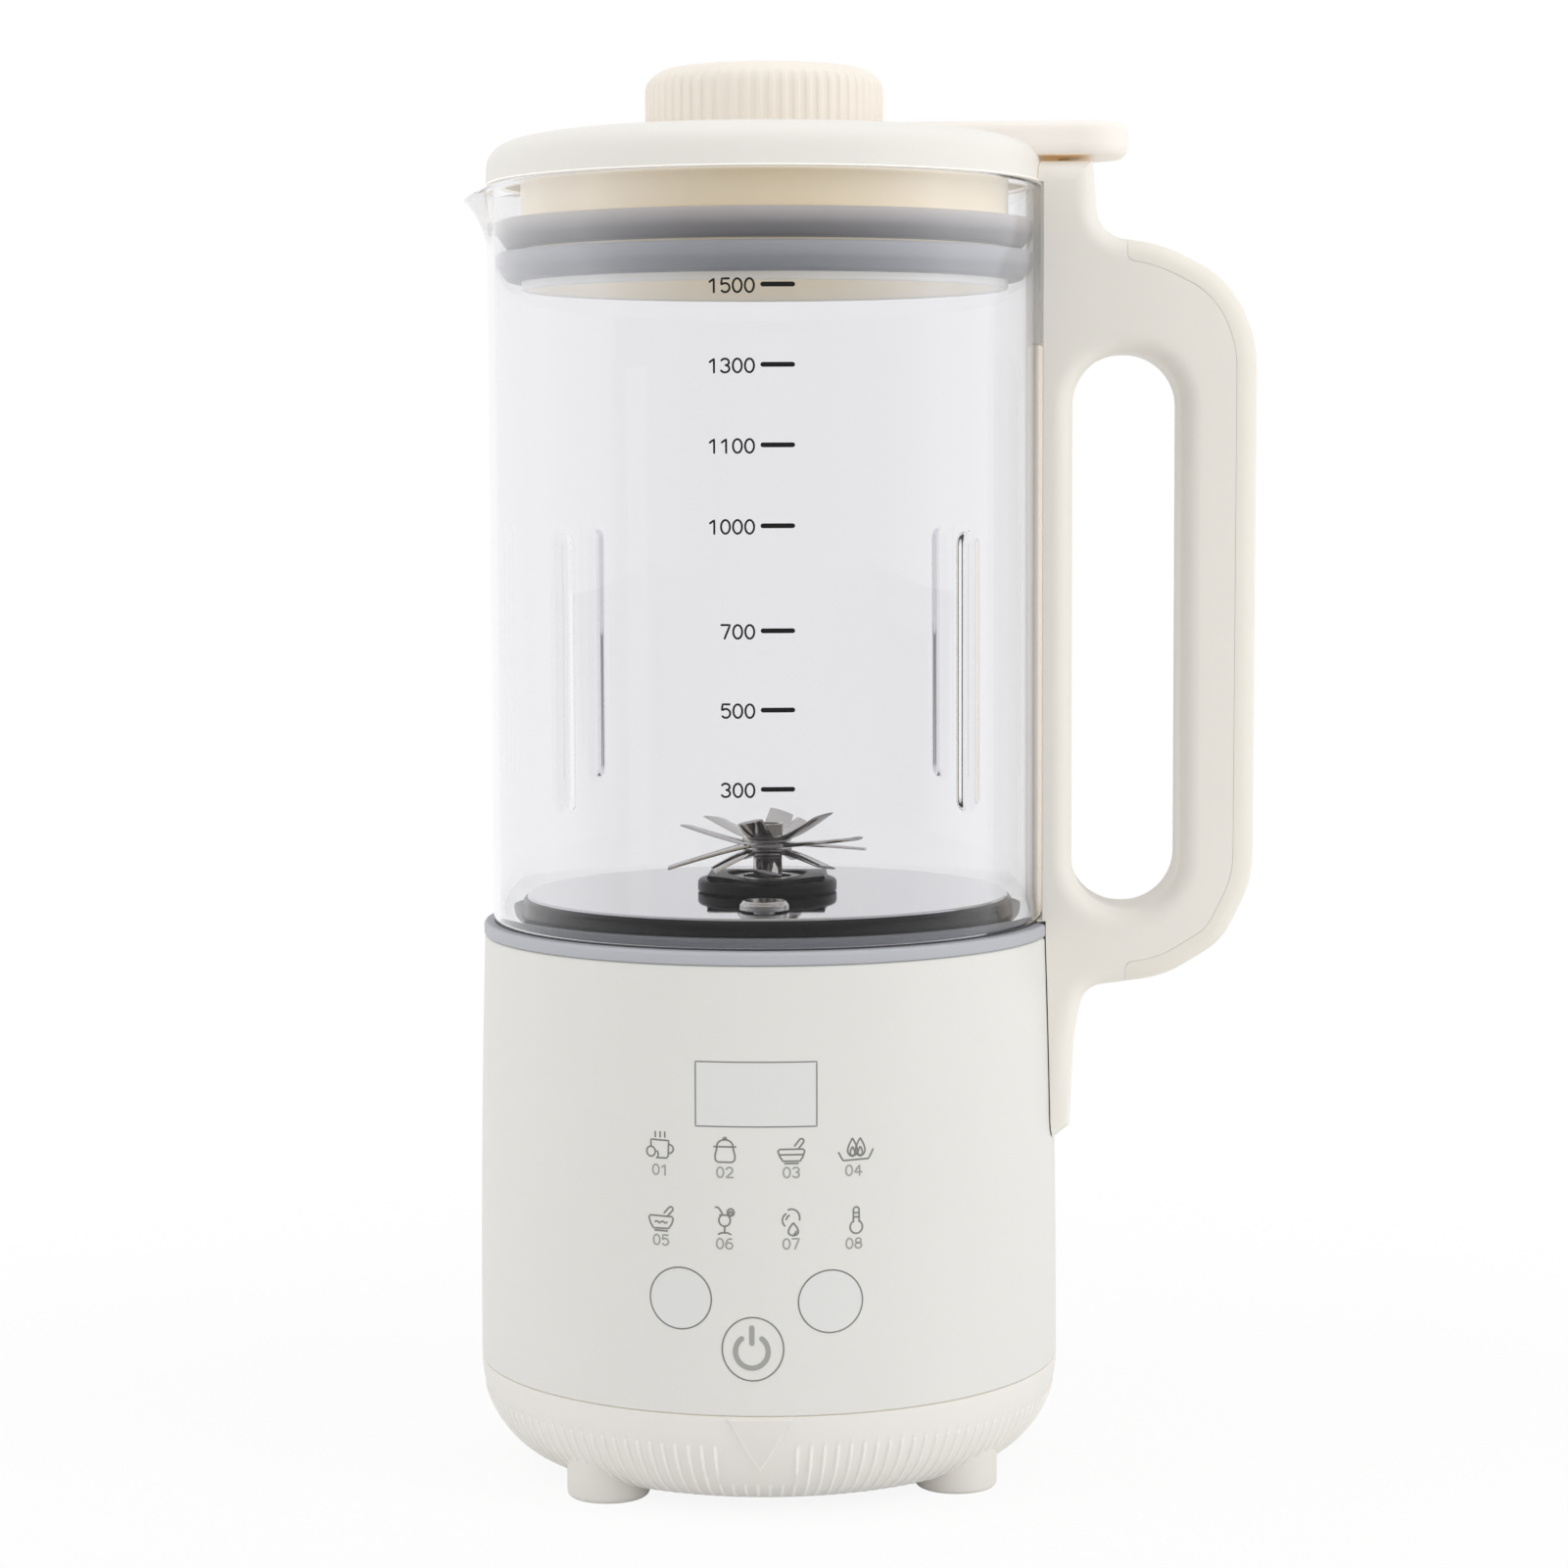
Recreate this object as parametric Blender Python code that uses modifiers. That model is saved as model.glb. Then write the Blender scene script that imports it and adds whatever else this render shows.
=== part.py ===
"""Soy milk maker: a heated glass blender jar on a motor base, with a plug-in lid.

Metres, +Z up. The origin is on the surface that the feet stand on, on the jar's axis.
The touch panel faces -Y, the handle is at +X, and the pour spout is at -X.
"""

import math

import bmesh
import bpy
import numpy as np
from mathutils import Matrix, Vector

# Steps and rules that every piece shares
BIG_STEPS = 40
MID_STEPS = 24
SMALL_STEPS = 16
CLEARANCE = 0.0003
OVERRUN = 0.0100
MERGE = 0.00001
SMOOTH_ANGLE = math.radians(35)
FLAT_ANGLE = math.radians(0.1)

# Base: bowl and housing
FOOT_LIFT = 0.0020
BOWL_HEIGHT = 0.0220
HOUSING_HEIGHT = 0.09535
BASE_RADIUS = 0.0650
HOUSING_TAPER = 0.0019
HOUSING_WALL = 0.0024
DECK_THICKNESS = 0.0024
DECK_RIM_WIDTH = 0.0131
BOWL_CORNER_WIDTH = 0.0200
BOWL_WALL = 0.0022
SPIGOT_HEIGHT = 0.0060
SPIGOT_WALL = 0.0016
ARROW_HALF_WIDTH = 0.00685
ARROW_HEIGHT = 0.0113
ARROW_DROP = 0.0010
ARROW_RELIEF = 0.0006
VENT_COUNT = 8
VENT_RADIUS = 0.0290
VENT_LENGTH = 0.0160
VENT_WIDTH = 0.0030

# Feet
FOOT_RADIUS = 0.0090
FOOT_INSET = 0.0140
FOOT_TURN = math.radians(5.2)
FOOT_HEIGHT = 0.0120
FOOT_EDGE = 0.0008
FOOT_STEM_RADIUS = 0.0020
FOOT_STEM_TOP = 0.0100

# Jar, its ring and its spout
RING_OVERHANG = 0.0000
RING_STEP_HEIGHT = 0.00265
RING_INNER_RISE = 0.0023
RING_EDGE = 0.0008
JAR_STEP = 0.00165
JAR_WALL = 0.00185
JAR_HEIGHT = 0.1624
SPOUT_REACH = 0.0058
SPOUT_DROP = 0.0026
SPOUT_LENGTH = 0.0150
SPOUT_HALF_ANGLE = math.radians(17)
RIB_COUNT = 4
RIB_LENGTH = 0.0590
RIB_MIDDLE_ABOVE_FLOOR = 0.0570
RIB_BUMP_DEPTH = 0.0026
RIB_BUMP_WIDTH = 0.0045
RIB_BUMP_INSET = 0.0032
RIB_GROOVE_RADIUS = 0.0026
RIB_GROOVE_INSET = 0.0009

# Heating plate, element and what passes through them
PLATE_GAP = 0.0048
PLATE_THICKNESS = 0.0012
PLATE_SIDE_HEIGHT = 0.0033
PLATE_EDGE = 0.0007
PLATE_RIM_WIDTH = 0.0012
ELEMENT_INSET = 0.0068
ELEMENT_HEIGHT = 0.0057
TERMINAL_RADIUS = 0.0016
TERMINAL_LENGTH = 0.0034
TERMINAL_INSET = 0.0080
TERMINAL_HALF_SPACING = 0.0080
TUBE_RADIUS = 0.0083
TUBE_BORE_RADIUS = 0.0055
TUBE_LENGTH_BELOW = 0.0185
TUBE_RISE = 0.0034
TUBE_FLANGE_RADIUS = 0.0140
TUBE_FLANGE_HEIGHT = 0.0030
NUT_RADIUS = 0.0153
NUT_HEIGHT = 0.0037
NUT_EDGE = 0.0012
NUT_NOTCH_COUNT = 8
NUT_NOTCH_RADIUS = 0.0020
BUSH_LENGTH = 0.0055
SEAL_LENGTH = 0.0040
PROBE_INSET = 0.0163
PROBE_SIDE = 0.0012
PROBE_RADIUS = 0.00525
PROBE_STEP_RADIUS = 0.0046
PROBE_HEIGHT = 0.0020
PROBE_STEP_HEIGHT = 0.0005
PROBE_STEM_RADIUS = 0.0023
PROBE_STEM_LENGTH = 0.0100

# Support plate under the deck
SUPPORT_INSET = 0.0051
SUPPORT_THICKNESS = 0.0030

# Shafts and blades
SHAFT_RADIUS = 0.00315
SHAFT_TIP_RADIUS = 0.0024
SHAFT_SHOULDER_RISE = 0.0084
BLADE_THICKNESS = 0.0010
ARM_THICKNESS = 0.0007
BLADE_HUB_RADIUS = 0.0056
BLADE_REACH = 0.0238
BLADE_ROOT_WIDTH = 0.0052
BLADE_TIP_WIDTH_SHARE = 0.62
BLADE_TIP_THICKNESS_SHARE = 0.5
UPPER_BLADE_TURNS = [math.radians(turn) for turn in (133.5, -99.1, 81.2, -44.2, 62.0)]
UPPER_BLADE_TILTS = [math.radians(tilt) for tilt in (14.0, 21.0, 19.0, 24.0, 14.0)]
UPPER_BLADE_REACH_SHARES = (0.78, 0.77, 0.73, 0.75, 0.66)
MIDDLE_BLADE_TURNS = [math.radians(turn) for turn in (-155.3, 22.0, 158.5, -22.2)]
MIDDLE_BLADE_TILTS = [math.radians(tilt) for tilt in (-12.5, -6.0, 12.0, 6.5)]
MIDDLE_BLADE_REACH_SHARES = (0.99, 1.0, 0.83, 0.91)
LOWER_BLADE_TURNS = [math.radians(turn) for turn in (-134.8, -35.1, -86.6, 113.0, 68.0)]
LOWER_BLADE_TILTS = [math.radians(tilt) for tilt in (-10.0, -8.0, -7.0, -7.0, -7.0)]
LOWER_BLADE_REACH_SHARES = (0.68, 0.69, 0.76, 0.66, 0.66)
BLADE_NUT_RADIUS = 0.0040
BLADE_NUT_HEIGHT = 0.0026
BLADE_NUT_SIDES = 6

# Coupling and motor
COUPLING_RADIUS = 0.0075
COUPLING_LENGTH = 0.0100
COUPLING_WEB = 0.0012
MOTOR_SHAFT_RADIUS = 0.0030
BRACKET_HEIGHT = 0.0060
BRACKET_WIDTH = 0.0180
BRACKET_LEG = 0.0060
BRACKET_HOLLOW_SHARE = 0.105
BEARING_RADIUS = 0.0080
BEARING_HEIGHT = 0.0050
BUFFER_RADIUS = 0.0045
BUFFER_HEIGHT_SHARE = 0.236
STATOR_WIDTH = 0.0580
STATOR_HEIGHT_SHARE = 0.2517
STATOR_EDGE = 0.0040
ROTOR_RADIUS_SHARE = 0.2931
ROTOR_OVERHANG = 0.0020
AIR_GAP = 0.0008
WINDING_RADIUS = 0.0130
WINDING_HEIGHT = 0.0035
COMMUTATOR_RADIUS = 0.0080
COMMUTATOR_HEIGHT_SHARE = 0.1049
COMMUTATOR_NECK_RADIUS = 0.0055
COIL_DEPTH_SHARE = 0.1034
COIL_INNER_HALF_WIDTH_SHARE = 0.1776
COIL_BAND_SHARE = 0.0793
COIL_DISTANCE_SHARE = 0.3276
BRUSH_WIDTH = 0.0050
BRUSH_HEIGHT = 0.0060
LOWER_BRACKET_DEPTH_SHARE = 0.1856
FAN_RADIUS = 0.0240
FAN_HEIGHT_SHARE = 0.0839
FAN_DISC = 0.0010
FAN_HUB_RADIUS = 0.0055
FAN_BLADE_COUNT = 7
FAN_BLADE_WIDTH = 0.0012
FAN_GAP = 0.0030
SHAFT_STUB = 0.0010

# Electronics
BOARD_THICKNESS = 0.0016
CONTROL_BOARD_INSET = 0.0100
CONTROL_BOARD_RISE = 0.0100
CONTROL_BOARD_DROP = 0.00965
DISPLAY_WIDTH = 0.0300
DISPLAY_HEIGHT = 0.0160
DISPLAY_DROP = 0.02685
FILM_THICKNESS = 0.0006
FILM_HALF_WIDTH = 0.0240
FILM_RISE = 0.0080
FILM_DROP = 0.03635
FILM_COLUMNS = 16
POWER_BOARD_INSET = 0.0150
POWER_BOARD_RISE = 0.0100
POWER_BOARD_DROP = 0.01365

# Mains inlet in the back
INLET_HEIGHT = 0.0440
INLET_WIDTH = 0.0274
INLET_TALL = 0.0200
INLET_FLANGE_MARGIN = 0.0020
INLET_FLANGE_THICKNESS = 0.0024
INLET_DEPTH = 0.0180
INLET_CAVITY_WIDTH = 0.0246
INLET_CAVITY_TALL = 0.0168
INLET_FLOOR = 0.0032
INLET_BOSS_HALF_WIDTH = 0.0175
INLET_BOSS_TALL = 0.0250
INLET_BOSS_DEPTH = 0.0060
INLET_SETBACK = 0.0035
PIN_SPACING = 0.0070
PIN_RISE = 0.0020
PIN_WIDTH = 0.0020
PIN_TALL = 0.0040
PIN_RECESS = 0.0055
PIN_TAIL = 0.0060

# Handle
HANDLE_HALF_THICKNESS = 0.0140
HANDLE_EDGE = 0.0042
HANDLE_TOP_RISE = 0.0056
COLUMN_TOP_DEPTH = 0.01065
COLUMN_FOOT_DEPTH = 0.01215
SHOULDER_DROP = 0.0174
SHOULDER_FILLET = 0.0070
TOP_ROUND = 0.0000
CROWN_DEPTH = 0.02555
CROWN_DROP = 0.0193
CROWN_RADIUS = 0.0300
GRIP_REACH = 0.04675
GRIP_BEND_INSET = 0.0072
GRIP_BEND_DROP = 0.0274
GRIP_BEND_RADIUS = 0.0200
GRIP_START_DROP = 0.0421
GRIP_START_RADIUS = 0.0250
GRIP_LEAN = 0.0005
GRIP_END_RISE = 0.01265
GRIP_END_RADIUS = 0.0250
HEEL_INSET = 0.0070
HEEL_DROP = 0.00115
HEEL_RADIUS = 0.0150
HEEL_BASE_INSET = 0.0197
HEEL_BASE_DROP = 0.00905
HEEL_BASE_RADIUS = 0.0250
TAIL_CORNER_DEPTH = 0.0075
TAIL_CORNER_DROP = 0.01145
TAIL_CORNER_RADIUS = 0.0055
TAIL_BEND_DEPTH = 0.0054
TAIL_BEND_DROP = 0.02285
TAIL_BEND_RADIUS = 0.0120
TAIL_END_DEPTH = 0.0045
TAIL_END_DROP = 0.04245
TAIL_END_RADIUS = 0.0000
TAIL_TIP_DEPTH = 0.0003
TAIL_TIP_DROP = 0.04575
TAIL_TIP_RADIUS = 0.0000
LOOP_COLUMN_WIDTH = 0.00645
LOOP_GRIP_WIDTH = 0.0167
LOOP_BOTTOM_RISE = 0.00575
LOOP_TOP_DROP = 0.0428
LOOP_ROUND_SHARE = 0.495
COVER_DEPTH = 0.0046
COVER_START_REACH = 0.01835
COVER_CORNER = 0.0015
PAD_THICKNESS = 0.0016
PAD_HALF_WIDTH = 0.0112
PAD_LENGTH = 0.0350
HANDLE_SCREW_UPPER_DROP = 0.0155
HANDLE_SCREW_LOWER_DROP = 0.0355
HANDLE_SCREW_RADIUS = 0.0015
HANDLE_SCREW_HEAD_RADIUS = 0.0026
HANDLE_SCREW_HEAD_HEIGHT = 0.0022
HANDLE_SCREW_BITE = 0.0022

# Lid interlock inside the handle's column
PLUNGER_INSET = 0.0060
PLUNGER_RADIUS = 0.0024
PLUNGER_LENGTH = 0.0130
SPRING_WIRE_RADIUS = 0.00025
SPRING_RADIUS = 0.0017
SPRING_TURNS = 6
SPRING_POINTS_PER_TURN = 8
SPRING_LENGTH = 0.0150
SWITCH_WIDTH = 0.0060
SWITCH_HEIGHT = 0.0110

# Lid
DOME_OVERHANG = 0.0001
DOME_WALL = 0.0022
DOME_HEIGHT = 0.0112
DOME_SKIRT = 0.0027
DOME_CORNER_WIDTH = 0.0095
DOME_POWER = 2.6
DOME_CORNER_POINTS = 8
TAB_REACH = 0.01875
TAB_HALF_WIDTH = 0.0135
TAB_ROOT_DEPTH = 0.0235
TAB_TOP_RISE = 0.0018
TAB_THICKNESS = 0.0071
TAB_END_ROUND = 0.0100
TAB_EDGE = 0.0020
LINER_GAP = 0.0056
LINER_WALL = 0.0018
LINER_DEPTH = 0.0230
LINER_TOP_RISE = 0.0075
LINER_BOSS_WALL = 0.0020
WIPER_REACH = 0.0050
UPPER_WIPER_DROP = 0.0078
LOWER_WIPER_DROP = 0.0148
WIPER_HEIGHT = 0.0065
WIPER_LIP_SHARES = ((1.0, 0.95), (1.0, 0.50), (0.75, 0.16), (0.30, 0.0), (0.0, 0.0), (0.0, 1.0))

# Vent knob with its stopper
KNOB_RADIUS = 0.0263
KNOB_HEIGHT = 0.0139
KNOB_EDGE = 0.0060
KNOB_WALL = 0.0020
KNOB_EDGE_POINTS = 4
KNOB_STEM_RADIUS = 0.0050
FILLER_RADIUS = 0.0185
STOPPER_GAP = 0.0025
STOPPER_WALL = 0.0020
STOPPER_DEPTH = 0.0130
STOPPER_FLANGE = 0.0018
STOPPER_VENT_COUNT = 3
STOPPER_VENT_RADIUS = 0.0015
STOPPER_VENT_CIRCLE_RADIUS = 0.0100
CAP_SEAL_HEIGHT = 0.0030
CAP_SEAL_DROP = 0.0027
KNOB_NOTCH_WIDTH = 0.0040
KNOB_NOTCH_HEIGHT = 0.0020

# Levels and radii that follow from the sizes above
BOWL_BOTTOM_Z = FOOT_LIFT
SEAM_Z = BOWL_BOTTOM_Z + BOWL_HEIGHT
HOUSING_TOP_Z = SEAM_Z + HOUSING_HEIGHT
HOUSING_TOP_RADIUS = BASE_RADIUS - HOUSING_TAPER
DECK_BORE_RADIUS = HOUSING_TOP_RADIUS - DECK_RIM_WIDTH
SUPPORT_RADIUS = HOUSING_TOP_RADIUS - SUPPORT_INSET
FOOT_CIRCLE_RADIUS = BASE_RADIUS - FOOT_INSET
DECK_UNDER_Z = HOUSING_TOP_Z - DECK_THICKNESS
RING_BOTTOM_Z = HOUSING_TOP_Z + CLEARANCE
JAR_BOTTOM_Z = RING_BOTTOM_Z + RING_STEP_HEIGHT + CLEARANCE
JAR_RADIUS = HOUSING_TOP_RADIUS - JAR_STEP
JAR_INNER_RADIUS = JAR_RADIUS - JAR_WALL
PLATE_RADIUS = JAR_INNER_RADIUS - PLATE_GAP
ELEMENT_RADIUS = PLATE_RADIUS - ELEMENT_INSET
TERMINAL_CIRCLE_RADIUS = ELEMENT_RADIUS - TERMINAL_INSET
PROBE_DISTANCE = PLATE_RADIUS - PROBE_INSET
JAR_RIM_Z = JAR_BOTTOM_Z + JAR_HEIGHT
RING_INNER_TOP_Z = JAR_BOTTOM_Z - CLEARANCE + RING_INNER_RISE
PLATE_BOTTOM_Z = RING_INNER_TOP_Z + CLEARANCE
PLATE_TOP_Z = PLATE_BOTTOM_Z + PLATE_SIDE_HEIGHT
PLATE_UNDER_Z = PLATE_TOP_Z - PLATE_THICKNESS
UNDER_PLATE_Z = PLATE_UNDER_Z - CLEARANCE
ELEMENT_BOTTOM_Z = UNDER_PLATE_Z - ELEMENT_HEIGHT
TUBE_TOP_Z = PLATE_TOP_Z + TUBE_RISE
TUBE_BOTTOM_Z = PLATE_TOP_Z - TUBE_LENGTH_BELOW
SUPPORT_TOP_Z = DECK_UNDER_Z - CLEARANCE
SUPPORT_BOTTOM_Z = SUPPORT_TOP_Z - SUPPORT_THICKNESS
CONTROL_BOARD_Y = BASE_RADIUS - CONTROL_BOARD_INSET
CONTROL_BOARD_BOTTOM = SEAM_Z + CONTROL_BOARD_RISE
CONTROL_BOARD_TOP = SUPPORT_BOTTOM_Z - CONTROL_BOARD_DROP
DISPLAY_CENTRE_Z = HOUSING_TOP_Z - DISPLAY_DROP
FILM_BOTTOM = SEAM_Z + FILM_RISE
FILM_TOP = HOUSING_TOP_Z - FILM_DROP
POWER_BOARD_X = BASE_RADIUS - POWER_BOARD_INSET
POWER_BOARD_BOTTOM = SEAM_Z + POWER_BOARD_RISE
POWER_BOARD_TOP = SUPPORT_BOTTOM_Z - POWER_BOARD_DROP
BUFFER_HEIGHT = HOUSING_HEIGHT * BUFFER_HEIGHT_SHARE
BRACKET_HOLLOW = HOUSING_HEIGHT * BRACKET_HOLLOW_SHARE
STATOR_HEIGHT = HOUSING_HEIGHT * STATOR_HEIGHT_SHARE
LOWER_BRACKET_DEPTH = HOUSING_HEIGHT * LOWER_BRACKET_DEPTH_SHARE
COMMUTATOR_HEIGHT = HOUSING_HEIGHT * COMMUTATOR_HEIGHT_SHARE
FAN_HEIGHT = HOUSING_HEIGHT * FAN_HEIGHT_SHARE
SHOULDER_Z = PLATE_TOP_Z + SHAFT_SHOULDER_RISE
LOWER_BLADE_Z = SHOULDER_Z + CLEARANCE
MIDDLE_BLADE_Z = LOWER_BLADE_Z + BLADE_THICKNESS + CLEARANCE
UPPER_BLADE_Z = MIDDLE_BLADE_Z + BLADE_THICKNESS + CLEARANCE
BLADE_NUT_Z = UPPER_BLADE_Z + BLADE_THICKNESS + CLEARANCE
BUFFER_TOP_Z = SUPPORT_BOTTOM_Z - CLEARANCE
BRACKET_TOP_Z = BUFFER_TOP_Z - BUFFER_HEIGHT - CLEARANCE
BRACKET_UNDER_Z = BRACKET_TOP_Z - BRACKET_HEIGHT
STATOR_TOP_Z = BRACKET_UNDER_Z - BRACKET_HOLLOW - CLEARANCE
STATOR_BOTTOM_Z = STATOR_TOP_Z - STATOR_HEIGHT
STATOR_MIDDLE_Z = (STATOR_TOP_Z + STATOR_BOTTOM_Z) / 2
ROTOR_RADIUS = STATOR_WIDTH * ROTOR_RADIUS_SHARE
COIL_DEPTH = STATOR_WIDTH * COIL_DEPTH_SHARE
COIL_INNER_HALF_WIDTH = STATOR_WIDTH * COIL_INNER_HALF_WIDTH_SHARE
COIL_BAND = STATOR_WIDTH * COIL_BAND_SHARE
COIL_DISTANCE = STATOR_WIDTH * COIL_DISTANCE_SHARE
LOWER_BRACKET_TOP_Z = STATOR_BOTTOM_Z - CLEARANCE - LOWER_BRACKET_DEPTH
LOWER_BRACKET_BOTTOM_Z = LOWER_BRACKET_TOP_Z - BRACKET_HEIGHT
FAN_TOP_Z = LOWER_BRACKET_BOTTOM_Z - FAN_GAP
FAN_BOTTOM_Z = FAN_TOP_Z - FAN_HEIGHT
COUPLING_TOP_Z = TUBE_BOTTOM_Z - CLEARANCE
COUPLING_BOTTOM_Z = COUPLING_TOP_Z - COUPLING_LENGTH
COUPLING_MIDDLE_Z = (COUPLING_TOP_Z + COUPLING_BOTTOM_Z) / 2
DOME_BOTTOM_Z = JAR_RIM_Z + CLEARANCE
DOME_TOP_Z = JAR_RIM_Z + DOME_HEIGHT
DOME_RADIUS = JAR_RADIUS + DOME_OVERHANG
TAB_TOP_Z = DOME_TOP_Z + TAB_TOP_RISE
TAB_UNDER_Z = TAB_TOP_Z - TAB_THICKNESS
HANDLE_TOP_Z = TAB_UNDER_Z - CLEARANCE
HANDLE_RADIUS = JAR_RADIUS + CLEARANCE + DOME_OVERHANG
LINER_RADIUS = JAR_INNER_RADIUS - LINER_GAP
LINER_BOTTOM_Z = JAR_RIM_Z - LINER_DEPTH
LINER_TOP_Z = JAR_RIM_Z + LINER_TOP_RISE
KNOB_BOTTOM_Z = DOME_TOP_Z + CLEARANCE
KNOB_TOP_Z = KNOB_BOTTOM_Z + KNOB_HEIGHT
GRIP_X = JAR_RADIUS + GRIP_REACH
HANDLE_SCREW_DROPS = (HANDLE_SCREW_UPPER_DROP, HANDLE_SCREW_LOWER_DROP)
PLUNGER_X = JAR_RADIUS + PLUNGER_INSET
SPRING_TOP_Z = HANDLE_TOP_Z - PLUNGER_LENGTH - CLEARANCE
SPRING_BOTTOM_Z = SPRING_TOP_Z - SPRING_LENGTH
SWITCH_TOP_Z = SPRING_BOTTOM_Z - CLEARANCE

PARTS = None
COLOURS = {
    "cream_plastic": ((0.86, 0.83, 0.75), 0.45, 0.0),
    "liner_plastic": ((0.82, 0.72, 0.52), 0.45, 0.0),
    "grey_silicone": ((0.26, 0.28, 0.33), 0.55, 0.0),
    "clear_glass": ((0.95, 0.97, 0.97), 0.03, 0.0),
    "steel": ((0.62, 0.62, 0.63), 0.20, 1.0),
    "black_plastic": ((0.02, 0.02, 0.02), 0.35, 0.0),
    "rubber": ((0.75, 0.72, 0.64), 0.70, 0.0),
    "dark_rubber": ((0.05, 0.05, 0.05), 0.80, 0.0),
    "aluminium": ((0.70, 0.70, 0.72), 0.40, 1.0),
    "bronze": ((0.55, 0.36, 0.16), 0.40, 1.0),
    "laminated_steel": ((0.30, 0.31, 0.33), 0.50, 1.0),
    "copper_winding": ((0.60, 0.26, 0.10), 0.35, 1.0),
    "carbon": ((0.04, 0.04, 0.045), 0.60, 0.0),
    "circuit_board": ((0.03, 0.20, 0.08), 0.50, 0.0),
    "white_plastic": ((0.80, 0.80, 0.78), 0.50, 0.0),
}


def clear_scene():
    """Remove every object, so that the script can run again in an open file."""
    for old in list(bpy.data.objects):
        bpy.data.objects.remove(old, do_unlink=True)


def make_material(name):
    """A Principled material with the piece's plain colour."""
    found = bpy.data.materials.get(name)
    if found:
        return found
    colour, roughness, metallic = COLOURS[name]
    made = bpy.data.materials.new(name)
    made.use_nodes = True
    shader = made.node_tree.nodes["Principled BSDF"]
    shader.inputs["Base Color"].default_value = (*colour, 1.0)
    shader.inputs["Roughness"].default_value = roughness
    shader.inputs["Metallic"].default_value = metallic
    return made


def add_object(name, mesh, finish=None):
    """Put a mesh in the parts collection, with its finish."""
    made = bpy.data.objects.new(name, mesh)
    PARTS.objects.link(made)
    if finish:
        mesh.materials.clear()
        mesh.materials.append(make_material(finish))
    return made


def settle(piece):
    """Turn the piece's modifiers into plain mesh."""
    bpy.context.view_layer.update()
    seen = piece.evaluated_get(bpy.context.evaluated_depsgraph_get())
    made = bpy.data.meshes.new_from_object(seen)
    piece.modifiers.clear()
    old = piece.data
    piece.data = made
    if isinstance(old, bpy.types.Mesh):
        bpy.data.meshes.remove(old)
    return piece


def shade(piece):
    """Smooth shading with sharp creases."""
    piece.data.shade_smooth()
    piece.data.set_sharp_from_angle(angle=SMOOTH_ANGLE)


def combine(piece, tool, operation):
    """Boolean the tool into the piece, and remove the tool."""
    change = piece.modifiers.new(operation.lower(), "BOOLEAN")
    change.operation = operation
    change.solver = "EXACT"
    change.object = tool
    settle(piece)
    bpy.data.objects.remove(tool, do_unlink=True)
    return piece


def cut(piece, tool):
    return combine(piece, tool, "DIFFERENCE")


def join(piece, tool):
    return combine(piece, tool, "UNION")


def turned(name, profile, finish=None, steps=BIG_STEPS):
    """A profile of (radius, height) turned about Z, its outer side listed from the top down."""
    closed = min(radius for radius, _ in profile) > MERGE
    count = len(profile)
    edges = [(i, i + 1) for i in range(count - 1)]
    if closed:
        edges.append((count - 1, 0))
    mesh = bpy.data.meshes.new(name)
    mesh.from_pydata([(radius, 0.0, height) for radius, height in profile], edges, [])
    made = add_object(name, mesh)
    screw = made.modifiers.new("turn", "SCREW")
    screw.steps = steps
    screw.render_steps = steps
    screw.use_merge_vertices = True
    screw.merge_threshold = MERGE
    settle(made)
    if finish:
        made.data.materials.append(make_material(finish))
    return made


def ring(name, outer, inner, top, bottom, finish=None, steps=SMALL_STEPS):
    """A plain ring about Z."""
    return turned(name, [(outer, top), (outer, bottom), (inner, bottom), (inner, top)], finish, steps)


def rod(name, radius, bottom, top, finish=None, steps=SMALL_STEPS, place=(0.0, 0.0)):
    """An upright cylinder at a place in plan."""
    mesh = bpy.data.meshes.new(name)
    shape = bmesh.new()
    bmesh.ops.create_cone(shape, cap_ends=True, segments=steps, radius1=radius, radius2=radius,
                          depth=top - bottom)
    bmesh.ops.translate(shape, verts=shape.verts, vec=(place[0], place[1], (top + bottom) / 2))
    shape.to_mesh(mesh)
    shape.free()
    return add_object(name, mesh, finish)


def block(name, low, high, finish=None, edge=0.0, cuts=0):
    """A box between two corners, with its edges bevelled and its X length divided on request."""
    mesh = bpy.data.meshes.new(name)
    shape = bmesh.new()
    bmesh.ops.create_cube(shape, size=1.0)
    size = Vector(high) - Vector(low)
    bmesh.ops.scale(shape, vec=size, verts=shape.verts)
    bmesh.ops.translate(shape, vec=(Vector(high) + Vector(low)) / 2, verts=shape.verts)
    if cuts:
        along = [e for e in shape.edges if abs(e.verts[0].co.x - e.verts[1].co.x) > size.x / 2]
        bmesh.ops.subdivide_edges(shape, edges=along, cuts=cuts)
    shape.to_mesh(mesh)
    shape.free()
    made = add_object(name, mesh, finish)
    if edge:
        bevel = made.modifiers.new("edge", "BEVEL")
        bevel.width = edge
        bevel.segments = 2
        settle(made)
    return made


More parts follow.
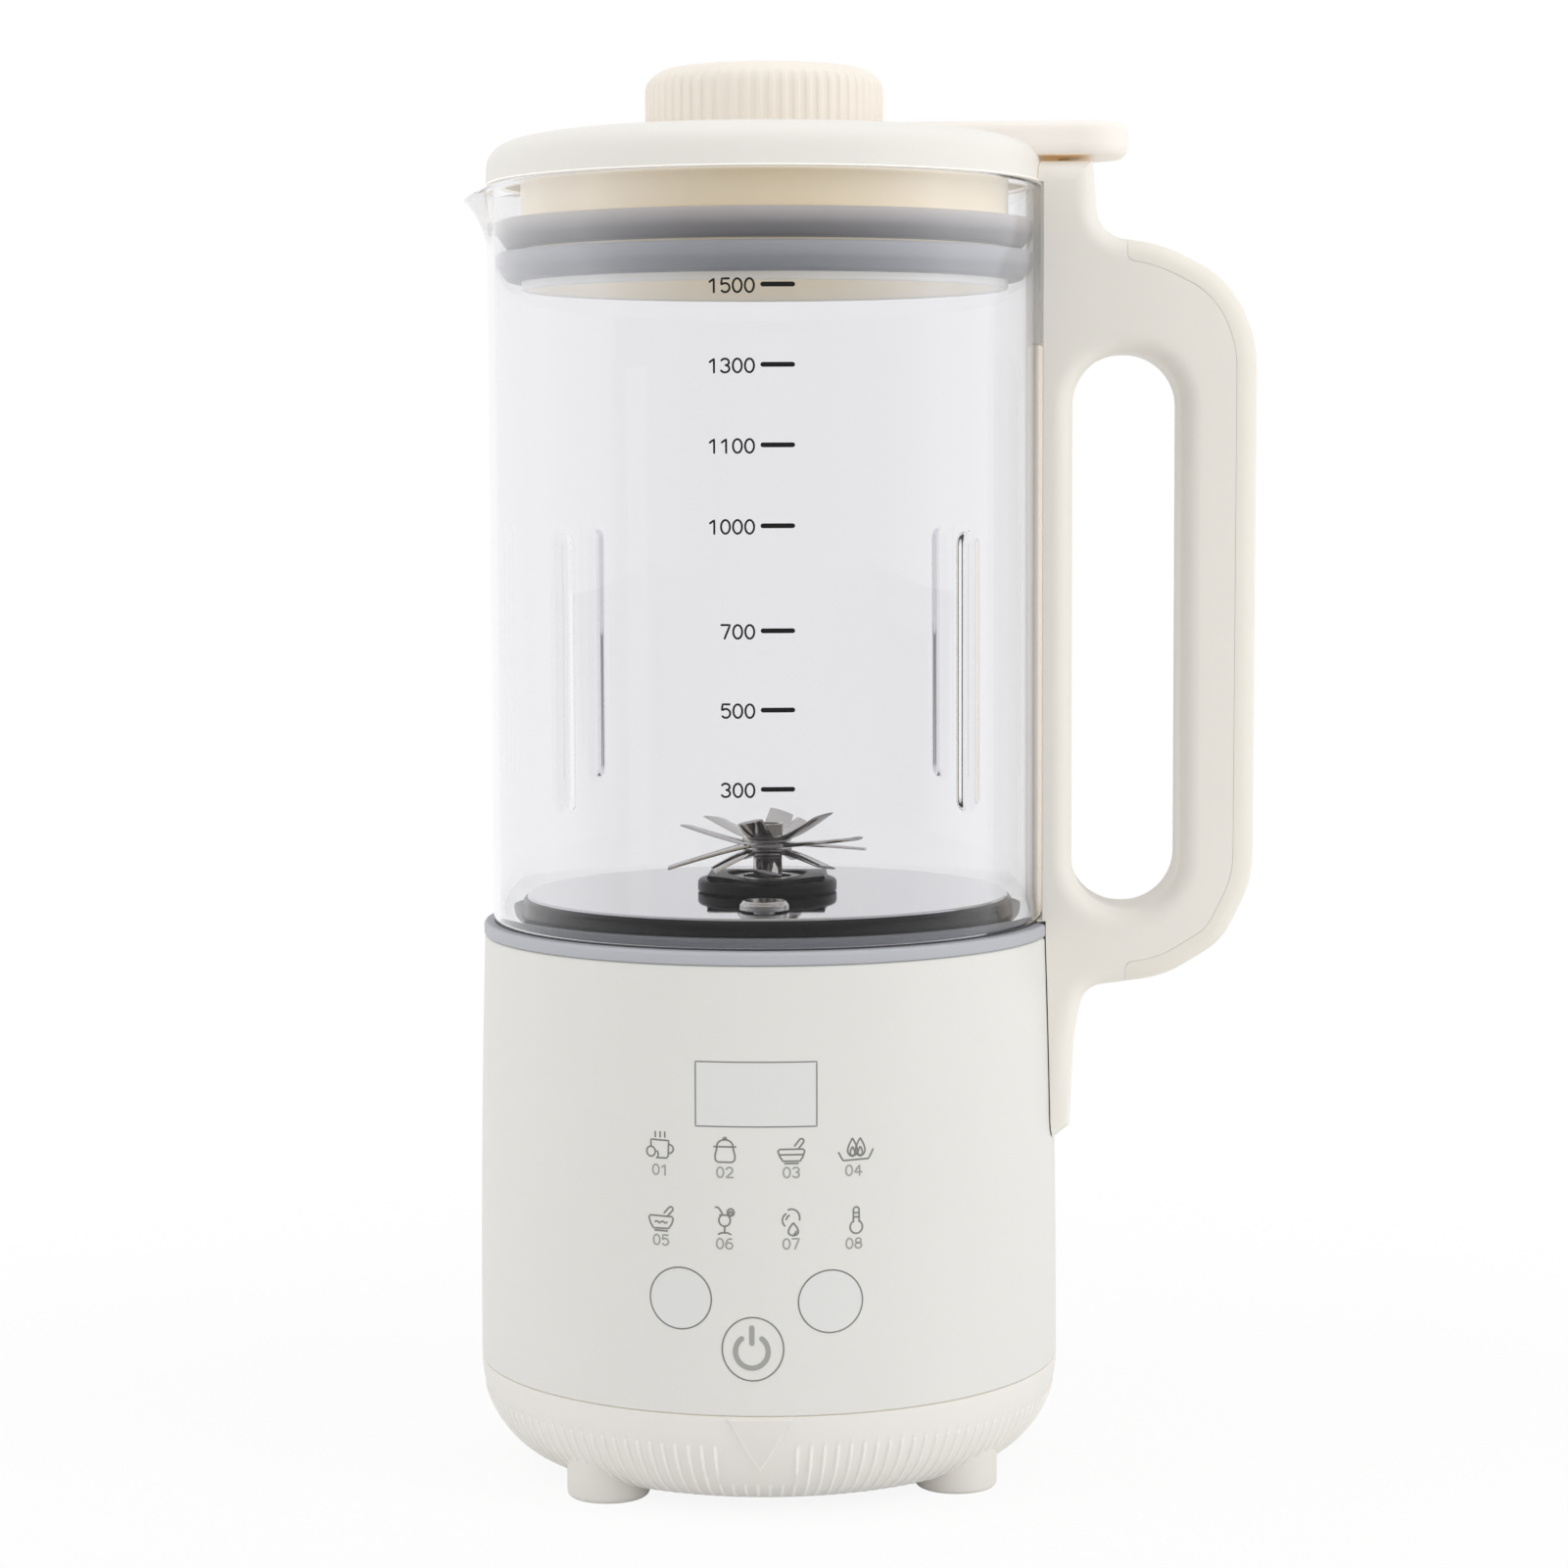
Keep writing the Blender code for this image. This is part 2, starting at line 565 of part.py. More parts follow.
def rounded_path(corners):
    """Corner points (x, y, radius), with each corner replaced by a tangent arc."""
    points = []
    count = len(corners)
    for i, (x, y, radius) in enumerate(corners):
        here = Vector((x, y))
        before = Vector(corners[i - 1][:2]) - here
        after = Vector(corners[(i + 1) % count][:2]) - here
        if radius <= 0.0:
            points.append((x, y))
            continue
        angle = before.angle(after)
        reach = radius / math.tan(angle / 2)
        start = here + before.normalized() * reach
        end = here + after.normalized() * reach
        middle = here + (before.normalized() + after.normalized()).normalized() * (radius / math.sin(angle / 2))
        sweep = math.pi - angle
        steps = max(2, round(sweep / math.radians(20)))
        for step in range(steps + 1):
            share = step / steps
            arm = (start - middle).lerp(end - middle, share)
            if share in (0, 1):
                points.append(tuple(middle + arm))
                continue
            turn = sweep * share
            side = (start - middle).cross(end - middle)
            turned_arm = Matrix.Rotation(math.copysign(turn, side), 2) @ (start - middle)
            points.append(tuple(middle + turned_arm))
    return points


def slab(name, outlines, half_thickness, finish=None, upright=False, edge=0.0):
    """Flat outlines extruded both ways: along Z, or along Y when they stand upright.

    The first outline runs clockwise, and those of holes run the other way.
    """
    curve = bpy.data.curves.new(name, "CURVE")
    curve.dimensions = "2D"
    curve.fill_mode = "BOTH"
    curve.extrude = half_thickness - edge
    curve.bevel_depth = edge
    curve.bevel_resolution = 1
    curve.offset = -edge
    for outline in outlines:
        spline = curve.splines.new("POLY")
        spline.points.add(len(outline) - 1)
        for point, (x, y) in zip(spline.points, outline):
            point.co = (x, y, 0.0, 1.0)
        spline.use_cyclic_u = True
    made = from_curve(name, curve, finish, merge=True)
    if upright:
        spun(made, math.pi / 2, "X")
    return made


def from_curve(name, curve, finish=None, merge=False):
    """The mesh of a curve, closed, and with its flat faces merged on request."""
    drawn = bpy.data.objects.new(name + "_curve", curve)
    PARTS.objects.link(drawn)
    bpy.context.view_layer.update()
    seen = drawn.evaluated_get(bpy.context.evaluated_depsgraph_get())
    mesh = bpy.data.meshes.new_from_object(seen)
    bpy.data.objects.remove(drawn, do_unlink=True)
    shape = bmesh.new()
    shape.from_mesh(mesh)
    bmesh.ops.remove_doubles(shape, verts=shape.verts, dist=MERGE)
    if merge:
        bmesh.ops.dissolve_limit(shape, angle_limit=FLAT_ANGLE, verts=shape.verts, edges=shape.edges)
    bmesh.ops.recalc_face_normals(shape, faces=shape.faces)
    shape.to_mesh(mesh)
    shape.free()
    return add_object(name, mesh, finish)


def moved(piece, offset):
    """Shift the mesh itself."""
    piece.data.transform(Matrix.Translation(Vector(offset)))
    return piece


def spun(piece, angle, axis="Z"):
    """Turn the mesh itself about an axis through the origin."""
    piece.data.transform(Matrix.Rotation(angle, 4, axis))
    return piece


def reshape(piece, rule):
    """Move every point of a mesh by a rule on arrays of x, y and z."""
    mesh = piece.data
    flat = np.empty(len(mesh.vertices) * 3)
    mesh.vertices.foreach_get("co", flat)
    points = flat.reshape(-1, 3)
    x, y, z = rule(points[:, 0].copy(), points[:, 1].copy(), points[:, 2].copy())
    mesh.vertices.foreach_set("co", np.stack([x, y, z], axis=1).ravel())
    mesh.update()
    return piece


def housing_radius(height):
    """Outer radius of the tapered housing at a height."""
    share = (height - SEAM_Z) / HOUSING_HEIGHT
    return BASE_RADIUS - HOUSING_TAPER * share ** 2


def housing_profile(offset, top, bottom, steps=4):
    """Points down the housing's side, moved outwards by an offset."""
    heights = np.linspace(top, bottom, steps)
    return [(float(housing_radius(z)) + offset, float(z)) for z in heights]


def bowl_profile(offset, top, steps=6):
    """Points down the bowl's rounded side to its flat bottom, moved outwards by an offset."""
    flat_radius = BASE_RADIUS - BOWL_CORNER_WIDTH
    angles = np.linspace(0, math.pi / 2, steps)
    points = [(BASE_RADIUS + offset, top)]
    if top > SEAM_Z:
        points.append((BASE_RADIUS + offset, SEAM_Z))
    for angle in angles[1:]:
        radius = flat_radius + (BOWL_CORNER_WIDTH + offset) * math.cos(angle)
        height = SEAM_Z - (BOWL_HEIGHT + offset) * math.sin(angle)
        points.append((radius, height))
    return points


def bowl_solid(name, offset):
    """The bowl's outer shape as a solid, moved outwards by an offset."""
    top = SEAM_Z + OVERRUN
    return turned(name, [(0.0, top)] + bowl_profile(offset, top) + [(0.0, BOWL_BOTTOM_Z - offset)])


def on_circle(count, radius, start=0.0):
    """Places in plan, evenly around a circle."""
    angles = [start + 2 * math.pi * i / count for i in range(count)]
    return [(radius * math.cos(a), radius * math.sin(a), a) for a in angles]


def make_bowl():
    """Bottom bowl with its spigot, the raised arrow, the air slots and the foot holes."""
    rim_z = SEAM_Z - CLEARANCE / 2
    spigot_radius = float(housing_radius(SEAM_Z + SPIGOT_HEIGHT)) - HOUSING_WALL - CLEARANCE
    outer = bowl_profile(0.0, rim_z)
    inner = bowl_profile(-BOWL_WALL, rim_z, steps=5)
    inner_radius = min(inner[0][0], spigot_radius - SPIGOT_WALL)
    spigot_top = SEAM_Z + SPIGOT_HEIGHT
    profile = [(spigot_radius, spigot_top), (spigot_radius, rim_z)] + outer + [(0.0, outer[-1][1])]
    hollow = [(0.0, inner[-1][1])] + inner[:0:-1]
    hollow = [point for point in hollow if point[0] < inner_radius]
    profile = hollow + [(inner_radius, spigot_top)] + profile
    bowl = turned("bottom_bowl", profile, "cream_plastic")
    arrow_top = SEAM_Z - ARROW_DROP
    outline = [(-ARROW_HALF_WIDTH, arrow_top), (ARROW_HALF_WIDTH, arrow_top), (0.0, arrow_top - ARROW_HEIGHT)]
    arrow = slab("arrow", [outline], BASE_RADIUS / 2, upright=True)
    moved(arrow, (0.0, -BASE_RADIUS, 0.0))
    combine(arrow, bowl_solid("relief", ARROW_RELIEF), "INTERSECT")
    cut(arrow, bowl_solid("core", -BOWL_WALL / 2))
    join(bowl, arrow)
    reach = INLET_BOSS_HALF_WIDTH + CLEARANCE
    low = (-reach, inlet_face() - INLET_BOSS_DEPTH - CLEARANCE, INLET_HEIGHT - INLET_BOSS_TALL / 2 - CLEARANCE)
    high = (reach, inlet_face() + OVERRUN, INLET_HEIGHT + INLET_BOSS_TALL / 2)
    cut(bowl, block("notch", low, high))
    for x, y, angle in on_circle(VENT_COUNT, VENT_RADIUS, math.pi / VENT_COUNT):
        low = (-VENT_LENGTH / 2, -VENT_WIDTH / 2, BOWL_BOTTOM_Z - OVERRUN)
        high = (VENT_LENGTH / 2, VENT_WIDTH / 2, BOWL_BOTTOM_Z + OVERRUN)
        slot = block("slot", low, high)
        spun(slot, angle)
        moved(slot, (x, y, 0.0))
        cut(bowl, slot)
    for x, y, _ in foot_places():
        hole = rod("hole", FOOT_STEM_RADIUS + CLEARANCE, BOWL_BOTTOM_Z - OVERRUN, SEAM_Z, place=(x, y))
        cut(bowl, hole)
    return bowl


def foot_places():
    """The four feet stand on a circle, a little off the panel's diagonals."""
    return on_circle(4, FOOT_CIRCLE_RADIUS, math.pi / 4 + FOOT_TURN)


def make_feet():
    """Four round feet that follow the bowl's underside, each with its stem in the bowl's floor."""
    names = ("foot_rear_right", "foot_rear_left", "foot_front_left", "foot_front_right")
    feet = []
    for name, (x, y, _) in zip(names, foot_places()):
        side = [(FOOT_RADIUS, FOOT_HEIGHT), (FOOT_RADIUS, FOOT_EDGE), (FOOT_RADIUS - FOOT_EDGE, 0.0)]
        foot = turned(name, [(0.0, FOOT_HEIGHT)] + side + [(0.0, 0.0)], "rubber", SMALL_STEPS)
        moved(foot, (x, y, 0.0))
        cut(foot, bowl_solid("envelope", CLEARANCE))
        stem = rod("stem", FOOT_STEM_RADIUS, FOOT_EDGE, FOOT_STEM_TOP, place=(x, y), steps=SMALL_STEPS // 2)
        join(foot, stem)
        feet.append(foot)
    return feet


def inlet_face():
    """The Y of the flat that the inlet's flange sits on."""
    return float(housing_radius(INLET_HEIGHT)) - INLET_SETBACK


def make_housing():
    """Tapered housing with the deck that carries the jar, and the boss of the mains inlet."""
    bottom = SEAM_Z + CLEARANCE / 2
    outer = housing_profile(0.0, HOUSING_TOP_Z, bottom)
    inner = housing_profile(-HOUSING_WALL, DECK_UNDER_Z, bottom)
    profile = outer + inner[::-1] + [(DECK_BORE_RADIUS, DECK_UNDER_Z), (DECK_BORE_RADIUS, HOUSING_TOP_Z)]
    housing = turned("base_housing", profile, "cream_plastic")
    face = inlet_face()
    low = (-INLET_BOSS_HALF_WIDTH, face - INLET_BOSS_DEPTH, INLET_HEIGHT - INLET_BOSS_TALL / 2)
    high = (INLET_BOSS_HALF_WIDTH, face, INLET_HEIGHT + INLET_BOSS_TALL / 2)
    join(housing, block("boss", low, high))
    reach = INLET_WIDTH / 2 + INLET_FLANGE_MARGIN + CLEARANCE
    tall = INLET_TALL / 2 + INLET_FLANGE_MARGIN + CLEARANCE
    cut(housing, block("seat", (-reach, face, INLET_HEIGHT - tall), (reach, face + OVERRUN, INLET_HEIGHT + tall)))
    reach = INLET_WIDTH / 2 + CLEARANCE
    tall = INLET_TALL / 2 + CLEARANCE
    cut(housing, block("window", (-reach, face - OVERRUN, INLET_HEIGHT - tall),
                       (reach, face + OVERRUN, INLET_HEIGHT + tall)))
    for drop in HANDLE_SCREW_DROPS:
        hole = rod("hole", HANDLE_SCREW_RADIUS + CLEARANCE, 0.0, BASE_RADIUS + OVERRUN, steps=SMALL_STEPS // 2)
        spun(hole, math.pi / 2, "Y")
        cut(housing, moved(hole, (0.0, 0.0, HOUSING_TOP_Z - drop)))
    return housing


def make_support_plate():
    """Plate under the deck that carries the bearing tube and the motor."""
    plate = ring("support_plate", SUPPORT_RADIUS, TUBE_RADIUS + CLEARANCE, SUPPORT_TOP_Z, SUPPORT_BOTTOM_Z,
                 "aluminium", MID_STEPS)
    cut(plate, rod("hole", PROBE_STEM_RADIUS + CLEARANCE, SUPPORT_BOTTOM_Z - OVERRUN, SUPPORT_TOP_Z + OVERRUN,
                   place=(PROBE_SIDE, -PROBE_DISTANCE), steps=SMALL_STEPS // 2))
    return plate


def make_jar_ring():
    """Silicone ring: the jar stands on its outer step and the plate on its inner one."""
    step_z = JAR_BOTTOM_Z - CLEARANCE
    outer = HOUSING_TOP_RADIUS + RING_OVERHANG
    inner = JAR_INNER_RADIUS - CLEARANCE
    profile = [(outer - RING_EDGE, step_z), (outer, step_z - RING_EDGE), (outer, RING_BOTTOM_Z),
               (DECK_BORE_RADIUS, RING_BOTTOM_Z), (DECK_BORE_RADIUS, RING_INNER_TOP_Z),
               (inner, RING_INNER_TOP_Z), (inner, step_z)]
    return turned("jar_ring_seal", profile, "grey_silicone")


def make_jar():
    """Glass tube with a pinched spout at -X and four flow ribs pressed into its wall."""
    rows = [JAR_RIM_Z - SPOUT_LENGTH * share for share in (0.0, 0.3, 0.6, 1.0)]
    outer = [(JAR_RADIUS, z) for z in rows + [JAR_BOTTOM_Z]]
    inner = [(JAR_INNER_RADIUS, z) for z in rows + [JAR_BOTTOM_Z]]
    jar = turned("glass_jar", outer + inner[::-1], "clear_glass")
    reshape(jar, pull_spout)
    middle = JAR_BOTTOM_Z + RIB_MIDDLE_ABOVE_FLOOR
    for x, y, angle in on_circle(RIB_COUNT, 1.0, math.pi / RIB_COUNT):
        bump = capsule("bump", RIB_BUMP_DEPTH, RIB_BUMP_WIDTH, RIB_LENGTH + 2 * JAR_WALL)
        distance = JAR_RADIUS - RIB_BUMP_INSET
        spun(bump, angle)
        join(jar, moved(bump, (x * distance, y * distance, middle)))
        groove = capsule("groove", RIB_GROOVE_RADIUS, RIB_GROOVE_RADIUS, RIB_LENGTH)
        distance = JAR_RADIUS - RIB_GROOVE_INSET
        spun(groove, angle)
        cut(jar, moved(groove, (x * distance, y * distance, middle)))
    return jar


def capsule(name, depth, width, length):
    """A long drop: a sphere pulled out along Z, with its own radius in X and in Y."""
    mesh = bpy.data.meshes.new(name)
    shape = bmesh.new()
    bmesh.ops.create_uvsphere(shape, u_segments=10, v_segments=6, radius=1.0)
    bmesh.ops.scale(shape, vec=(depth, width, width), verts=shape.verts)
    stretch = length / 2 - width
    for vert in shape.verts:
        if abs(vert.co.z) > MERGE:
            vert.co.z += math.copysign(stretch, vert.co.z)
    shape.to_mesh(mesh)
    shape.free()
    return add_object(name, mesh)


def pull_spout(x, y, z):
    """Push the rim outwards around -X, most at the rim, and lower the spout's lip."""
    radius = np.hypot(x, y)
    away = np.abs(np.arctan2(y, -x))
    around = np.where(away < SPOUT_HALF_ANGLE, np.cos(away / SPOUT_HALF_ANGLE * math.pi / 2) ** 2, 0.0)
    up = np.clip((z - (JAR_RIM_Z - SPOUT_LENGTH)) / SPOUT_LENGTH, 0.0, 1.0)
    push = SPOUT_REACH * around * up ** 1.5
    grow = (radius + push) / radius
    return x * grow, y * grow, z - SPOUT_DROP * around * up ** 3


def make_plate():
    """Stainless heating plate with its turned-down rim."""
    hole = TUBE_RADIUS + CLEARANCE
    rim_inner = PLATE_RADIUS - PLATE_RIM_WIDTH
    profile = [(hole, PLATE_TOP_Z), (PLATE_RADIUS - PLATE_EDGE, PLATE_TOP_Z), (PLATE_RADIUS, PLATE_TOP_Z - PLATE_EDGE),
               (PLATE_RADIUS, PLATE_BOTTOM_Z), (rim_inner, PLATE_BOTTOM_Z), (rim_inner, PLATE_UNDER_Z),
               (hole, PLATE_UNDER_Z)]
    plate = turned("heating_plate", profile, "steel")
    cut(plate, rod("hole", PROBE_STEM_RADIUS + CLEARANCE, PLATE_UNDER_Z - OVERRUN, PLATE_TOP_Z + OVERRUN,
                   place=(PROBE_SIDE, -PROBE_DISTANCE), steps=SMALL_STEPS // 2))
    return plate


def make_element():
    """Cast heating element under the plate, with its two terminals."""
    element = ring("heating_element", ELEMENT_RADIUS, TUBE_FLANGE_RADIUS + CLEARANCE, UNDER_PLATE_Z,
                   ELEMENT_BOTTOM_Z, "aluminium", MID_STEPS)
    cut(element, rod("hole", PROBE_STEM_RADIUS + CLEARANCE, ELEMENT_BOTTOM_Z - OVERRUN, UNDER_PLATE_Z + OVERRUN,
                     place=(PROBE_SIDE, -PROBE_DISTANCE), steps=SMALL_STEPS // 2))
    for side in (-TERMINAL_HALF_SPACING, TERMINAL_HALF_SPACING):
        top = (UNDER_PLATE_Z + ELEMENT_BOTTOM_Z) / 2
        join(element, rod("terminal", TERMINAL_RADIUS, ELEMENT_BOTTOM_Z - TERMINAL_LENGTH, top,
                          place=(side, TERMINAL_CIRCLE_RADIUS), steps=SMALL_STEPS // 2))
    return element


def make_bearing_group():
    """Bearing tube through the plate, its bushes and shaft seal, and the collar nut on top."""
    profile = [(TUBE_RADIUS, TUBE_TOP_Z), (TUBE_RADIUS, UNDER_PLATE_Z), (TUBE_FLANGE_RADIUS, UNDER_PLATE_Z),
               (TUBE_FLANGE_RADIUS, UNDER_PLATE_Z - TUBE_FLANGE_HEIGHT),
               (TUBE_RADIUS, UNDER_PLATE_Z - TUBE_FLANGE_HEIGHT), (TUBE_RADIUS, TUBE_BOTTOM_Z),
               (TUBE_BORE_RADIUS, TUBE_BOTTOM_Z), (TUBE_BORE_RADIUS, TUBE_TOP_Z)]
    turned("bearing_tube", profile, "steel", MID_STEPS)
    outer = TUBE_BORE_RADIUS - CLEARANCE
    inner = SHAFT_RADIUS + CLEARANCE
    seal_top = TUBE_TOP_Z - CLEARANCE
    ring("shaft_seal", outer, inner, seal_top, seal_top - SEAL_LENGTH, "dark_rubber")
    bush_top = seal_top - SEAL_LENGTH - CLEARANCE
    ring("bush_upper", outer, inner, bush_top, bush_top - BUSH_LENGTH, "bronze")
    ring("bush_lower", outer, inner, TUBE_BOTTOM_Z + BUSH_LENGTH, TUBE_BOTTOM_Z + CLEARANCE, "bronze")
    bottom = PLATE_TOP_Z + CLEARANCE
    top = bottom + NUT_HEIGHT
    hole = TUBE_RADIUS + CLEARANCE
    profile = [(NUT_RADIUS - NUT_EDGE, top), (NUT_RADIUS, top - NUT_EDGE), (NUT_RADIUS, bottom), (hole, bottom),
               (hole, top)]
    nut = turned("collar_nut", profile, "black_plastic", MID_STEPS)
    for x, y, _ in on_circle(NUT_NOTCH_COUNT, NUT_RADIUS + NUT_NOTCH_RADIUS / 2, math.pi / NUT_NOTCH_COUNT):
        cut(nut, rod("notch", NUT_NOTCH_RADIUS, bottom + NUT_EDGE, top + OVERRUN, place=(x, y),
                     steps=SMALL_STEPS // 2))
    return nut


def make_probe():
    """Temperature probe: a stepped stud in the plate, in front of the blades."""
    bottom = PLATE_TOP_Z + CLEARANCE
    middle = bottom + PROBE_HEIGHT - PROBE_STEP_HEIGHT
    top = bottom + PROBE_HEIGHT
    tip = PLATE_TOP_Z - PROBE_STEM_LENGTH
    profile = [(0.0, top), (PROBE_STEP_RADIUS, top), (PROBE_STEP_RADIUS, middle), (PROBE_RADIUS, middle),
               (PROBE_RADIUS, bottom), (PROBE_STEM_RADIUS, bottom), (PROBE_STEM_RADIUS, tip), (0.0, tip)]
    probe = turned("probe_stud", profile, "steel", SMALL_STEPS)
    return moved(probe, (PROBE_SIDE, -PROBE_DISTANCE, 0.0))


def make_blade(name, height, turns, tilts, shares):
    """A hub with a hole for the shaft's tip, and its tapered arms, each with its own turn, tilt and reach."""
    hole = SHAFT_TIP_RADIUS + CLEARANCE
    blade = ring(name, BLADE_HUB_RADIUS, hole, height + BLADE_THICKNESS, height, "steel")
    root = (BLADE_HUB_RADIUS + hole) / 2
    for turn, tilt, share in zip(turns, tilts, shares):
        length = BLADE_REACH * share / math.cos(tilt) - root
        low = (0.0, -BLADE_ROOT_WIDTH / 2, -ARM_THICKNESS / 2)
        high = (length, BLADE_ROOT_WIDTH / 2, ARM_THICKNESS / 2)
        arm = block("arm", low, high)
        reshape(arm, lambda x, y, z: taper_arm(x, y, z, length))
        spun(arm, -tilt, "Y")
        moved(arm, (root, 0.0, height + BLADE_THICKNESS / 2))
        spun(arm, turn)
        join(blade, arm)
    return blade


def taper_arm(x, y, z, length):
    """Narrow and thin the arm towards its tip."""
    share = x / length
    width = 1 - (1 - BLADE_TIP_WIDTH_SHARE) * share
    thickness = 1 - (1 - BLADE_TIP_THICKNESS_SHARE) * share
    return x, y * width, z * thickness


def make_rotor():
    """All that turns with the motor: shafts, coupling, rotor, fan, blades and their nut."""
    middle = COUPLING_MIDDLE_Z
    tip_top = BLADE_NUT_Z + BLADE_NUT_HEIGHT - CLEARANCE
    blade_bottom = middle + COUPLING_WEB / 2 + CLEARANCE
    profile = [(0.0, tip_top), (SHAFT_TIP_RADIUS, tip_top), (SHAFT_TIP_RADIUS, SHOULDER_Z),
               (SHAFT_RADIUS, SHOULDER_Z), (SHAFT_RADIUS, blade_bottom), (0.0, blade_bottom)]
    pieces = [turned("blade_shaft", profile, "steel", SMALL_STEPS)]
    web_bottom = middle - COUPLING_WEB / 2
    upper_bore = SHAFT_RADIUS + CLEARANCE
    lower_bore = MOTOR_SHAFT_RADIUS + CLEARANCE
    profile = [(0.0, middle + COUPLING_WEB / 2), (upper_bore, middle + COUPLING_WEB / 2),
               (upper_bore, COUPLING_TOP_Z), (COUPLING_RADIUS, COUPLING_TOP_Z),
               (COUPLING_RADIUS, COUPLING_BOTTOM_Z), (lower_bore, COUPLING_BOTTOM_Z), (lower_bore, web_bottom),
               (0.0, web_bottom)]
    pieces.append(turned("drive_coupling", profile, "black_plastic", SMALL_STEPS))
    pieces.append(rod("motor_shaft", MOTOR_SHAFT_RADIUS, FAN_BOTTOM_Z - SHAFT_STUB, web_bottom - CLEARANCE, "steel"))
    core_top = STATOR_TOP_Z + ROTOR_OVERHANG
    core_bottom = STATOR_BOTTOM_Z - ROTOR_OVERHANG
    head_bottom = core_bottom - WINDING_HEIGHT
    brush_middle = brush_height()
    commutator_top = brush_middle + COMMUTATOR_HEIGHT / 2
    commutator_bottom = brush_middle - COMMUTATOR_HEIGHT / 2
    profile = [(WINDING_RADIUS, core_top + WINDING_HEIGHT), (WINDING_RADIUS, core_top), (ROTOR_RADIUS, core_top),
               (ROTOR_RADIUS, core_bottom), (WINDING_RADIUS, core_bottom), (WINDING_RADIUS, head_bottom),
               (COMMUTATOR_NECK_RADIUS, head_bottom), (COMMUTATOR_NECK_RADIUS, commutator_top),
               (COMMUTATOR_RADIUS, commutator_top), (COMMUTATOR_RADIUS, commutator_bottom),
               (lower_bore, commutator_bottom), (lower_bore, core_top + WINDING_HEIGHT)]
    pieces.append(turned("motor_rotor", profile, "laminated_steel", MID_STEPS))
    pieces.append(make_fan(lower_bore))
    pieces.append(make_blade("blade_lower", LOWER_BLADE_Z, LOWER_BLADE_TURNS, LOWER_BLADE_TILTS,
                             LOWER_BLADE_REACH_SHARES))
    pieces.append(make_blade("blade_middle", MIDDLE_BLADE_Z, MIDDLE_BLADE_TURNS, MIDDLE_BLADE_TILTS,
                             MIDDLE_BLADE_REACH_SHARES))
    pieces.append(make_blade("blade_upper", UPPER_BLADE_Z, UPPER_BLADE_TURNS, UPPER_BLADE_TILTS,
                             UPPER_BLADE_REACH_SHARES))
    nut = rod("blade_nut", BLADE_NUT_RADIUS, BLADE_NUT_Z, BLADE_NUT_Z + BLADE_NUT_HEIGHT, "steel", BLADE_NUT_SIDES)
    cut(nut, rod("bore", SHAFT_TIP_RADIUS + CLEARANCE, BLADE_NUT_Z - OVERRUN, BLADE_NUT_Z + OVERRUN))
    pieces.append(nut)
    return pieces


def make_fan(bore):
    """Cooling fan with straight paddles under a disc."""
    fan = ring("cooling_fan", FAN_RADIUS, bore, FAN_TOP_Z, FAN_TOP_Z - FAN_DISC, "black_plastic", MID_STEPS)
    join(fan, ring("hub", FAN_HUB_RADIUS, bore, FAN_TOP_Z - FAN_DISC / 2, FAN_BOTTOM_Z))
    for _, _, angle in on_circle(FAN_BLADE_COUNT, FAN_RADIUS):
        start = (FAN_HUB_RADIUS + bore) / 2
        low = (start, -FAN_BLADE_WIDTH / 2, FAN_BOTTOM_Z + FAN_DISC)
        high = (FAN_RADIUS - FAN_DISC, FAN_BLADE_WIDTH / 2, FAN_TOP_Z - FAN_DISC / 2)
        join(fan, spun(block("paddle", low, high), angle))
    return fan


def brush_height():
    """The brushes press on the middle of the commutator, below the rotor's winding."""
    return (LOWER_BRACKET_TOP_Z + STATOR_BOTTOM_Z - ROTOR_OVERHANG - WINDING_HEIGHT) / 2


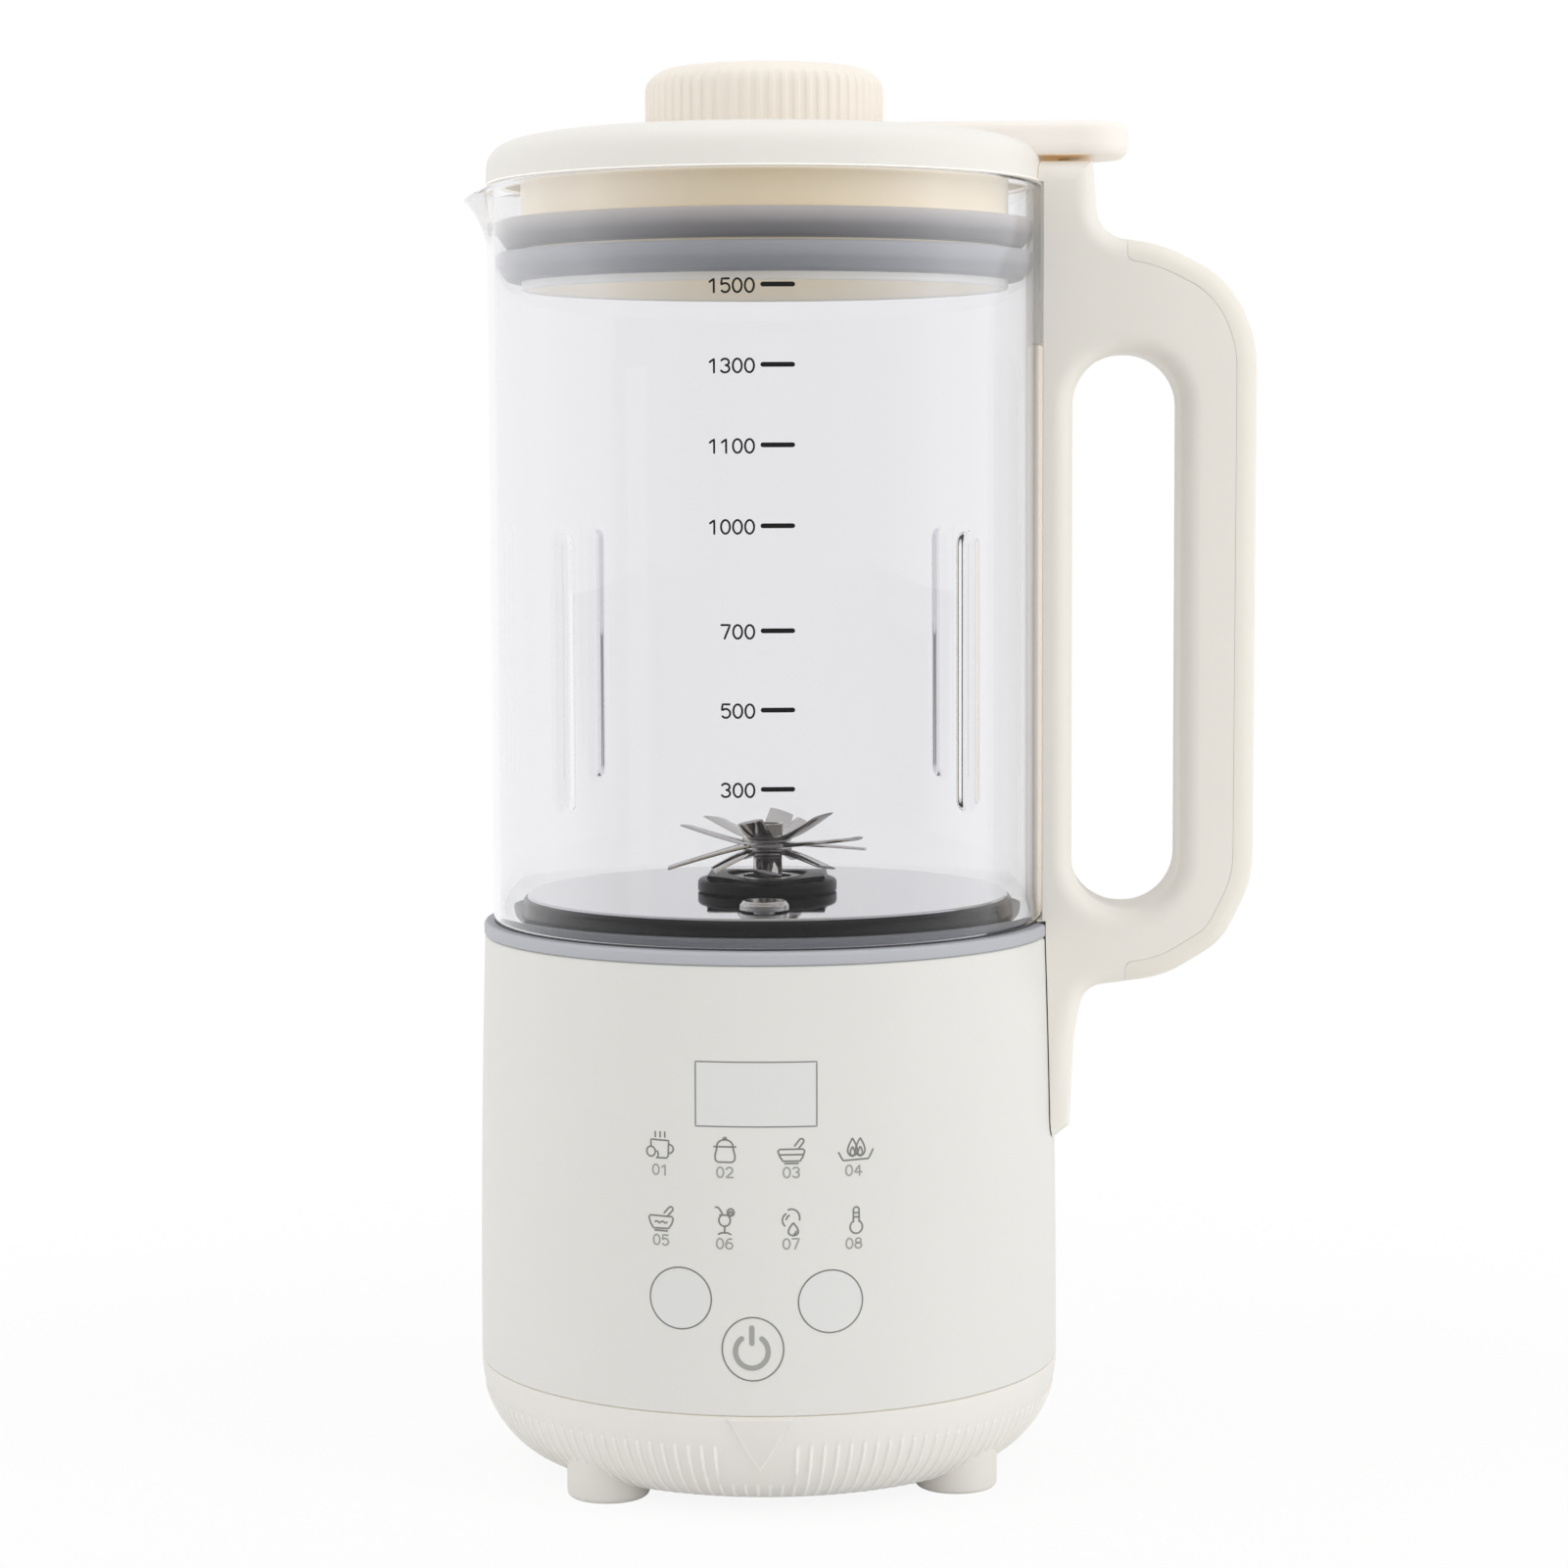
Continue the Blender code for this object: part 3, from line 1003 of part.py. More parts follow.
def make_motor_frame():
    """Stator with its field coils, the two brackets with their bearings, brushes and buffers."""
    half = STATOR_WIDTH / 2
    stator = block("motor_stator", (-half, -half, STATOR_BOTTOM_Z), (half, half, STATOR_TOP_Z), "laminated_steel",
                   STATOR_EDGE)
    cut(stator, rod("bore", ROTOR_RADIUS + AIR_GAP, STATOR_BOTTOM_Z - OVERRUN, STATOR_TOP_Z + OVERRUN,
                    steps=MID_STEPS))
    band = COIL_BAND + 2 * CLEARANCE
    inner = COIL_INNER_HALF_WIDTH - CLEARANCE
    near = COIL_DISTANCE - CLEARANCE
    far = COIL_DISTANCE + COIL_DEPTH + CLEARANCE
    for side in (-1, 1):
        for end in (-1, 1):
            xs = sorted((side * inner, side * (inner + band)))
            ys = sorted((end * near, end * far))
            cut(stator, block("slot", (xs[0], ys[0], STATOR_BOTTOM_Z - OVERRUN), (xs[1], ys[1], STATOR_TOP_Z + OVERRUN)))
    for name, end in (("field_coil_front", -1), ("field_coil_rear", 1)):
        ys = sorted((end * COIL_DISTANCE, end * (COIL_DISTANCE + COIL_DEPTH)))
        wide = COIL_INNER_HALF_WIDTH + COIL_BAND
        low_z = STATOR_BOTTOM_Z - CLEARANCE
        high_z = STATOR_TOP_Z + CLEARANCE
        coil = block(name, (-wide, ys[0], low_z - COIL_BAND), (wide, ys[1], high_z + COIL_BAND), "copper_winding",
                     CLEARANCE)
        cut(coil, block("eye", (-COIL_INNER_HALF_WIDTH, -BASE_RADIUS, low_z),
                        (COIL_INNER_HALF_WIDTH, BASE_RADIUS, high_z)))
    top = make_bracket("motor_bracket_top", BRACKET_UNDER_Z, BRACKET_TOP_Z, STATOR_TOP_Z + CLEARANCE)
    seat = (BRACKET_UNDER_Z + BRACKET_TOP_Z) / 2
    seat_bearing(top, "motor_bearing_top", seat)
    low = make_bracket("motor_bracket_bottom", LOWER_BRACKET_BOTTOM_Z, LOWER_BRACKET_TOP_Z,
                       STATOR_BOTTOM_Z - CLEARANCE)
    seat_bearing(low, "motor_bearing_bottom", (LOWER_BRACKET_BOTTOM_Z + LOWER_BRACKET_TOP_Z) / 2)
    leg_face = STATOR_WIDTH / 2 - BRACKET_LEG - CLEARANCE
    middle = brush_height()
    for name, side in (("brush_left", -1), ("brush_right", 1)):
        xs = sorted((side * (COMMUTATOR_RADIUS + CLEARANCE), side * leg_face))
        block(name, (xs[0], -BRUSH_WIDTH / 2, middle - BRUSH_HEIGHT / 2),
              (xs[1], BRUSH_WIDTH / 2, middle + BRUSH_HEIGHT / 2), "carbon")
    for name, side in (("motor_buffer_left", -1), ("motor_buffer_right", 1)):
        rod(name, BUFFER_RADIUS, BUFFER_TOP_Z - BUFFER_HEIGHT, BUFFER_TOP_Z, "dark_rubber",
            place=(side * (STATOR_WIDTH / 2 - BUFFER_RADIUS - CLEARANCE), 0.0), steps=SMALL_STEPS // 2)


def make_bracket(name, bottom, top, leg_end):
    """A bridge with a leg at each end that reaches the stator."""
    half = STATOR_WIDTH / 2
    bracket = block(name, (-half, -BRACKET_WIDTH / 2, bottom), (half, BRACKET_WIDTH / 2, top), "aluminium")
    middle = (bottom + top) / 2
    zs = sorted((middle, leg_end))
    for side in (-1, 1):
        xs = sorted((side * half, side * (half - BRACKET_LEG)))
        join(bracket, block("leg", (xs[0], -BRACKET_WIDTH / 2, zs[0]), (xs[1], BRACKET_WIDTH / 2, zs[1])))
    return bracket


def seat_bearing(bracket, name, height):
    """Cut a bracket for its ball bearing, and make the bearing."""
    cut(bracket, rod("seat", BEARING_RADIUS + CLEARANCE, height - OVERRUN, height + OVERRUN))
    ring(name, BEARING_RADIUS, MOTOR_SHAFT_RADIUS + CLEARANCE, height + BEARING_HEIGHT / 2,
         height - BEARING_HEIGHT / 2, "steel")


def board_half_width(distance, heights):
    """How wide a flat board can be at a distance from the axis, inside the tapered housing."""
    inner = min(float(housing_radius(z)) for z in heights) - HOUSING_WALL - CLEARANCE
    inner *= math.cos(math.pi / BIG_STEPS)
    return math.sqrt(inner ** 2 - distance ** 2)


def make_electronics():
    """Control board with its display, the touch film behind the panel, and the power board."""
    far = CONTROL_BOARD_Y + BOARD_THICKNESS
    half = board_half_width(far, (CONTROL_BOARD_BOTTOM, CONTROL_BOARD_TOP))
    block("control_board", (-half, -far, CONTROL_BOARD_BOTTOM), (half, -CONTROL_BOARD_Y, CONTROL_BOARD_TOP),
          "circuit_board")
    display_top = DISPLAY_CENTRE_Z + DISPLAY_HEIGHT / 2
    inner = (float(housing_radius(display_top)) - HOUSING_WALL - CLEARANCE) * math.cos(math.pi / BIG_STEPS)
    front = math.sqrt(inner ** 2 - (DISPLAY_WIDTH / 2) ** 2)
    block("display_module", (-DISPLAY_WIDTH / 2, -front, DISPLAY_CENTRE_Z - DISPLAY_HEIGHT / 2),
          (DISPLAY_WIDTH / 2, -far - CLEARANCE, display_top), "black_plastic")
    film = block("touch_film", (-FILM_HALF_WIDTH, -FILM_THICKNESS, FILM_BOTTOM), (FILM_HALF_WIDTH, 0.0, FILM_TOP),
                 "white_plastic", cuts=FILM_COLUMNS)
    reshape(film, wrap_film)
    far = POWER_BOARD_X + BOARD_THICKNESS
    half = board_half_width(far, (POWER_BOARD_BOTTOM, POWER_BOARD_TOP))
    block("power_board", (-far, -half, POWER_BOARD_BOTTOM), (-POWER_BOARD_X, half, POWER_BOARD_TOP), "circuit_board")


def wrap_film(x, y, z):
    """Wrap a flat sheet onto the inside of the tapered housing, its outer face one clearance off the wall."""
    wall = housing_radius(z) - HOUSING_WALL - CLEARANCE
    wall = wall * math.cos(math.pi / BIG_STEPS) + y + FILM_THICKNESS * (y > -FILM_THICKNESS / 2)
    wall = np.where(y < -FILM_THICKNESS / 2, wall + FILM_THICKNESS, wall - 2 * FILM_THICKNESS)
    angle = x / BASE_RADIUS
    return wall * np.sin(angle), -wall * np.cos(angle), z


def make_inlet():
    """Mains inlet socket in the back, with its three pins."""
    face = inlet_face()
    back = face - INLET_DEPTH
    flange = INLET_FLANGE_THICKNESS
    z = INLET_HEIGHT
    reach = INLET_WIDTH / 2
    tall = INLET_TALL / 2
    inlet = block("mains_inlet", (-reach, back, z - tall), (reach, face + flange / 2, z + tall), "black_plastic")
    edge = INLET_FLANGE_MARGIN
    join(inlet, block("flange", (-reach - edge, face + CLEARANCE, z - tall - edge),
                      (reach + edge, face + CLEARANCE + flange, z + tall + edge)))
    cavity = back + INLET_FLOOR
    cut(inlet, block("cavity", (-INLET_CAVITY_WIDTH / 2, cavity, z - INLET_CAVITY_TALL / 2),
                     (INLET_CAVITY_WIDTH / 2, face + OVERRUN, z + INLET_CAVITY_TALL / 2)))
    mouth = face + CLEARANCE + flange
    places = (("inlet_pin_left", -PIN_SPACING, -PIN_RISE), ("inlet_pin_earth", 0.0, PIN_RISE),
              ("inlet_pin_right", PIN_SPACING, -PIN_RISE))
    for name, x, rise in places:
        grow = CLEARANCE
        low = (x - PIN_WIDTH / 2, back - PIN_TAIL, z + rise - PIN_TALL / 2)
        high = (x + PIN_WIDTH / 2, mouth - PIN_RECESS, z + rise + PIN_TALL / 2)
        cut(inlet, block("hole", (low[0] - grow, back - OVERRUN, low[2] - grow),
                         (high[0] + grow, cavity + OVERRUN / 2, high[2] + grow)))
        block(name, low, high, "steel")


def handle_corners():
    """Outer outline of the handle in X and Z, from the top of the column round to the tail."""
    inside = JAR_RADIUS - OVERRUN
    top = HANDLE_TOP_Z
    deck = HOUSING_TOP_Z
    return [
        (inside, top, 0.0),
        (JAR_RADIUS + COLUMN_TOP_DEPTH, top, TOP_ROUND),
        (JAR_RADIUS + COLUMN_FOOT_DEPTH, top - SHOULDER_DROP, SHOULDER_FILLET),
        (JAR_RADIUS + CROWN_DEPTH, top - CROWN_DROP, CROWN_RADIUS),
        (GRIP_X - GRIP_BEND_INSET, top - GRIP_BEND_DROP, GRIP_BEND_RADIUS),
        (GRIP_X, top - GRIP_START_DROP, GRIP_START_RADIUS),
        (GRIP_X - GRIP_LEAN, deck + GRIP_END_RISE, GRIP_END_RADIUS),
        (GRIP_X - HEEL_INSET, deck - HEEL_DROP, HEEL_RADIUS),
        (GRIP_X - HEEL_BASE_INSET, deck - HEEL_BASE_DROP, HEEL_BASE_RADIUS),
        (HOUSING_TOP_RADIUS + TAIL_CORNER_DEPTH, deck - TAIL_CORNER_DROP, TAIL_CORNER_RADIUS),
        (HOUSING_TOP_RADIUS + TAIL_BEND_DEPTH, deck - TAIL_BEND_DROP, TAIL_BEND_RADIUS),
        (HOUSING_TOP_RADIUS + TAIL_END_DEPTH, deck - TAIL_END_DROP, TAIL_END_RADIUS),
        (HOUSING_TOP_RADIUS + TAIL_TIP_DEPTH, deck - TAIL_TIP_DROP, TAIL_TIP_RADIUS),
        (inside, deck - TAIL_TIP_DROP, 0.0),
    ]


def loop_corners():
    """The finger loop, a rounded slot between the column and the grip."""
    low_x = JAR_RADIUS + LOOP_COLUMN_WIDTH
    high_x = GRIP_X - LOOP_GRIP_WIDTH
    low_z = HOUSING_TOP_Z + LOOP_BOTTOM_RISE
    high_z = HANDLE_TOP_Z - LOOP_TOP_DROP
    radius = (high_x - low_x) * LOOP_ROUND_SHARE
    return [(low_x, low_z, radius), (high_x, low_z, radius), (high_x, high_z, radius), (low_x, high_z, radius)]


def inset_corners(corners, depth):
    """Corner points moved inwards by a depth, measured square to the two sides that meet there."""
    moved_points = []
    for before, here, after in zip(corners, corners[1:], corners[2:]):
        first = (Vector(here[:2]) - Vector(before[:2])).normalized()
        second = (Vector(after[:2]) - Vector(here[:2])).normalized()
        first_in = Vector((first.y, -first.x))
        second_in = Vector((second.y, -second.x))
        middle = (first_in + second_in).normalized()
        place = Vector(here[:2]) + middle * (depth / middle.dot(first_in))
        moved_points.append((place.x, place.y, max(here[2] - depth, COVER_CORNER)))
    return moved_points


def cover_zone(name, grow):
    """Everything behind the seam line of the handle's cover, made larger by a gap on request."""
    corners = handle_corners()
    path = inset_corners(corners[2:10], COVER_DEPTH + grow)
    start_x = JAR_RADIUS + COVER_START_REACH - grow
    first, last = path[0], path[-1]
    upper = line_at(corners[2], corners[3], start_x)
    lower = line_at(corners[8], corners[9], start_x)
    upper_in = upper - (COVER_DEPTH + grow)
    lower_in = lower + (COVER_DEPTH + grow)
    outline = [(start_x, upper + OVERRUN, 0.0), (start_x, upper_in, COVER_CORNER), first, *path[1:-1], last,
               (start_x, lower_in, COVER_CORNER), (start_x, lower - OVERRUN, 0.0),
               (GRIP_X + OVERRUN, lower - OVERRUN, 0.0), (GRIP_X + OVERRUN, upper + OVERRUN, 0.0)]
    return slab(name, [rounded_path(outline)], HANDLE_HALF_THICKNESS + OVERRUN, upright=True)


def line_at(first, second, x):
    """Height of the line through two points, at x."""
    share = (x - first[0]) / (second[0] - first[0])
    return first[1] + (second[1] - first[1]) * share


def machine_envelope(name):
    """The base, ring and jar with a clearance around them, to fit the handle on."""
    gap = CLEARANCE / math.cos(math.pi / BIG_STEPS)
    below = HOUSING_TOP_Z - TAIL_TIP_DROP - OVERRUN
    ring_top = JAR_BOTTOM_Z + CLEARANCE
    side = housing_profile(gap, HOUSING_TOP_Z, below)
    profile = [(0.0, HANDLE_TOP_Z + OVERRUN), (HANDLE_RADIUS, HANDLE_TOP_Z + OVERRUN), (HANDLE_RADIUS, ring_top),
               (side[0][0], ring_top)] + side + [(0.0, below)]
    return turned(name, profile)


def make_handle():
    """Handle body and its outer cover, cut from one rounded shape."""
    outlines = [rounded_path(handle_corners()), rounded_path(loop_corners())]
    whole = slab("handle_body", outlines, HANDLE_HALF_THICKNESS, "cream_plastic", upright=True, edge=HANDLE_EDGE)
    cover = add_object("handle_cover", whole.data.copy(), "cream_plastic")
    combine(cover, cover_zone("zone", 0.0), "INTERSECT")
    cut(whole, cover_zone("zone", CLEARANCE))
    cut(whole, machine_envelope("envelope"))
    pad_bottom = JAR_RIM_Z - PAD_LENGTH
    pocket_outer = HANDLE_RADIUS + PAD_THICKNESS + CLEARANCE
    pocket = ring("pocket", pocket_outer, JAR_RADIUS - OVERRUN, JAR_RIM_Z + CLEARANCE, pad_bottom - CLEARANCE,
                  steps=BIG_STEPS)
    width = PAD_HALF_WIDTH + CLEARANCE
    combine(pocket, block("width", (0.0, -width, 0.0), (GRIP_X, width, KNOB_TOP_Z)), "INTERSECT")
    cut(whole, pocket)
    cut(whole, rod("bore", PLUNGER_RADIUS + CLEARANCE, SWITCH_TOP_Z - CLEARANCE, HANDLE_TOP_Z + OVERRUN,
                   place=(PLUNGER_X, 0.0), steps=SMALL_STEPS // 2))
    half = SWITCH_WIDTH / 2 + CLEARANCE
    cut(whole, block("pocket", (JAR_RADIUS, -half, SWITCH_TOP_Z - SWITCH_HEIGHT - CLEARANCE),
                     (PLUNGER_X + half, half, SWITCH_TOP_Z + CLEARANCE)))
    for drop in HANDLE_SCREW_DROPS:
        reach = float(housing_radius(HOUSING_TOP_Z - drop)) + HANDLE_SCREW_BITE + CLEARANCE
        hole = rod("hole", HANDLE_SCREW_RADIUS + CLEARANCE, 0.0, reach, steps=SMALL_STEPS // 2)
        spun(hole, math.pi / 2, "Y")
        cut(whole, moved(hole, (0.0, 0.0, HOUSING_TOP_Z - drop)))
    return whole


def make_pad():
    """Silicone pad between the jar and the top of the column."""
    inner = HANDLE_RADIUS
    pad = ring("handle_pad", inner + PAD_THICKNESS, inner, JAR_RIM_Z, JAR_RIM_Z - PAD_LENGTH, "grey_silicone",
               BIG_STEPS)
    combine(pad, block("width", (0.0, -PAD_HALF_WIDTH, 0.0), (GRIP_X, PAD_HALF_WIDTH, KNOB_TOP_Z)), "INTERSECT")
    return pad


def make_handle_screws():
    """Screws from inside the housing into the handle's tail."""
    for number, drop in enumerate(HANDLE_SCREW_DROPS, start=1):
        height = HOUSING_TOP_Z - drop
        wall = (float(housing_radius(height)) - HOUSING_WALL) * math.cos(math.pi / BIG_STEPS)
        head_top = wall - CLEARANCE
        tip = float(housing_radius(height)) + HANDLE_SCREW_BITE
        profile = [(0.0, tip), (HANDLE_SCREW_RADIUS, tip), (HANDLE_SCREW_RADIUS, head_top),
                   (HANDLE_SCREW_HEAD_RADIUS, head_top),
                   (HANDLE_SCREW_HEAD_RADIUS, head_top - HANDLE_SCREW_HEAD_HEIGHT),
                   (0.0, head_top - HANDLE_SCREW_HEAD_HEIGHT)]
        screw = turned(f"handle_screw_{number}", profile, "steel", SMALL_STEPS // 2)
        spun(screw, math.pi / 2, "Y")
        moved(screw, (0.0, 0.0, height))


def make_interlock():
    """Plunger that the lid's tab holds down, its spring, and the switch below."""
    top = HANDLE_TOP_Z
    plunger = rod("interlock_plunger", PLUNGER_RADIUS, top - PLUNGER_LENGTH, top, "white_plastic",
                  place=(PLUNGER_X, 0.0), steps=SMALL_STEPS // 2)
    half = SWITCH_WIDTH / 2
    block("lid_switch", (PLUNGER_X - half, -half, SWITCH_TOP_Z - SWITCH_HEIGHT), (PLUNGER_X + half, half, SWITCH_TOP_Z),
          "black_plastic")
    spring = make_spring()
    return plunger, spring


def make_spring():
    """A coil of wire from a helix formula: radius, turns and length."""
    count = SPRING_TURNS * SPRING_POINTS_PER_TURN + 1
    share = np.linspace(0.0, 1.0, count)
    angle = 2 * math.pi * SPRING_TURNS * share
    climb = SPRING_BOTTOM_Z + SPRING_WIRE_RADIUS + (SPRING_LENGTH - 2 * SPRING_WIRE_RADIUS) * share
    curve = bpy.data.curves.new("plunger_spring", "CURVE")
    curve.dimensions = "3D"
    curve.bevel_depth = SPRING_WIRE_RADIUS
    curve.bevel_resolution = 0
    curve.use_fill_caps = True
    spline = curve.splines.new("POLY")
    spline.points.add(count - 1)
    for point, a, z in zip(spline.points, angle, climb):
        point.co = (PLUNGER_X + SPRING_RADIUS * math.cos(a), SPRING_RADIUS * math.sin(a), z, 1.0)
    return from_curve("plunger_spring", curve, "steel")


def dome_outline(inset, steps):
    """The dome's side as a superellipse corner, from its flat top down to its lowest edge."""
    flat = DOME_RADIUS - DOME_CORNER_WIDTH
    base = DOME_BOTTOM_Z + DOME_SKIRT
    width = DOME_CORNER_WIDTH - inset
    height = DOME_TOP_Z - base - inset
    angles = np.linspace(math.pi / 2, 0.0, steps)
    points = [(flat + width * math.cos(a) ** (2 / DOME_POWER), base + height * math.sin(a) ** (2 / DOME_POWER))
              for a in angles[:-1]]
    return points + [(flat + width, base), (flat + width, DOME_BOTTOM_Z)]


def make_lid():
    """Dome with its tab, the inner liner and the two wiper seals."""
    outer = dome_outline(0.0, DOME_CORNER_POINTS)
    inner = dome_outline(DOME_WALL, DOME_CORNER_POINTS // 2)
    profile = [(FILLER_RADIUS, DOME_TOP_Z)] + outer + inner[::-1] + [(FILLER_RADIUS, DOME_TOP_Z - DOME_WALL)]
    dome = turned("lid_dome", profile, "cream_plastic")
    end = JAR_RADIUS + TAB_REACH
    root = DOME_RADIUS - TAB_ROOT_DEPTH
    outline = rounded_path([(root, -TAB_HALF_WIDTH, 0.0), (end, -TAB_HALF_WIDTH, TAB_END_ROUND),
                            (end, TAB_HALF_WIDTH, TAB_END_ROUND), (root, TAB_HALF_WIDTH, 0.0)])
    tab = slab("tab", [outline], TAB_THICKNESS / 2)
    moved(tab, (0.0, 0.0, (TAB_TOP_Z + TAB_UNDER_Z) / 2))
    bevel = tab.modifiers.new("edge", "BEVEL")
    bevel.width = TAB_EDGE
    bevel.segments = 2
    bevel.limit_method = "ANGLE"
    bevel.angle_limit = math.radians(60)
    settle(tab)
    room = LINER_RADIUS + CLEARANCE
    cut(tab, rod("room", room, LINER_BOTTOM_Z, LINER_TOP_Z + CLEARANCE, steps=BIG_STEPS))
    join(dome, tab)
    boss_outer = FILLER_RADIUS + LINER_BOSS_WALL
    boss_top = DOME_TOP_Z - DOME_WALL - CLEARANCE
    profile = [(boss_outer, boss_top), (boss_outer, LINER_TOP_Z), (LINER_RADIUS, LINER_TOP_Z),
               (LINER_RADIUS, LINER_BOTTOM_Z), (LINER_RADIUS - LINER_WALL, LINER_BOTTOM_Z),
               (LINER_RADIUS - LINER_WALL, LINER_TOP_Z - LINER_WALL), (FILLER_RADIUS, LINER_TOP_Z - LINER_WALL),
               (FILLER_RADIUS, boss_top)]
    liner = turned("lid_liner", profile, "liner_plastic")
    upper = make_wiper("wiper_seal_upper", JAR_RIM_Z - UPPER_WIPER_DROP)
    lower = make_wiper("wiper_seal_lower", JAR_RIM_Z - LOWER_WIPER_DROP)
    return [dome, liner, upper, lower]


def make_wiper(name, top):
    """Wiper seal: full width at its top, drawn in towards the liner below."""
    inner = LINER_RADIUS + CLEARANCE
    reach = JAR_INNER_RADIUS - CLEARANCE - inner
    bottom = top - WIPER_HEIGHT
    profile = [(inner + reach * max(out, 0.0), bottom + WIPER_HEIGHT * up) for out, up in WIPER_LIP_SHARES]
    return turned(name, profile, "grey_silicone")


def make_cap():
    """Stopper in the lid's filler hole with its seal, and the knob that turns on it."""
    flange_top = KNOB_BOTTOM_Z + STOPPER_FLANGE
    stopper_radius = FILLER_RADIUS - STOPPER_GAP
    bottom = KNOB_BOTTOM_Z - STOPPER_DEPTH
    floor = bottom + STOPPER_WALL
    cup = stopper_radius - STOPPER_WALL
    flange_radius = KNOB_RADIUS - KNOB_WALL - CLEARANCE
    profile = [(0.0, floor), (cup, floor), (cup, flange_top), (flange_radius, flange_top),
               (flange_radius, KNOB_BOTTOM_Z), (stopper_radius, KNOB_BOTTOM_Z), (stopper_radius, bottom),
               (0.0, bottom)]
    stopper = turned("cap_stopper", profile, "cream_plastic", MID_STEPS)
    for x, y, _ in on_circle(STOPPER_VENT_COUNT, STOPPER_VENT_CIRCLE_RADIUS, math.pi / 2):
        cut(stopper, rod("vent", STOPPER_VENT_RADIUS, bottom - OVERRUN, floor + OVERRUN / 2, place=(x, y),
                         steps=SMALL_STEPS // 2))
    seal_top = DOME_TOP_Z - CAP_SEAL_DROP
    seal = ring("cap_seal", FILLER_RADIUS - CLEARANCE, stopper_radius + CLEARANCE, seal_top,
                seal_top - CAP_SEAL_HEIGHT, "grey_silicone", MID_STEPS)
    roof = KNOB_TOP_Z - KNOB_WALL
    inner = KNOB_RADIUS - KNOB_WALL
    stem_bottom = floor + CLEARANCE
    angles = np.linspace(math.pi / 2, 0.0, KNOB_EDGE_POINTS)
    edge = [(KNOB_RADIUS - KNOB_EDGE + KNOB_EDGE * math.cos(a), KNOB_TOP_Z - KNOB_EDGE + KNOB_EDGE * math.sin(a))
            for a in angles]
    profile = [(0.0, KNOB_TOP_Z)] + edge + [(KNOB_RADIUS, KNOB_BOTTOM_Z), (inner, KNOB_BOTTOM_Z),
                                           (inner, KNOB_TOP_Z - KNOB_EDGE), (inner - KNOB_EDGE, roof),
                                           (KNOB_STEM_RADIUS, roof), (KNOB_STEM_RADIUS, stem_bottom),
                                           (0.0, stem_bottom)]
    knob = turned("vent_knob", profile, "cream_plastic")
    notch = block("notch", (-KNOB_NOTCH_WIDTH / 2, 0.0, KNOB_BOTTOM_Z - OVERRUN),
                  (KNOB_NOTCH_WIDTH / 2, KNOB_RADIUS + OVERRUN, KNOB_BOTTOM_Z + KNOB_NOTCH_HEIGHT))
    cut(notch, rod("keep", KNOB_RADIUS - 2 * KNOB_WALL, KNOB_BOTTOM_Z - 2 * OVERRUN, KNOB_TOP_Z))
    cut(knob, notch)
    return [stopper, seal], knob


def pivot(name, place, pieces):
    """An empty on a joint's axis, with the pieces that move there under it."""
    empty = bpy.data.objects.new(name, None)
    PARTS.objects.link(empty)
    empty.location = place
    bpy.context.view_layer.update()
    for piece in pieces:
        piece.parent = empty
        piece.matrix_parent_inverse = empty.matrix_world.inverted()
    return empty


def make_all():
    """Model the whole machine."""
    global PARTS
    clear_scene()
    PARTS = bpy.data.collections.new("soy_milk_maker")
    bpy.context.scene.collection.children.link(PARTS)
    make_bowl()
    make_feet()
    make_housing()
    make_support_plate()
    make_jar_ring()
    make_jar()
    make_plate()
    make_element()
    make_bearing_group()
    make_probe()
    make_motor_frame()
    make_electronics()
    make_inlet()
    make_handle()
    make_pad()
    make_handle_screws()
    plunger, _ = make_interlock()
    rotor = make_rotor()
    lid = make_lid()
    cap, knob = make_cap()
    pivot("rotor_axis", (0.0, 0.0, PLATE_TOP_Z), rotor)
    pivot("lid_lift", (0.0, 0.0, JAR_RIM_Z), lid)
    pivot("cap_lift", (0.0, 0.0, DOME_TOP_Z), cap)
    pivot("knob_axis", (0.0, 0.0, KNOB_BOTTOM_Z), [knob])
    pivot("plunger_slide", (PLUNGER_X, 0.0, HANDLE_TOP_Z), [plunger])
    for piece in PARTS.objects:
        if piece.type == "MESH":
            shade(piece)


make_all()
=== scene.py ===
# %% [markdown]
# # A soy milk maker, dressed on its measured frame
#
# The frame is the measured machine: every solid at its true place, with its joints. Each step below makes one
# visible piece finer than the frame has it, or gives a frame piece its finish. Lengths are written in
# millimetres, because that is how such a machine is drawn, and become metres where a mesh is made.

# %% The frame and the size it has before anything is added
import math
import bpy
import bmesh
import numpy as np
from mathutils import Matrix, Vector
from mathutils.geometry import tessellate_polygon


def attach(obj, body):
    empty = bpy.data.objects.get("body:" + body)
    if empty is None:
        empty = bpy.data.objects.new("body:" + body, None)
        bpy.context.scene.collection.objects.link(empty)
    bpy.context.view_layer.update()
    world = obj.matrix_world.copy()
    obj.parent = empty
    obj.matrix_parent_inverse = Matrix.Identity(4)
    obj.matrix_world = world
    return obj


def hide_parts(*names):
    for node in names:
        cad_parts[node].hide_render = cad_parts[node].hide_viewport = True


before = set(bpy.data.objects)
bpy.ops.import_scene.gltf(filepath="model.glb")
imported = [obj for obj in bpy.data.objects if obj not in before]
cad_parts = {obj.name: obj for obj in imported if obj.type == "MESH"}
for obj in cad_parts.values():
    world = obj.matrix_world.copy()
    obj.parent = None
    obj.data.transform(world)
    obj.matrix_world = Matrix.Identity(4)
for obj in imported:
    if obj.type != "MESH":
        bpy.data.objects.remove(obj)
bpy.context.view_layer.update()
MM = 0.001

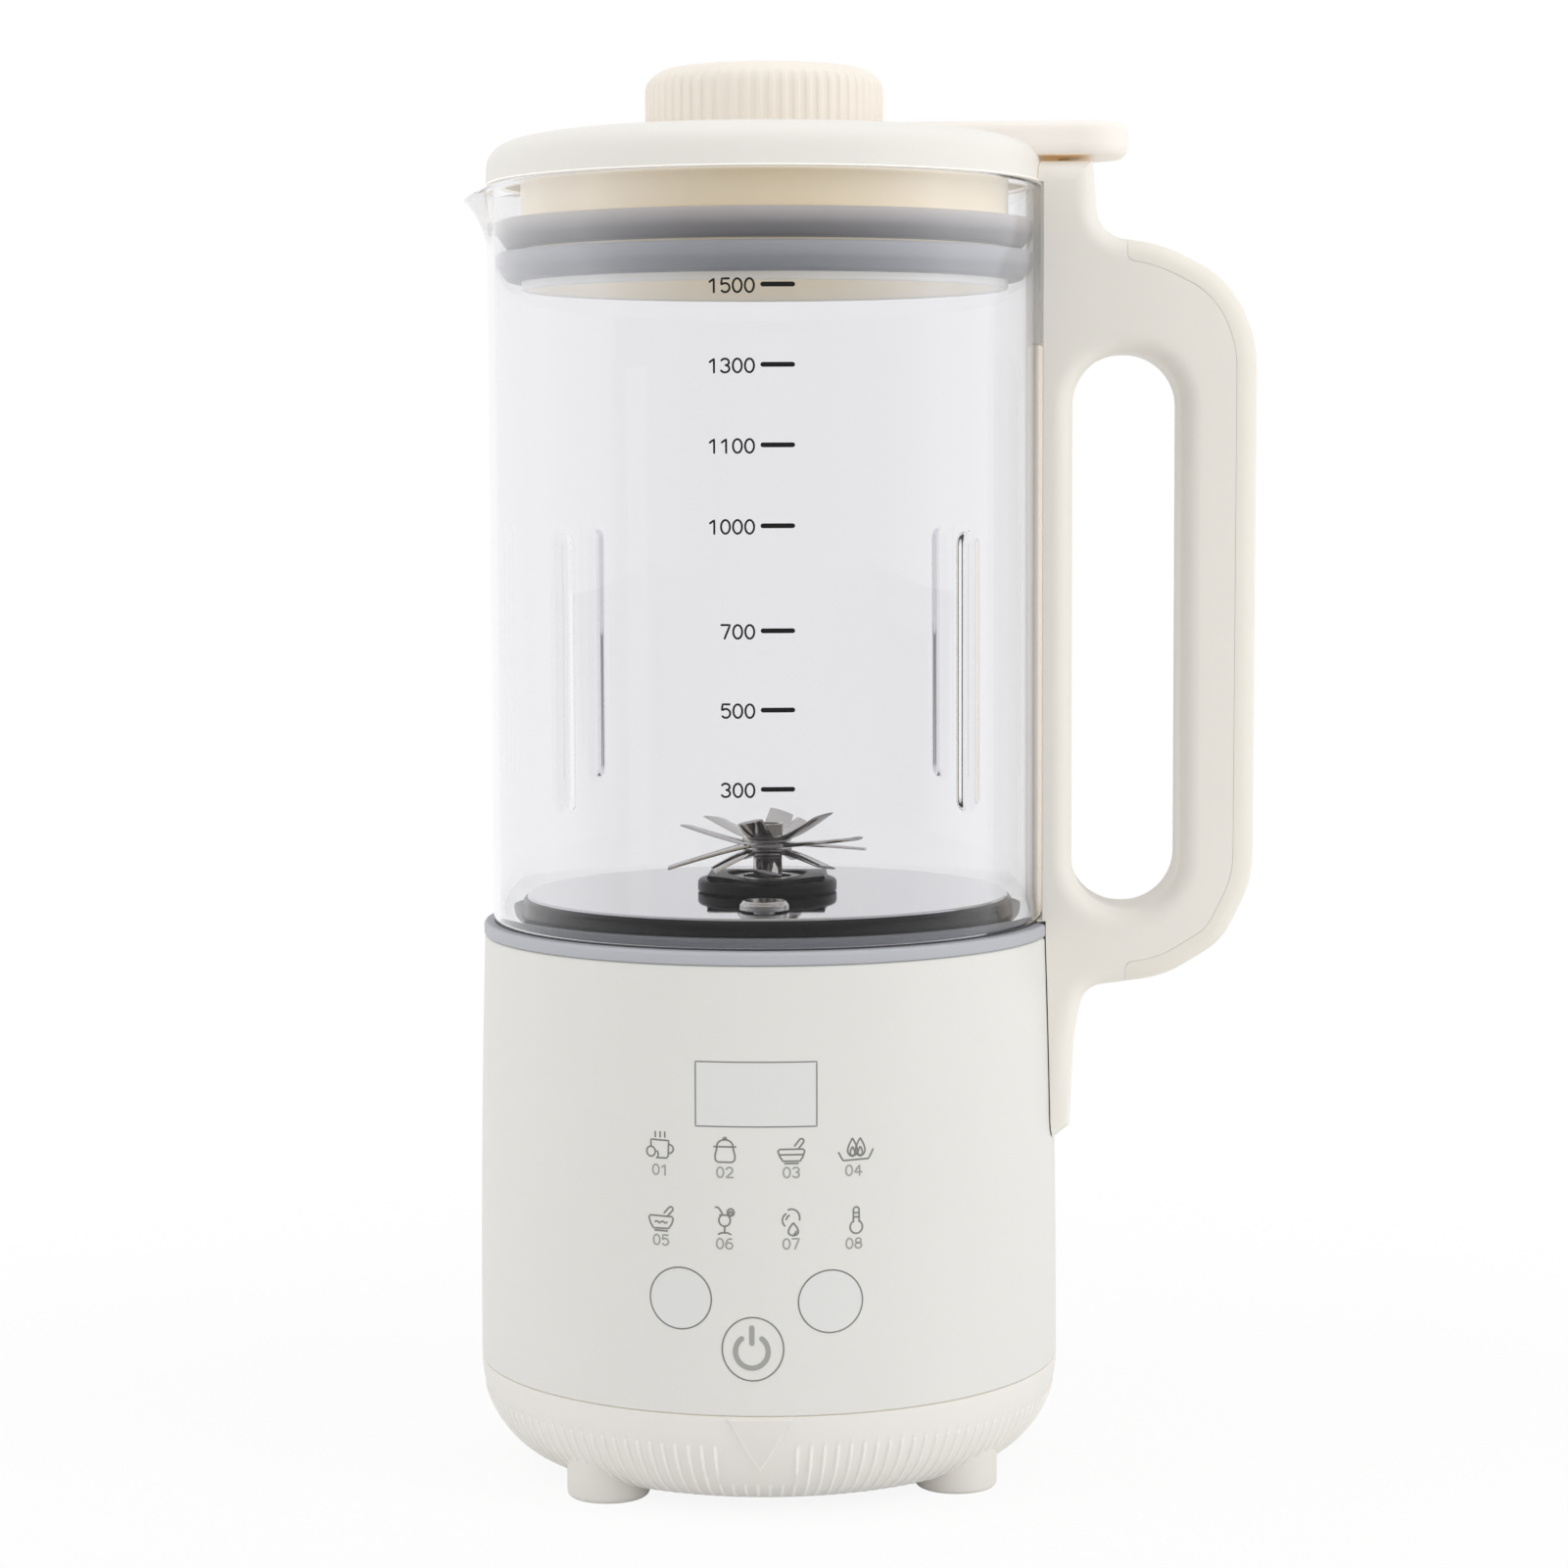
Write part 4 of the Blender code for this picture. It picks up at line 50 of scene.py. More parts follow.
# %% [markdown]
# ## Viewpoint
#
# The machine was seen from a little right of the middle of its panel, from just above half its height, through
# a long lens that keeps the jar's sides parallel. The place was worked out from the seam, the scale and the rim.
# The camera is tilted down and then swung round the machine's own axis, so each number has a plain meaning.

# %% Camera
PICTURE_SIDE = 1601
FOCAL_PIXELS = 3854.8
SENSOR = 36.0
PLACE_BEFORE_SWING = (3.83, -845.1, 223.05)
SWING, TILT, ROLL = 2.3, 4.794, -0.218
camera_data = bpy.data.cameras.new("viewpoint")
camera_data.sensor_width = SENSOR
camera_data.lens = FOCAL_PIXELS * SENSOR / PICTURE_SIDE
camera_data.clip_start = 0.01
camera = bpy.data.objects.new("viewpoint", camera_data)
bpy.context.scene.collection.objects.link(camera)
camera.matrix_world = (Matrix.Rotation(math.radians(SWING), 4, "Z")
                       @ Matrix.Translation([length * MM for length in PLACE_BEFORE_SWING])
                       @ Matrix.Rotation(math.radians(90 - TILT), 4, "X")
                       @ Matrix.Rotation(math.radians(ROLL), 4, "Z"))
bpy.context.scene.camera = camera
bpy.context.scene.view_settings.view_transform = "Standard"
print("lens in millimetres:", round(camera_data.lens, 1))

# %% [markdown]
# ## Colours
#
# Colours are noted as the eye reads them, 0 to 255, and turned into the linear values that a shader works with.
# A small helper adds a node and fills its sockets, so that a material reads as a short list of what it does.

# %% Colour and node helpers
def tone(red, green, blue):
    """A colour of 0 to 255 as linear light: x / 12.92 when dark, otherwise ((x + 0.055) / 1.055) to the 2.4."""
    value = np.array((red, green, blue)) / 255
    linear = np.where(value <= 0.04045, value / 12.92, ((value + 0.055) / 1.055) ** 2.4)
    return (*linear.tolist(), 1.0)


def add(tree, kind, values=None, **settings):
    """A node of a kind, with its settings, and with its unlinked sockets filled."""
    made = tree.nodes.new(kind)
    for key, value in settings.items():
        setattr(made, key, value)
    for key, value in (values or {}).items():
        made.inputs[key].default_value = value
    return made


def join_up(tree, *pairs):
    """Links written as (from node, socket, to node, socket)."""
    for source, output, target, inlet in pairs:
        tree.links.new(source.outputs[output], target.inputs[inlet])


def tone_mix(tree, low, high):
    """A mix of two colours. The mask that goes into its Factor says how much of the second one shows."""
    return add(tree, "ShaderNodeMix", {"A": tone(*low), "B": tone(*high)}, data_type="RGBA")


print("cream reads as", [round(x, 3) for x in tone(222, 221, 216)])

# %% Group and material helpers
def new_group(name, inputs, outputs):
    """An empty shader node group with named inputs (name, kind, value) and outputs (name, kind)."""
    group = bpy.data.node_groups.new(name, "ShaderNodeTree")
    for label, kind, value in inputs:
        group.interface.new_socket(label, in_out="INPUT", socket_type=kind).default_value = value
    for label, kind in outputs:
        group.interface.new_socket(label, in_out="OUTPUT", socket_type=kind)
    return group, group.nodes.new("NodeGroupInput"), group.nodes.new("NodeGroupOutput")


def from_group(name, group, values, bump_strength, bump_depth, **shader):
    """A material whose colour, height and, where the group has one, roughness come from a node group. What is the
    same all over the piece goes straight to the shader's own sockets."""
    material = bpy.data.materials.new(name)
    material.use_nodes = True
    tree = material.node_tree
    principled = tree.nodes["Principled BSDF"]
    for key, value in shader.items():
        principled.inputs[key.replace("_", " ")].default_value = value
    body = add(tree, "ShaderNodeGroup", values, node_tree=group)
    bump = add(tree, "ShaderNodeBump", {"Strength": bump_strength, "Distance": bump_depth})
    join_up(tree, (body, "Colour", principled, "Base Color"), (body, "Height", bump, "Height"),
            (bump, "Normal", principled, "Normal"))
    if "Roughness" in body.outputs:
        join_up(tree, (body, "Roughness", principled, "Roughness"))
    return material


def recolour(material, source, output):
    """Let a node give the colour that a material's group starts from."""
    body = next(node for node in material.node_tree.nodes if node.type == "GROUP")
    join_up(material.node_tree, (source, output, body, "Colour"))


def give_off(material, source):
    """Let the surface give off the colour that a mix puts out."""
    shader = material.node_tree.nodes["Principled BSDF"]
    shader.inputs["Emission Strength"].default_value = 1.0
    join_up(material.node_tree, (source, "Result", shader, "Emission Color"))


print("group and material helpers ready")

# %% [markdown]
# ## Moulded skin
#
# Injection-moulded plastic is never one flat colour. Its tone drifts a little where the melt cooled at different
# rates, and the mould's spark-eroded surface leaves a very fine grain that breaks up the shine. Two noises do
# this: a wide one for the drift, and a tight one for grain height and roughness. Silicone and rubber share it
# with other values.

# %% Group: moulded skin
skin, skin_in, skin_out = new_group(
    "moulded_skin",
    [("Colour", "NodeSocketColor", (0.8, 0.8, 0.8, 1.0)), ("Drift", "NodeSocketFloat", 0.02),
     ("Grain", "NodeSocketFloat", 2600.0), ("Roughness", "NodeSocketFloat", 0.45),
     ("Spread", "NodeSocketFloat", 0.08)],
    [("Colour", "NodeSocketColor"), ("Roughness", "NodeSocketFloat"), ("Height", "NodeSocketFloat")])
place = add(skin, "ShaderNodeTexCoord")
wide = add(skin, "ShaderNodeTexNoise", {"Scale": 21.0, "Detail": 3.0})
tight = add(skin, "ShaderNodeTexNoise", {"Detail": 2.0, "Roughness": 0.6})
centred = add(skin, "ShaderNodeMath", {1: 0.5}, operation="SUBTRACT")
swing = add(skin, "ShaderNodeMath", operation="MULTIPLY")
level = add(skin, "ShaderNodeMath", {1: 1.0}, operation="ADD")
tinted = add(skin, "ShaderNodeVectorMath", operation="SCALE")
mottle = add(skin, "ShaderNodeMath", {1: 0.5}, operation="SUBTRACT")
rough_swing = add(skin, "ShaderNodeMath", operation="MULTIPLY")
rough_sum = add(skin, "ShaderNodeMath", operation="ADD", use_clamp=True)
join_up(skin, (place, "Object", wide, "Vector"), (place, "Object", tight, "Vector"),
        (skin_in, "Grain", tight, "Scale"), (wide, "Fac", centred, 0), (centred, 0, swing, 0),
        (skin_in, "Drift", swing, 1), (swing, 0, level, 0), (skin_in, "Colour", tinted, 0),
        (level, 0, tinted, "Scale"), (tinted, 0, skin_out, "Colour"), (tight, "Fac", mottle, 0),
        (mottle, 0, rough_swing, 0), (skin_in, "Spread", rough_swing, 1), (rough_swing, 0, rough_sum, 0),
        (skin_in, "Roughness", rough_sum, 1), (rough_sum, 0, skin_out, "Roughness"),
        (tight, "Fac", skin_out, "Height"))
print("moulded skin:", len(skin.nodes), "nodes")

# %% Finish: moulded plastic and silicone
def moulded(name, colour, roughness=0.45, drift=0.03, grain=2600.0, spread=0.08, depth=0.00002, ramp=None,
            **shader):
    """Plastic or silicone. A ramp, if given, is a list of (height in mm, colour) that shades it from low to high."""
    material = from_group(name, skin, {"Colour": tone(*colour), "Drift": drift, "Grain": grain,
                                       "Roughness": roughness, "Spread": spread}, 0.35, depth, **shader)
    if ramp:
        recolour(material, height_ramp(material.node_tree, ramp), "Color")
    return material


def height_ramp(tree, stops):
    """A colour that follows the height: z is mapped from the lowest to the highest stop onto 0 to 1."""
    low, high = stops[0][0], stops[-1][0]
    spot = add(tree, "ShaderNodeTexCoord")
    parts = add(tree, "ShaderNodeSeparateXYZ")
    spread = add(tree, "ShaderNodeMapRange", {"From Min": low * MM, "From Max": high * MM})
    shade = add(tree, "ShaderNodeValToRGB")
    join_up(tree, (spot, "Object", parts, 0), (parts, "Z", spread, "Value"), (spread, 0, shade, "Fac"))
    stops_made = shade.color_ramp.elements
    while len(stops_made) < len(stops):
        stops_made.new(0.5)
    for made, (height, colour) in zip(stops_made, stops):
        made.position = (height - low) / (high - low)
        made.color = tone(*colour)
    return shade


print("moulded finish ready")

# %% [markdown]
# ## Light that a plain surface doesn't give
#
# Pale plastic lets light through: a narrow gap between two pieces is a warm line, not a black one. And a piece
# behind the jar is veiled by what its wall mirrors. Light that wanders inside plastic takes very many rays, so
# both are stood in for by a little light that the surface gives off, only in the gaps or behind the glass.

# %% Glow in gaps and veil behind glass
def between(tree, low, high):
    """One where a length lies between two limits in millimetres: it is compared with their middle."""
    return add(tree, "ShaderNodeMath", {1: (low + high) / 2 * MM, 2: (high - low) / 2 * MM}, operation="COMPARE")


def add_glow(material, zones):
    """Light that seeps into narrow gaps through the pale plastic. A zone is (low R, high R, low Z, high Z, colour),
    in millimetres, with R the distance to the machine's axis; inside it the surface gives off that colour."""
    tree = material.node_tree
    spot = add(tree, "ShaderNodeTexCoord")
    parts = add(tree, "ShaderNodeSeparateXYZ")
    level = add(tree, "ShaderNodeVectorMath", {1: (1.0, 1.0, 0.0)}, operation="MULTIPLY")
    distance = add(tree, "ShaderNodeVectorMath", operation="LENGTH")
    join_up(tree, (spot, "Object", parts, 0), (spot, "Object", level, 0), (level, 0, distance, 0))
    total = None
    for low_r, high_r, low_z, high_z, colour in zones:
        in_r, in_z = between(tree, low_r, high_r), between(tree, low_z, high_z)
        both = add(tree, "ShaderNodeMath", operation="MULTIPLY")
        lit = tone_mix(tree, (0, 0, 0), colour)
        join_up(tree, (distance, "Value", in_r, 0), (parts, "Z", in_z, 0), (in_r, 0, both, 0), (in_z, 0, both, 1),
                (both, 0, lit, "Factor"))
        if total:
            join_up(tree, (total, "Result", lit, "A"))
        total = lit
    give_off(material, total)


def add_veil(material, ahead, aside):
    """Pieces behind the jar are veiled by what its wall mirrors, little in the middle and more towards the outline.
    The level normal (x, y, 0) / r gives the angle of view; the light given off goes from ahead to aside with it."""
    tree = material.node_tree
    spot = add(tree, "ShaderNodeTexCoord")
    level = add(tree, "ShaderNodeVectorMath", {1: (1.0, 1.0, 0.0)}, operation="MULTIPLY")
    outwards = add(tree, "ShaderNodeVectorMath", operation="NORMALIZE")
    view = add(tree, "ShaderNodeLayerWeight", {"Blend": 0.5})
    share = add(tree, "ShaderNodeMapRange", {"From Min": 0.0, "From Max": 0.30})
    veil = tone_mix(tree, ahead, aside)
    join_up(tree, (spot, "Object", level, 0), (level, 0, outwards, 0), (outwards, 0, view, "Normal"),
            (view, "Facing", share, "Value"), (share, 0, veil, "Factor"))
    give_off(material, veil)


print("glow and veil ready")

# %% [markdown]
# ## The creams
#
# Every outside piece is the same cream plastic, yet each piece has its own finish from the one helper, a few
# steps of tone apart. These steps are painted light: lighter and darker copies of one cream that give each piece
# the brightness it shows, such as the handle's body lighter than its cover and the tab lighter than its own dome.

# %% Cream finishes
housing_cream = moulded("housing_cream", (228, 227, 223), 0.42)
bowl_cream = moulded("bowl_cream", (231, 229, 224), 0.42)
lid_cream = moulded("lid_cream", (236, 233, 227), 0.40)
knob_cream = moulded("knob_cream", (243, 235, 224), 0.42)
tab_cream = moulded("tab_cream", (246, 240, 233), 0.42)
handle_cream = moulded("handle_cream", (238, 234, 226), 0.44)
cover_cream = moulded("cover_cream", (235, 230, 220), 0.44)
# The liner's ramp paints light: its low lip and the inside seen from below, which lie in shade, are a paler near-white,
# and the cream above them is raised near to full brightness.
liner_cream = moulded("liner_cream", (226, 208, 174), 0.40,
                      ramp=[(262.0, (240, 238, 234)), (266.0, (244, 240, 232)), (272.0, (250, 236, 208)),
                            (292.5, (250, 236, 208))])
add_veil(liner_cream, (51, 42, 7), (122, 125, 128))
foot_cream = moulded("foot_cream", (230, 227, 221), 0.60, grain=1800.0)
add_glow(handle_cream, [(61.6, 61.95, 74.0, 250.0, (176, 168, 150)), (61.6, 61.95, 284.9, 289.4, (140, 136, 128)),
                        (60.0, 72.4, 289.3, 289.7, (84, 62, 30))])
add_glow(tab_cream, [(60.0, 72.4, 290.5, 291.0, (76, 54, 24))])
add_glow(lid_cream, [(50.0, 62.0, 285.0, 285.4, (150, 148, 142))])
print("moulded finishes made")

# %% [markdown]
# ## Ribbed cream
#
# The crests of the bowl's fine ribs catch more light than the valleys. A painted stripe would have to meet 138
# ribs, so the tone follows the same angle that will make the ribs: it is lighter where the angle is near a
# crest, and plain beside the pointer and above the ribs.

# %% Finish of the ribbed bowl
RIBS = 138
RIBBED_BELOW, BESIDE_POINTER, BELOW_POINTER = 17.3, 8.2, 7.6


def rib_mask(tree):
    """One on the crest of a rib, zero between: the angle from the front, counted in rib pitches, folded to 0..0.5."""
    spot = add(tree, "ShaderNodeTexCoord")
    parts = add(tree, "ShaderNodeSeparateXYZ")
    back = add(tree, "ShaderNodeMath", {1: -1.0}, operation="MULTIPLY")
    angle = add(tree, "ShaderNodeMath", operation="ARCTAN2")
    count = add(tree, "ShaderNodeMath", {1: RIBS / (2 * math.pi)}, operation="MULTIPLY")
    fold = add(tree, "ShaderNodeMath", {1: 0.5}, operation="PINGPONG")
    crest = add(tree, "ShaderNodeMapRange", {"From Min": 0.05, "From Max": 0.17, "To Min": 1.0, "To Max": 0.0})
    below = add(tree, "ShaderNodeMath", {1: RIBBED_BELOW * MM}, operation="LESS_THAN")
    side = add(tree, "ShaderNodeMath", operation="ABSOLUTE")
    aside = add(tree, "ShaderNodeMath", {1: BESIDE_POINTER * MM}, operation="GREATER_THAN")
    deep = add(tree, "ShaderNodeMath", {1: BELOW_POINTER * MM}, operation="LESS_THAN")
    free = add(tree, "ShaderNodeMath", operation="MAXIMUM")
    zone = add(tree, "ShaderNodeMath", operation="MULTIPLY")
    mask = add(tree, "ShaderNodeMath", operation="MULTIPLY")
    join_up(tree, (spot, "Object", parts, 0), (parts, "Y", back, 0), (parts, "X", angle, 0), (back, 0, angle, 1),
            (angle, 0, count, 0), (count, 0, fold, 0), (fold, 0, crest, "Value"), (parts, "Z", below, 0),
            (parts, "X", side, 0), (side, 0, aside, 0), (parts, "Z", deep, 0), (aside, 0, free, 0),
            (deep, 0, free, 1), (free, 0, zone, 0), (below, 0, zone, 1), (crest, 0, mask, 0), (zone, 0, mask, 1))
    return mask


ribbed_cream = moulded("ribbed_cream", (229, 226, 220), 0.42)
tree = ribbed_cream.node_tree
lighter = tone_mix(tree, (235, 232, 227), (247, 245, 240))
join_up(tree, (rib_mask(tree), 0, lighter, "Factor"))
recolour(ribbed_cream, lighter, "Result")
add_glow(ribbed_cream, [(64.0, 66.0, 23.8, 24.1, (74, 69, 56))])
print("ribbed finish made")

# %% [markdown]
# ## Silicone and rubber
#
# The seals are soft silicone: less glossy, a little mottled, and the upper wiper turns dark where its lip curls
# under towards the liner, because little light gets in there. The ring under the jar is a paler blue grey.

# %% Seals
wiper_upper_grey = moulded("wiper_upper_grey", (150, 146, 146), 0.50, grain=1400.0, depth=0.000007,
                           ramp=[(270.7, (84, 82, 84)), (273.0, (122, 120, 123)), (277.2, (208, 202, 197))])
# The lower wiper is painted shade too: darker towards its curled-under lower edge.
wiper_lower_grey = moulded("wiper_lower_grey", (136, 138, 145), 0.50, grain=1400.0, depth=0.000007,
                           ramp=[(263.7, (152, 154, 159)), (266.5, (158, 160, 165)), (270.2, (178, 180, 185))])
# Above its outer shoulder the ring is painted dark grey: painted shade under the glass's edge and on the inner shoulder
# inside the jar.
ring_grey = moulded("ring_grey", (178, 180, 188), 0.48, grain=1400.0, depth=0.00001,
                    ramp=[(119.4, (180, 182, 188)), (122.1, (186, 188, 194)), (122.6, (124, 126, 132)),
                          (124.6, (118, 120, 126))])
add_veil(wiper_upper_grey, (56, 55, 54), (121, 121, 122))
add_veil(wiper_lower_grey, (24, 24, 24), (121, 121, 122))
seat_grey = moulded("seat_grey", (74, 76, 80), 0.55, grain=1400.0)
# The pad gives off a soft grey light: painted light that lifts the shade it sits in between glass and handle.
pad_grey_glowing = moulded("pad_grey_glowing", (190, 188, 184), 0.55, grain=1400.0, Emission_Color=tone(128, 127, 122),
                   Emission_Strength=1.0)
dark_rubber = moulded("dark_rubber", (44, 44, 46), 0.75, drift=0.2, grain=900.0)
print("seal finishes made")

# %% [markdown]
# ## Metals
#
# The plate and the blades are drawn and ground stainless steel. Grinding leaves fine parallel marks: a noise
# stretched along one direction gives them, and it feeds the colour, the roughness and a faint height. Marks that
# run round a turned piece come from reading the distance to its axis instead of X.

# %% Group: ground metal
ground, ground_in, ground_out = new_group(
    "ground_metal",
    [("Colour", "NodeSocketColor", (0.6, 0.6, 0.6, 1.0)), ("Fine", "NodeSocketFloat", 1800.0),
     ("Roughness", "NodeSocketFloat", 0.2), ("Spread", "NodeSocketFloat", 0.12),
     ("Contrast", "NodeSocketFloat", 0.15)],
    [("Colour", "NodeSocketColor"), ("Roughness", "NodeSocketFloat"), ("Height", "NodeSocketFloat")])
place = add(ground, "ShaderNodeTexCoord")
parts = add(ground, "ShaderNodeSeparateXYZ")
distance = add(ground, "ShaderNodeVectorMath", operation="LENGTH")
flat = add(ground, "ShaderNodeCombineXYZ")
turned_marks = add(ground, "ShaderNodeCombineXYZ")
slow = add(ground, "ShaderNodeMath", {1: 0.04}, operation="MULTIPLY")
marks = add(ground, "ShaderNodeTexNoise", {"Detail": 4.0, "Roughness": 0.65})
centred = add(ground, "ShaderNodeMath", {1: 0.5}, operation="SUBTRACT")
swing = add(ground, "ShaderNodeMath", operation="MULTIPLY")
level = add(ground, "ShaderNodeMath", {1: 1.0}, operation="ADD")
tinted = add(ground, "ShaderNodeVectorMath", operation="SCALE")
rough_swing = add(ground, "ShaderNodeMath", operation="MULTIPLY")
rough_sum = add(ground, "ShaderNodeMath", operation="ADD", use_clamp=True)
join_up(ground, (place, "Object", parts, 0), (parts, "X", flat, "X"), (parts, "Y", flat, "Y"),
        (flat, 0, distance, 0), (distance, "Value", turned_marks, "X"), (parts, "Z", turned_marks, "Z"),
        (parts, "X", slow, 0), (slow, 0, turned_marks, "Y"), (turned_marks, 0, marks, "Vector"),
        (ground_in, "Fine", marks, "Scale"), (marks, "Fac", centred, 0), (centred, 0, swing, 0),
        (ground_in, "Contrast", swing, 1), (swing, 0, level, 0), (ground_in, "Colour", tinted, 0),
        (level, 0, tinted, "Scale"), (tinted, 0, ground_out, "Colour"), (centred, 0, rough_swing, 0),
        (ground_in, "Spread", rough_swing, 1), (rough_swing, 0, rough_sum, 0),
        (ground_in, "Roughness", rough_sum, 1), (rough_sum, 0, ground_out, "Roughness"),
        (marks, "Fac", ground_out, "Height"))
print("ground metal:", len(ground.nodes), "nodes")

# %% Metal finishes
def metal(name, colour, roughness=0.2, fine=1800.0, spread=0.12, contrast=0.15, metallic=1.0, depth=0.000004):
    """Ground or drawn metal with marks that run round the machine's axis."""
    return from_group(name, ground, {"Colour": tone(*colour), "Fine": fine, "Roughness": roughness, "Spread": spread,
                                     "Contrast": contrast}, 0.3, depth, Metallic=metallic)


plate_steel = metal("plate_steel", (205, 205, 208), 0.045, fine=900.0, spread=0.03, contrast=0.05)
rim_steel = metal("rim_steel", (30, 29, 31), 0.26, fine=1400.0, contrast=0.5, metallic=0.6)
blade_steel = metal("blade_steel", (188, 186, 184), 0.09, contrast=0.3)
stud_steel = metal("stud_steel", (188, 187, 186), 0.05, contrast=0.5)
shaft_steel = metal("shaft_steel", (176, 172, 168), 0.20)
aluminium = metal("aluminium", (178, 180, 184), 0.38)
bronze = metal("bronze", (176, 132, 74), 0.36, contrast=0.3)
carbon = metal("carbon", (52, 52, 55), 0.60, fine=1200.0, contrast=0.5, metallic=0.2)
print("metal finishes made")

# %% [markdown]
# ## Glass
#
# The jar is drawn borosilicate tube. Clear glass on a white ground is read from its edges: light that enters
# there crosses many millimetres of it and comes out grey. A plain transmissive shader does that by itself, so
# the colour is only a trace of grey. Drawing leaves slow waves in the wall, and a faint bump shows them. Light that
# has met many surfaces, and light on its way to a shadow, goes straight through, or the wall would turn black.

# %% Glass
DEPTH_LIMIT = 5
clear_glass = bpy.data.materials.new("clear_glass")
clear_glass.use_nodes = True
tree = clear_glass.node_tree
shader = tree.nodes["Principled BSDF"]
shader.inputs["Base Color"].default_value = tone(248, 248, 251)
shader.inputs["Roughness"].default_value = 0.0
shader.inputs["IOR"].default_value = 1.47
shader.inputs["Transmission Weight"].default_value = 1.0
spot = add(tree, "ShaderNodeTexCoord")
drawn = add(tree, "ShaderNodeMapping", {"Scale": (60.0, 60.0, 4.0)})
waves = add(tree, "ShaderNodeTexNoise", {"Scale": 1.0, "Detail": 1.0})
bump = add(tree, "ShaderNodeBump", {"Strength": 0.25, "Distance": 0.0002})
tint = tone_mix(tree, (245, 245, 247), (248, 248, 249))
join_up(tree, (spot, "Object", drawn, "Vector"), (drawn, 0, waves, "Vector"), (waves, "Fac", bump, "Height"),
        (bump, 0, shader, "Normal"), (waves, "Fac", tint, "Factor"), (tint, "Result", shader, "Base Color"))
bare = add(tree, "ShaderNodeBsdfTransparent", {"Color": tone(246, 246, 248)})
path = add(tree, "ShaderNodeLightPath")
trapped = add(tree, "ShaderNodeMath", {1: DEPTH_LIMIT + 0.5}, operation="GREATER_THAN")
straight = add(tree, "ShaderNodeMath", operation="MAXIMUM")
through = add(tree, "ShaderNodeMixShader")
join_up(tree, (path, "Ray Depth", trapped, 0), (path, "Is Shadow Ray", straight, 0), (trapped, 0, straight, 1),
        (straight, 0, through, "Fac"), (shader, 0, through, 1), (bare, 0, through, 2),
        (through, 0, tree.nodes["Material Output"], "Surface"))
print("glass made")

# %% [markdown]
# ## Surfaces from numbers
#
# Almost every outside piece of this machine is turned or drawn along a path. So a shape is worked out as a grid
# of points: one direction runs along a profile, the other round the axis. The grid is computed in one go as an
# array, joined by quads, closed where it meets itself, and its poles and seams are merged.

# %% Surface helpers
def solid(name, places, faces):
    """A mesh from points in millimetres and faces that name them."""
    mesh = bpy.data.meshes.new(name)
    mesh.from_pydata((np.asarray(places, float) * MM).tolist(), [], faces)
    mesh.update()
    piece = bpy.data.objects.new(name, mesh)
    bpy.context.scene.collection.objects.link(piece)
    return piece


def grid_faces(rows, columns, closed_u=False, closed_v=False, first=0):
    """Quads of a grid: each joins point (i, j) to its neighbours (i, j+1), (i+1, j+1) and (i+1, j)."""
    index = np.arange(rows * columns).reshape(rows, columns) + first
    if closed_u:
        index = np.vstack([index, index[:1]])
    if closed_v:
        index = np.hstack([index, index[:, :1]])
    quads = np.stack([index[:-1, :-1], index[:-1, 1:], index[1:, 1:], index[1:, :-1]], axis=-1)
    return quads.reshape(-1, 4).tolist()


def sealed(piece, sharp=38.0):
    """Merge doubles, drop faces without area, turn faces outwards and shade smoothly up to an angle."""
    shape = bmesh.new()
    shape.from_mesh(piece.data)
    bmesh.ops.remove_doubles(shape, verts=shape.verts, dist=0.000002)
    bmesh.ops.dissolve_degenerate(shape, edges=shape.edges, dist=0.0000005)
    bmesh.ops.recalc_face_normals(shape, faces=shape.faces)
    shape.to_mesh(piece.data)
    shape.free()
    piece.data.polygons.foreach_set("use_smooth", np.ones(len(piece.data.polygons), bool))
    piece.data.set_sharp_from_angle(angle=math.radians(sharp))
    return piece


def surface(name, points, closed_u=False, closed_v=False, sharp=38.0):
    """A piece from a grid of points with rows, columns and X, Y, Z."""
    rows, columns = points.shape[:2]
    return sealed(solid(name, points.reshape(-1, 3), grid_faces(rows, columns, closed_u, closed_v)), sharp)


def polar(radius, angle, height):
    """Points on circles round the axis: x = r cos a, y = r sin a, and z as given."""
    radius, angle, height = np.broadcast_arrays(radius, angle, height)
    return np.stack([radius * np.cos(angle), radius * np.sin(angle), height], axis=-1)


def turned(name, profile, columns=192, loop=False, sharp=38.0):
    """Profile points (r, z) carried round the axis: x = r cos a, y = r sin a. A loop closes on itself."""
    profile = np.asarray(profile, float)
    angle = np.linspace(0.0, 2 * math.pi, columns, endpoint=False)
    points = polar(profile[:, 0, None], angle, profile[:, 1, None])
    return surface(name, points, closed_u=loop, closed_v=True, sharp=sharp)


def moved(piece, x=0.0, y=0.0, z=0.0):
    """The points of a piece moved by millimetres, so that its object stays at the origin."""
    piece.data.transform(Matrix.Translation((x * MM, y * MM, z * MM)))
    return piece


print("turned shapes ready")

# %% [markdown]
# ## Soft corners
#
# Moulds have no sharp corners, and it is the small radius that catches the light. A bevel on the finished mesh
# would round every edge alike. Here each corner of a profile has its own radius, before anything is turned.

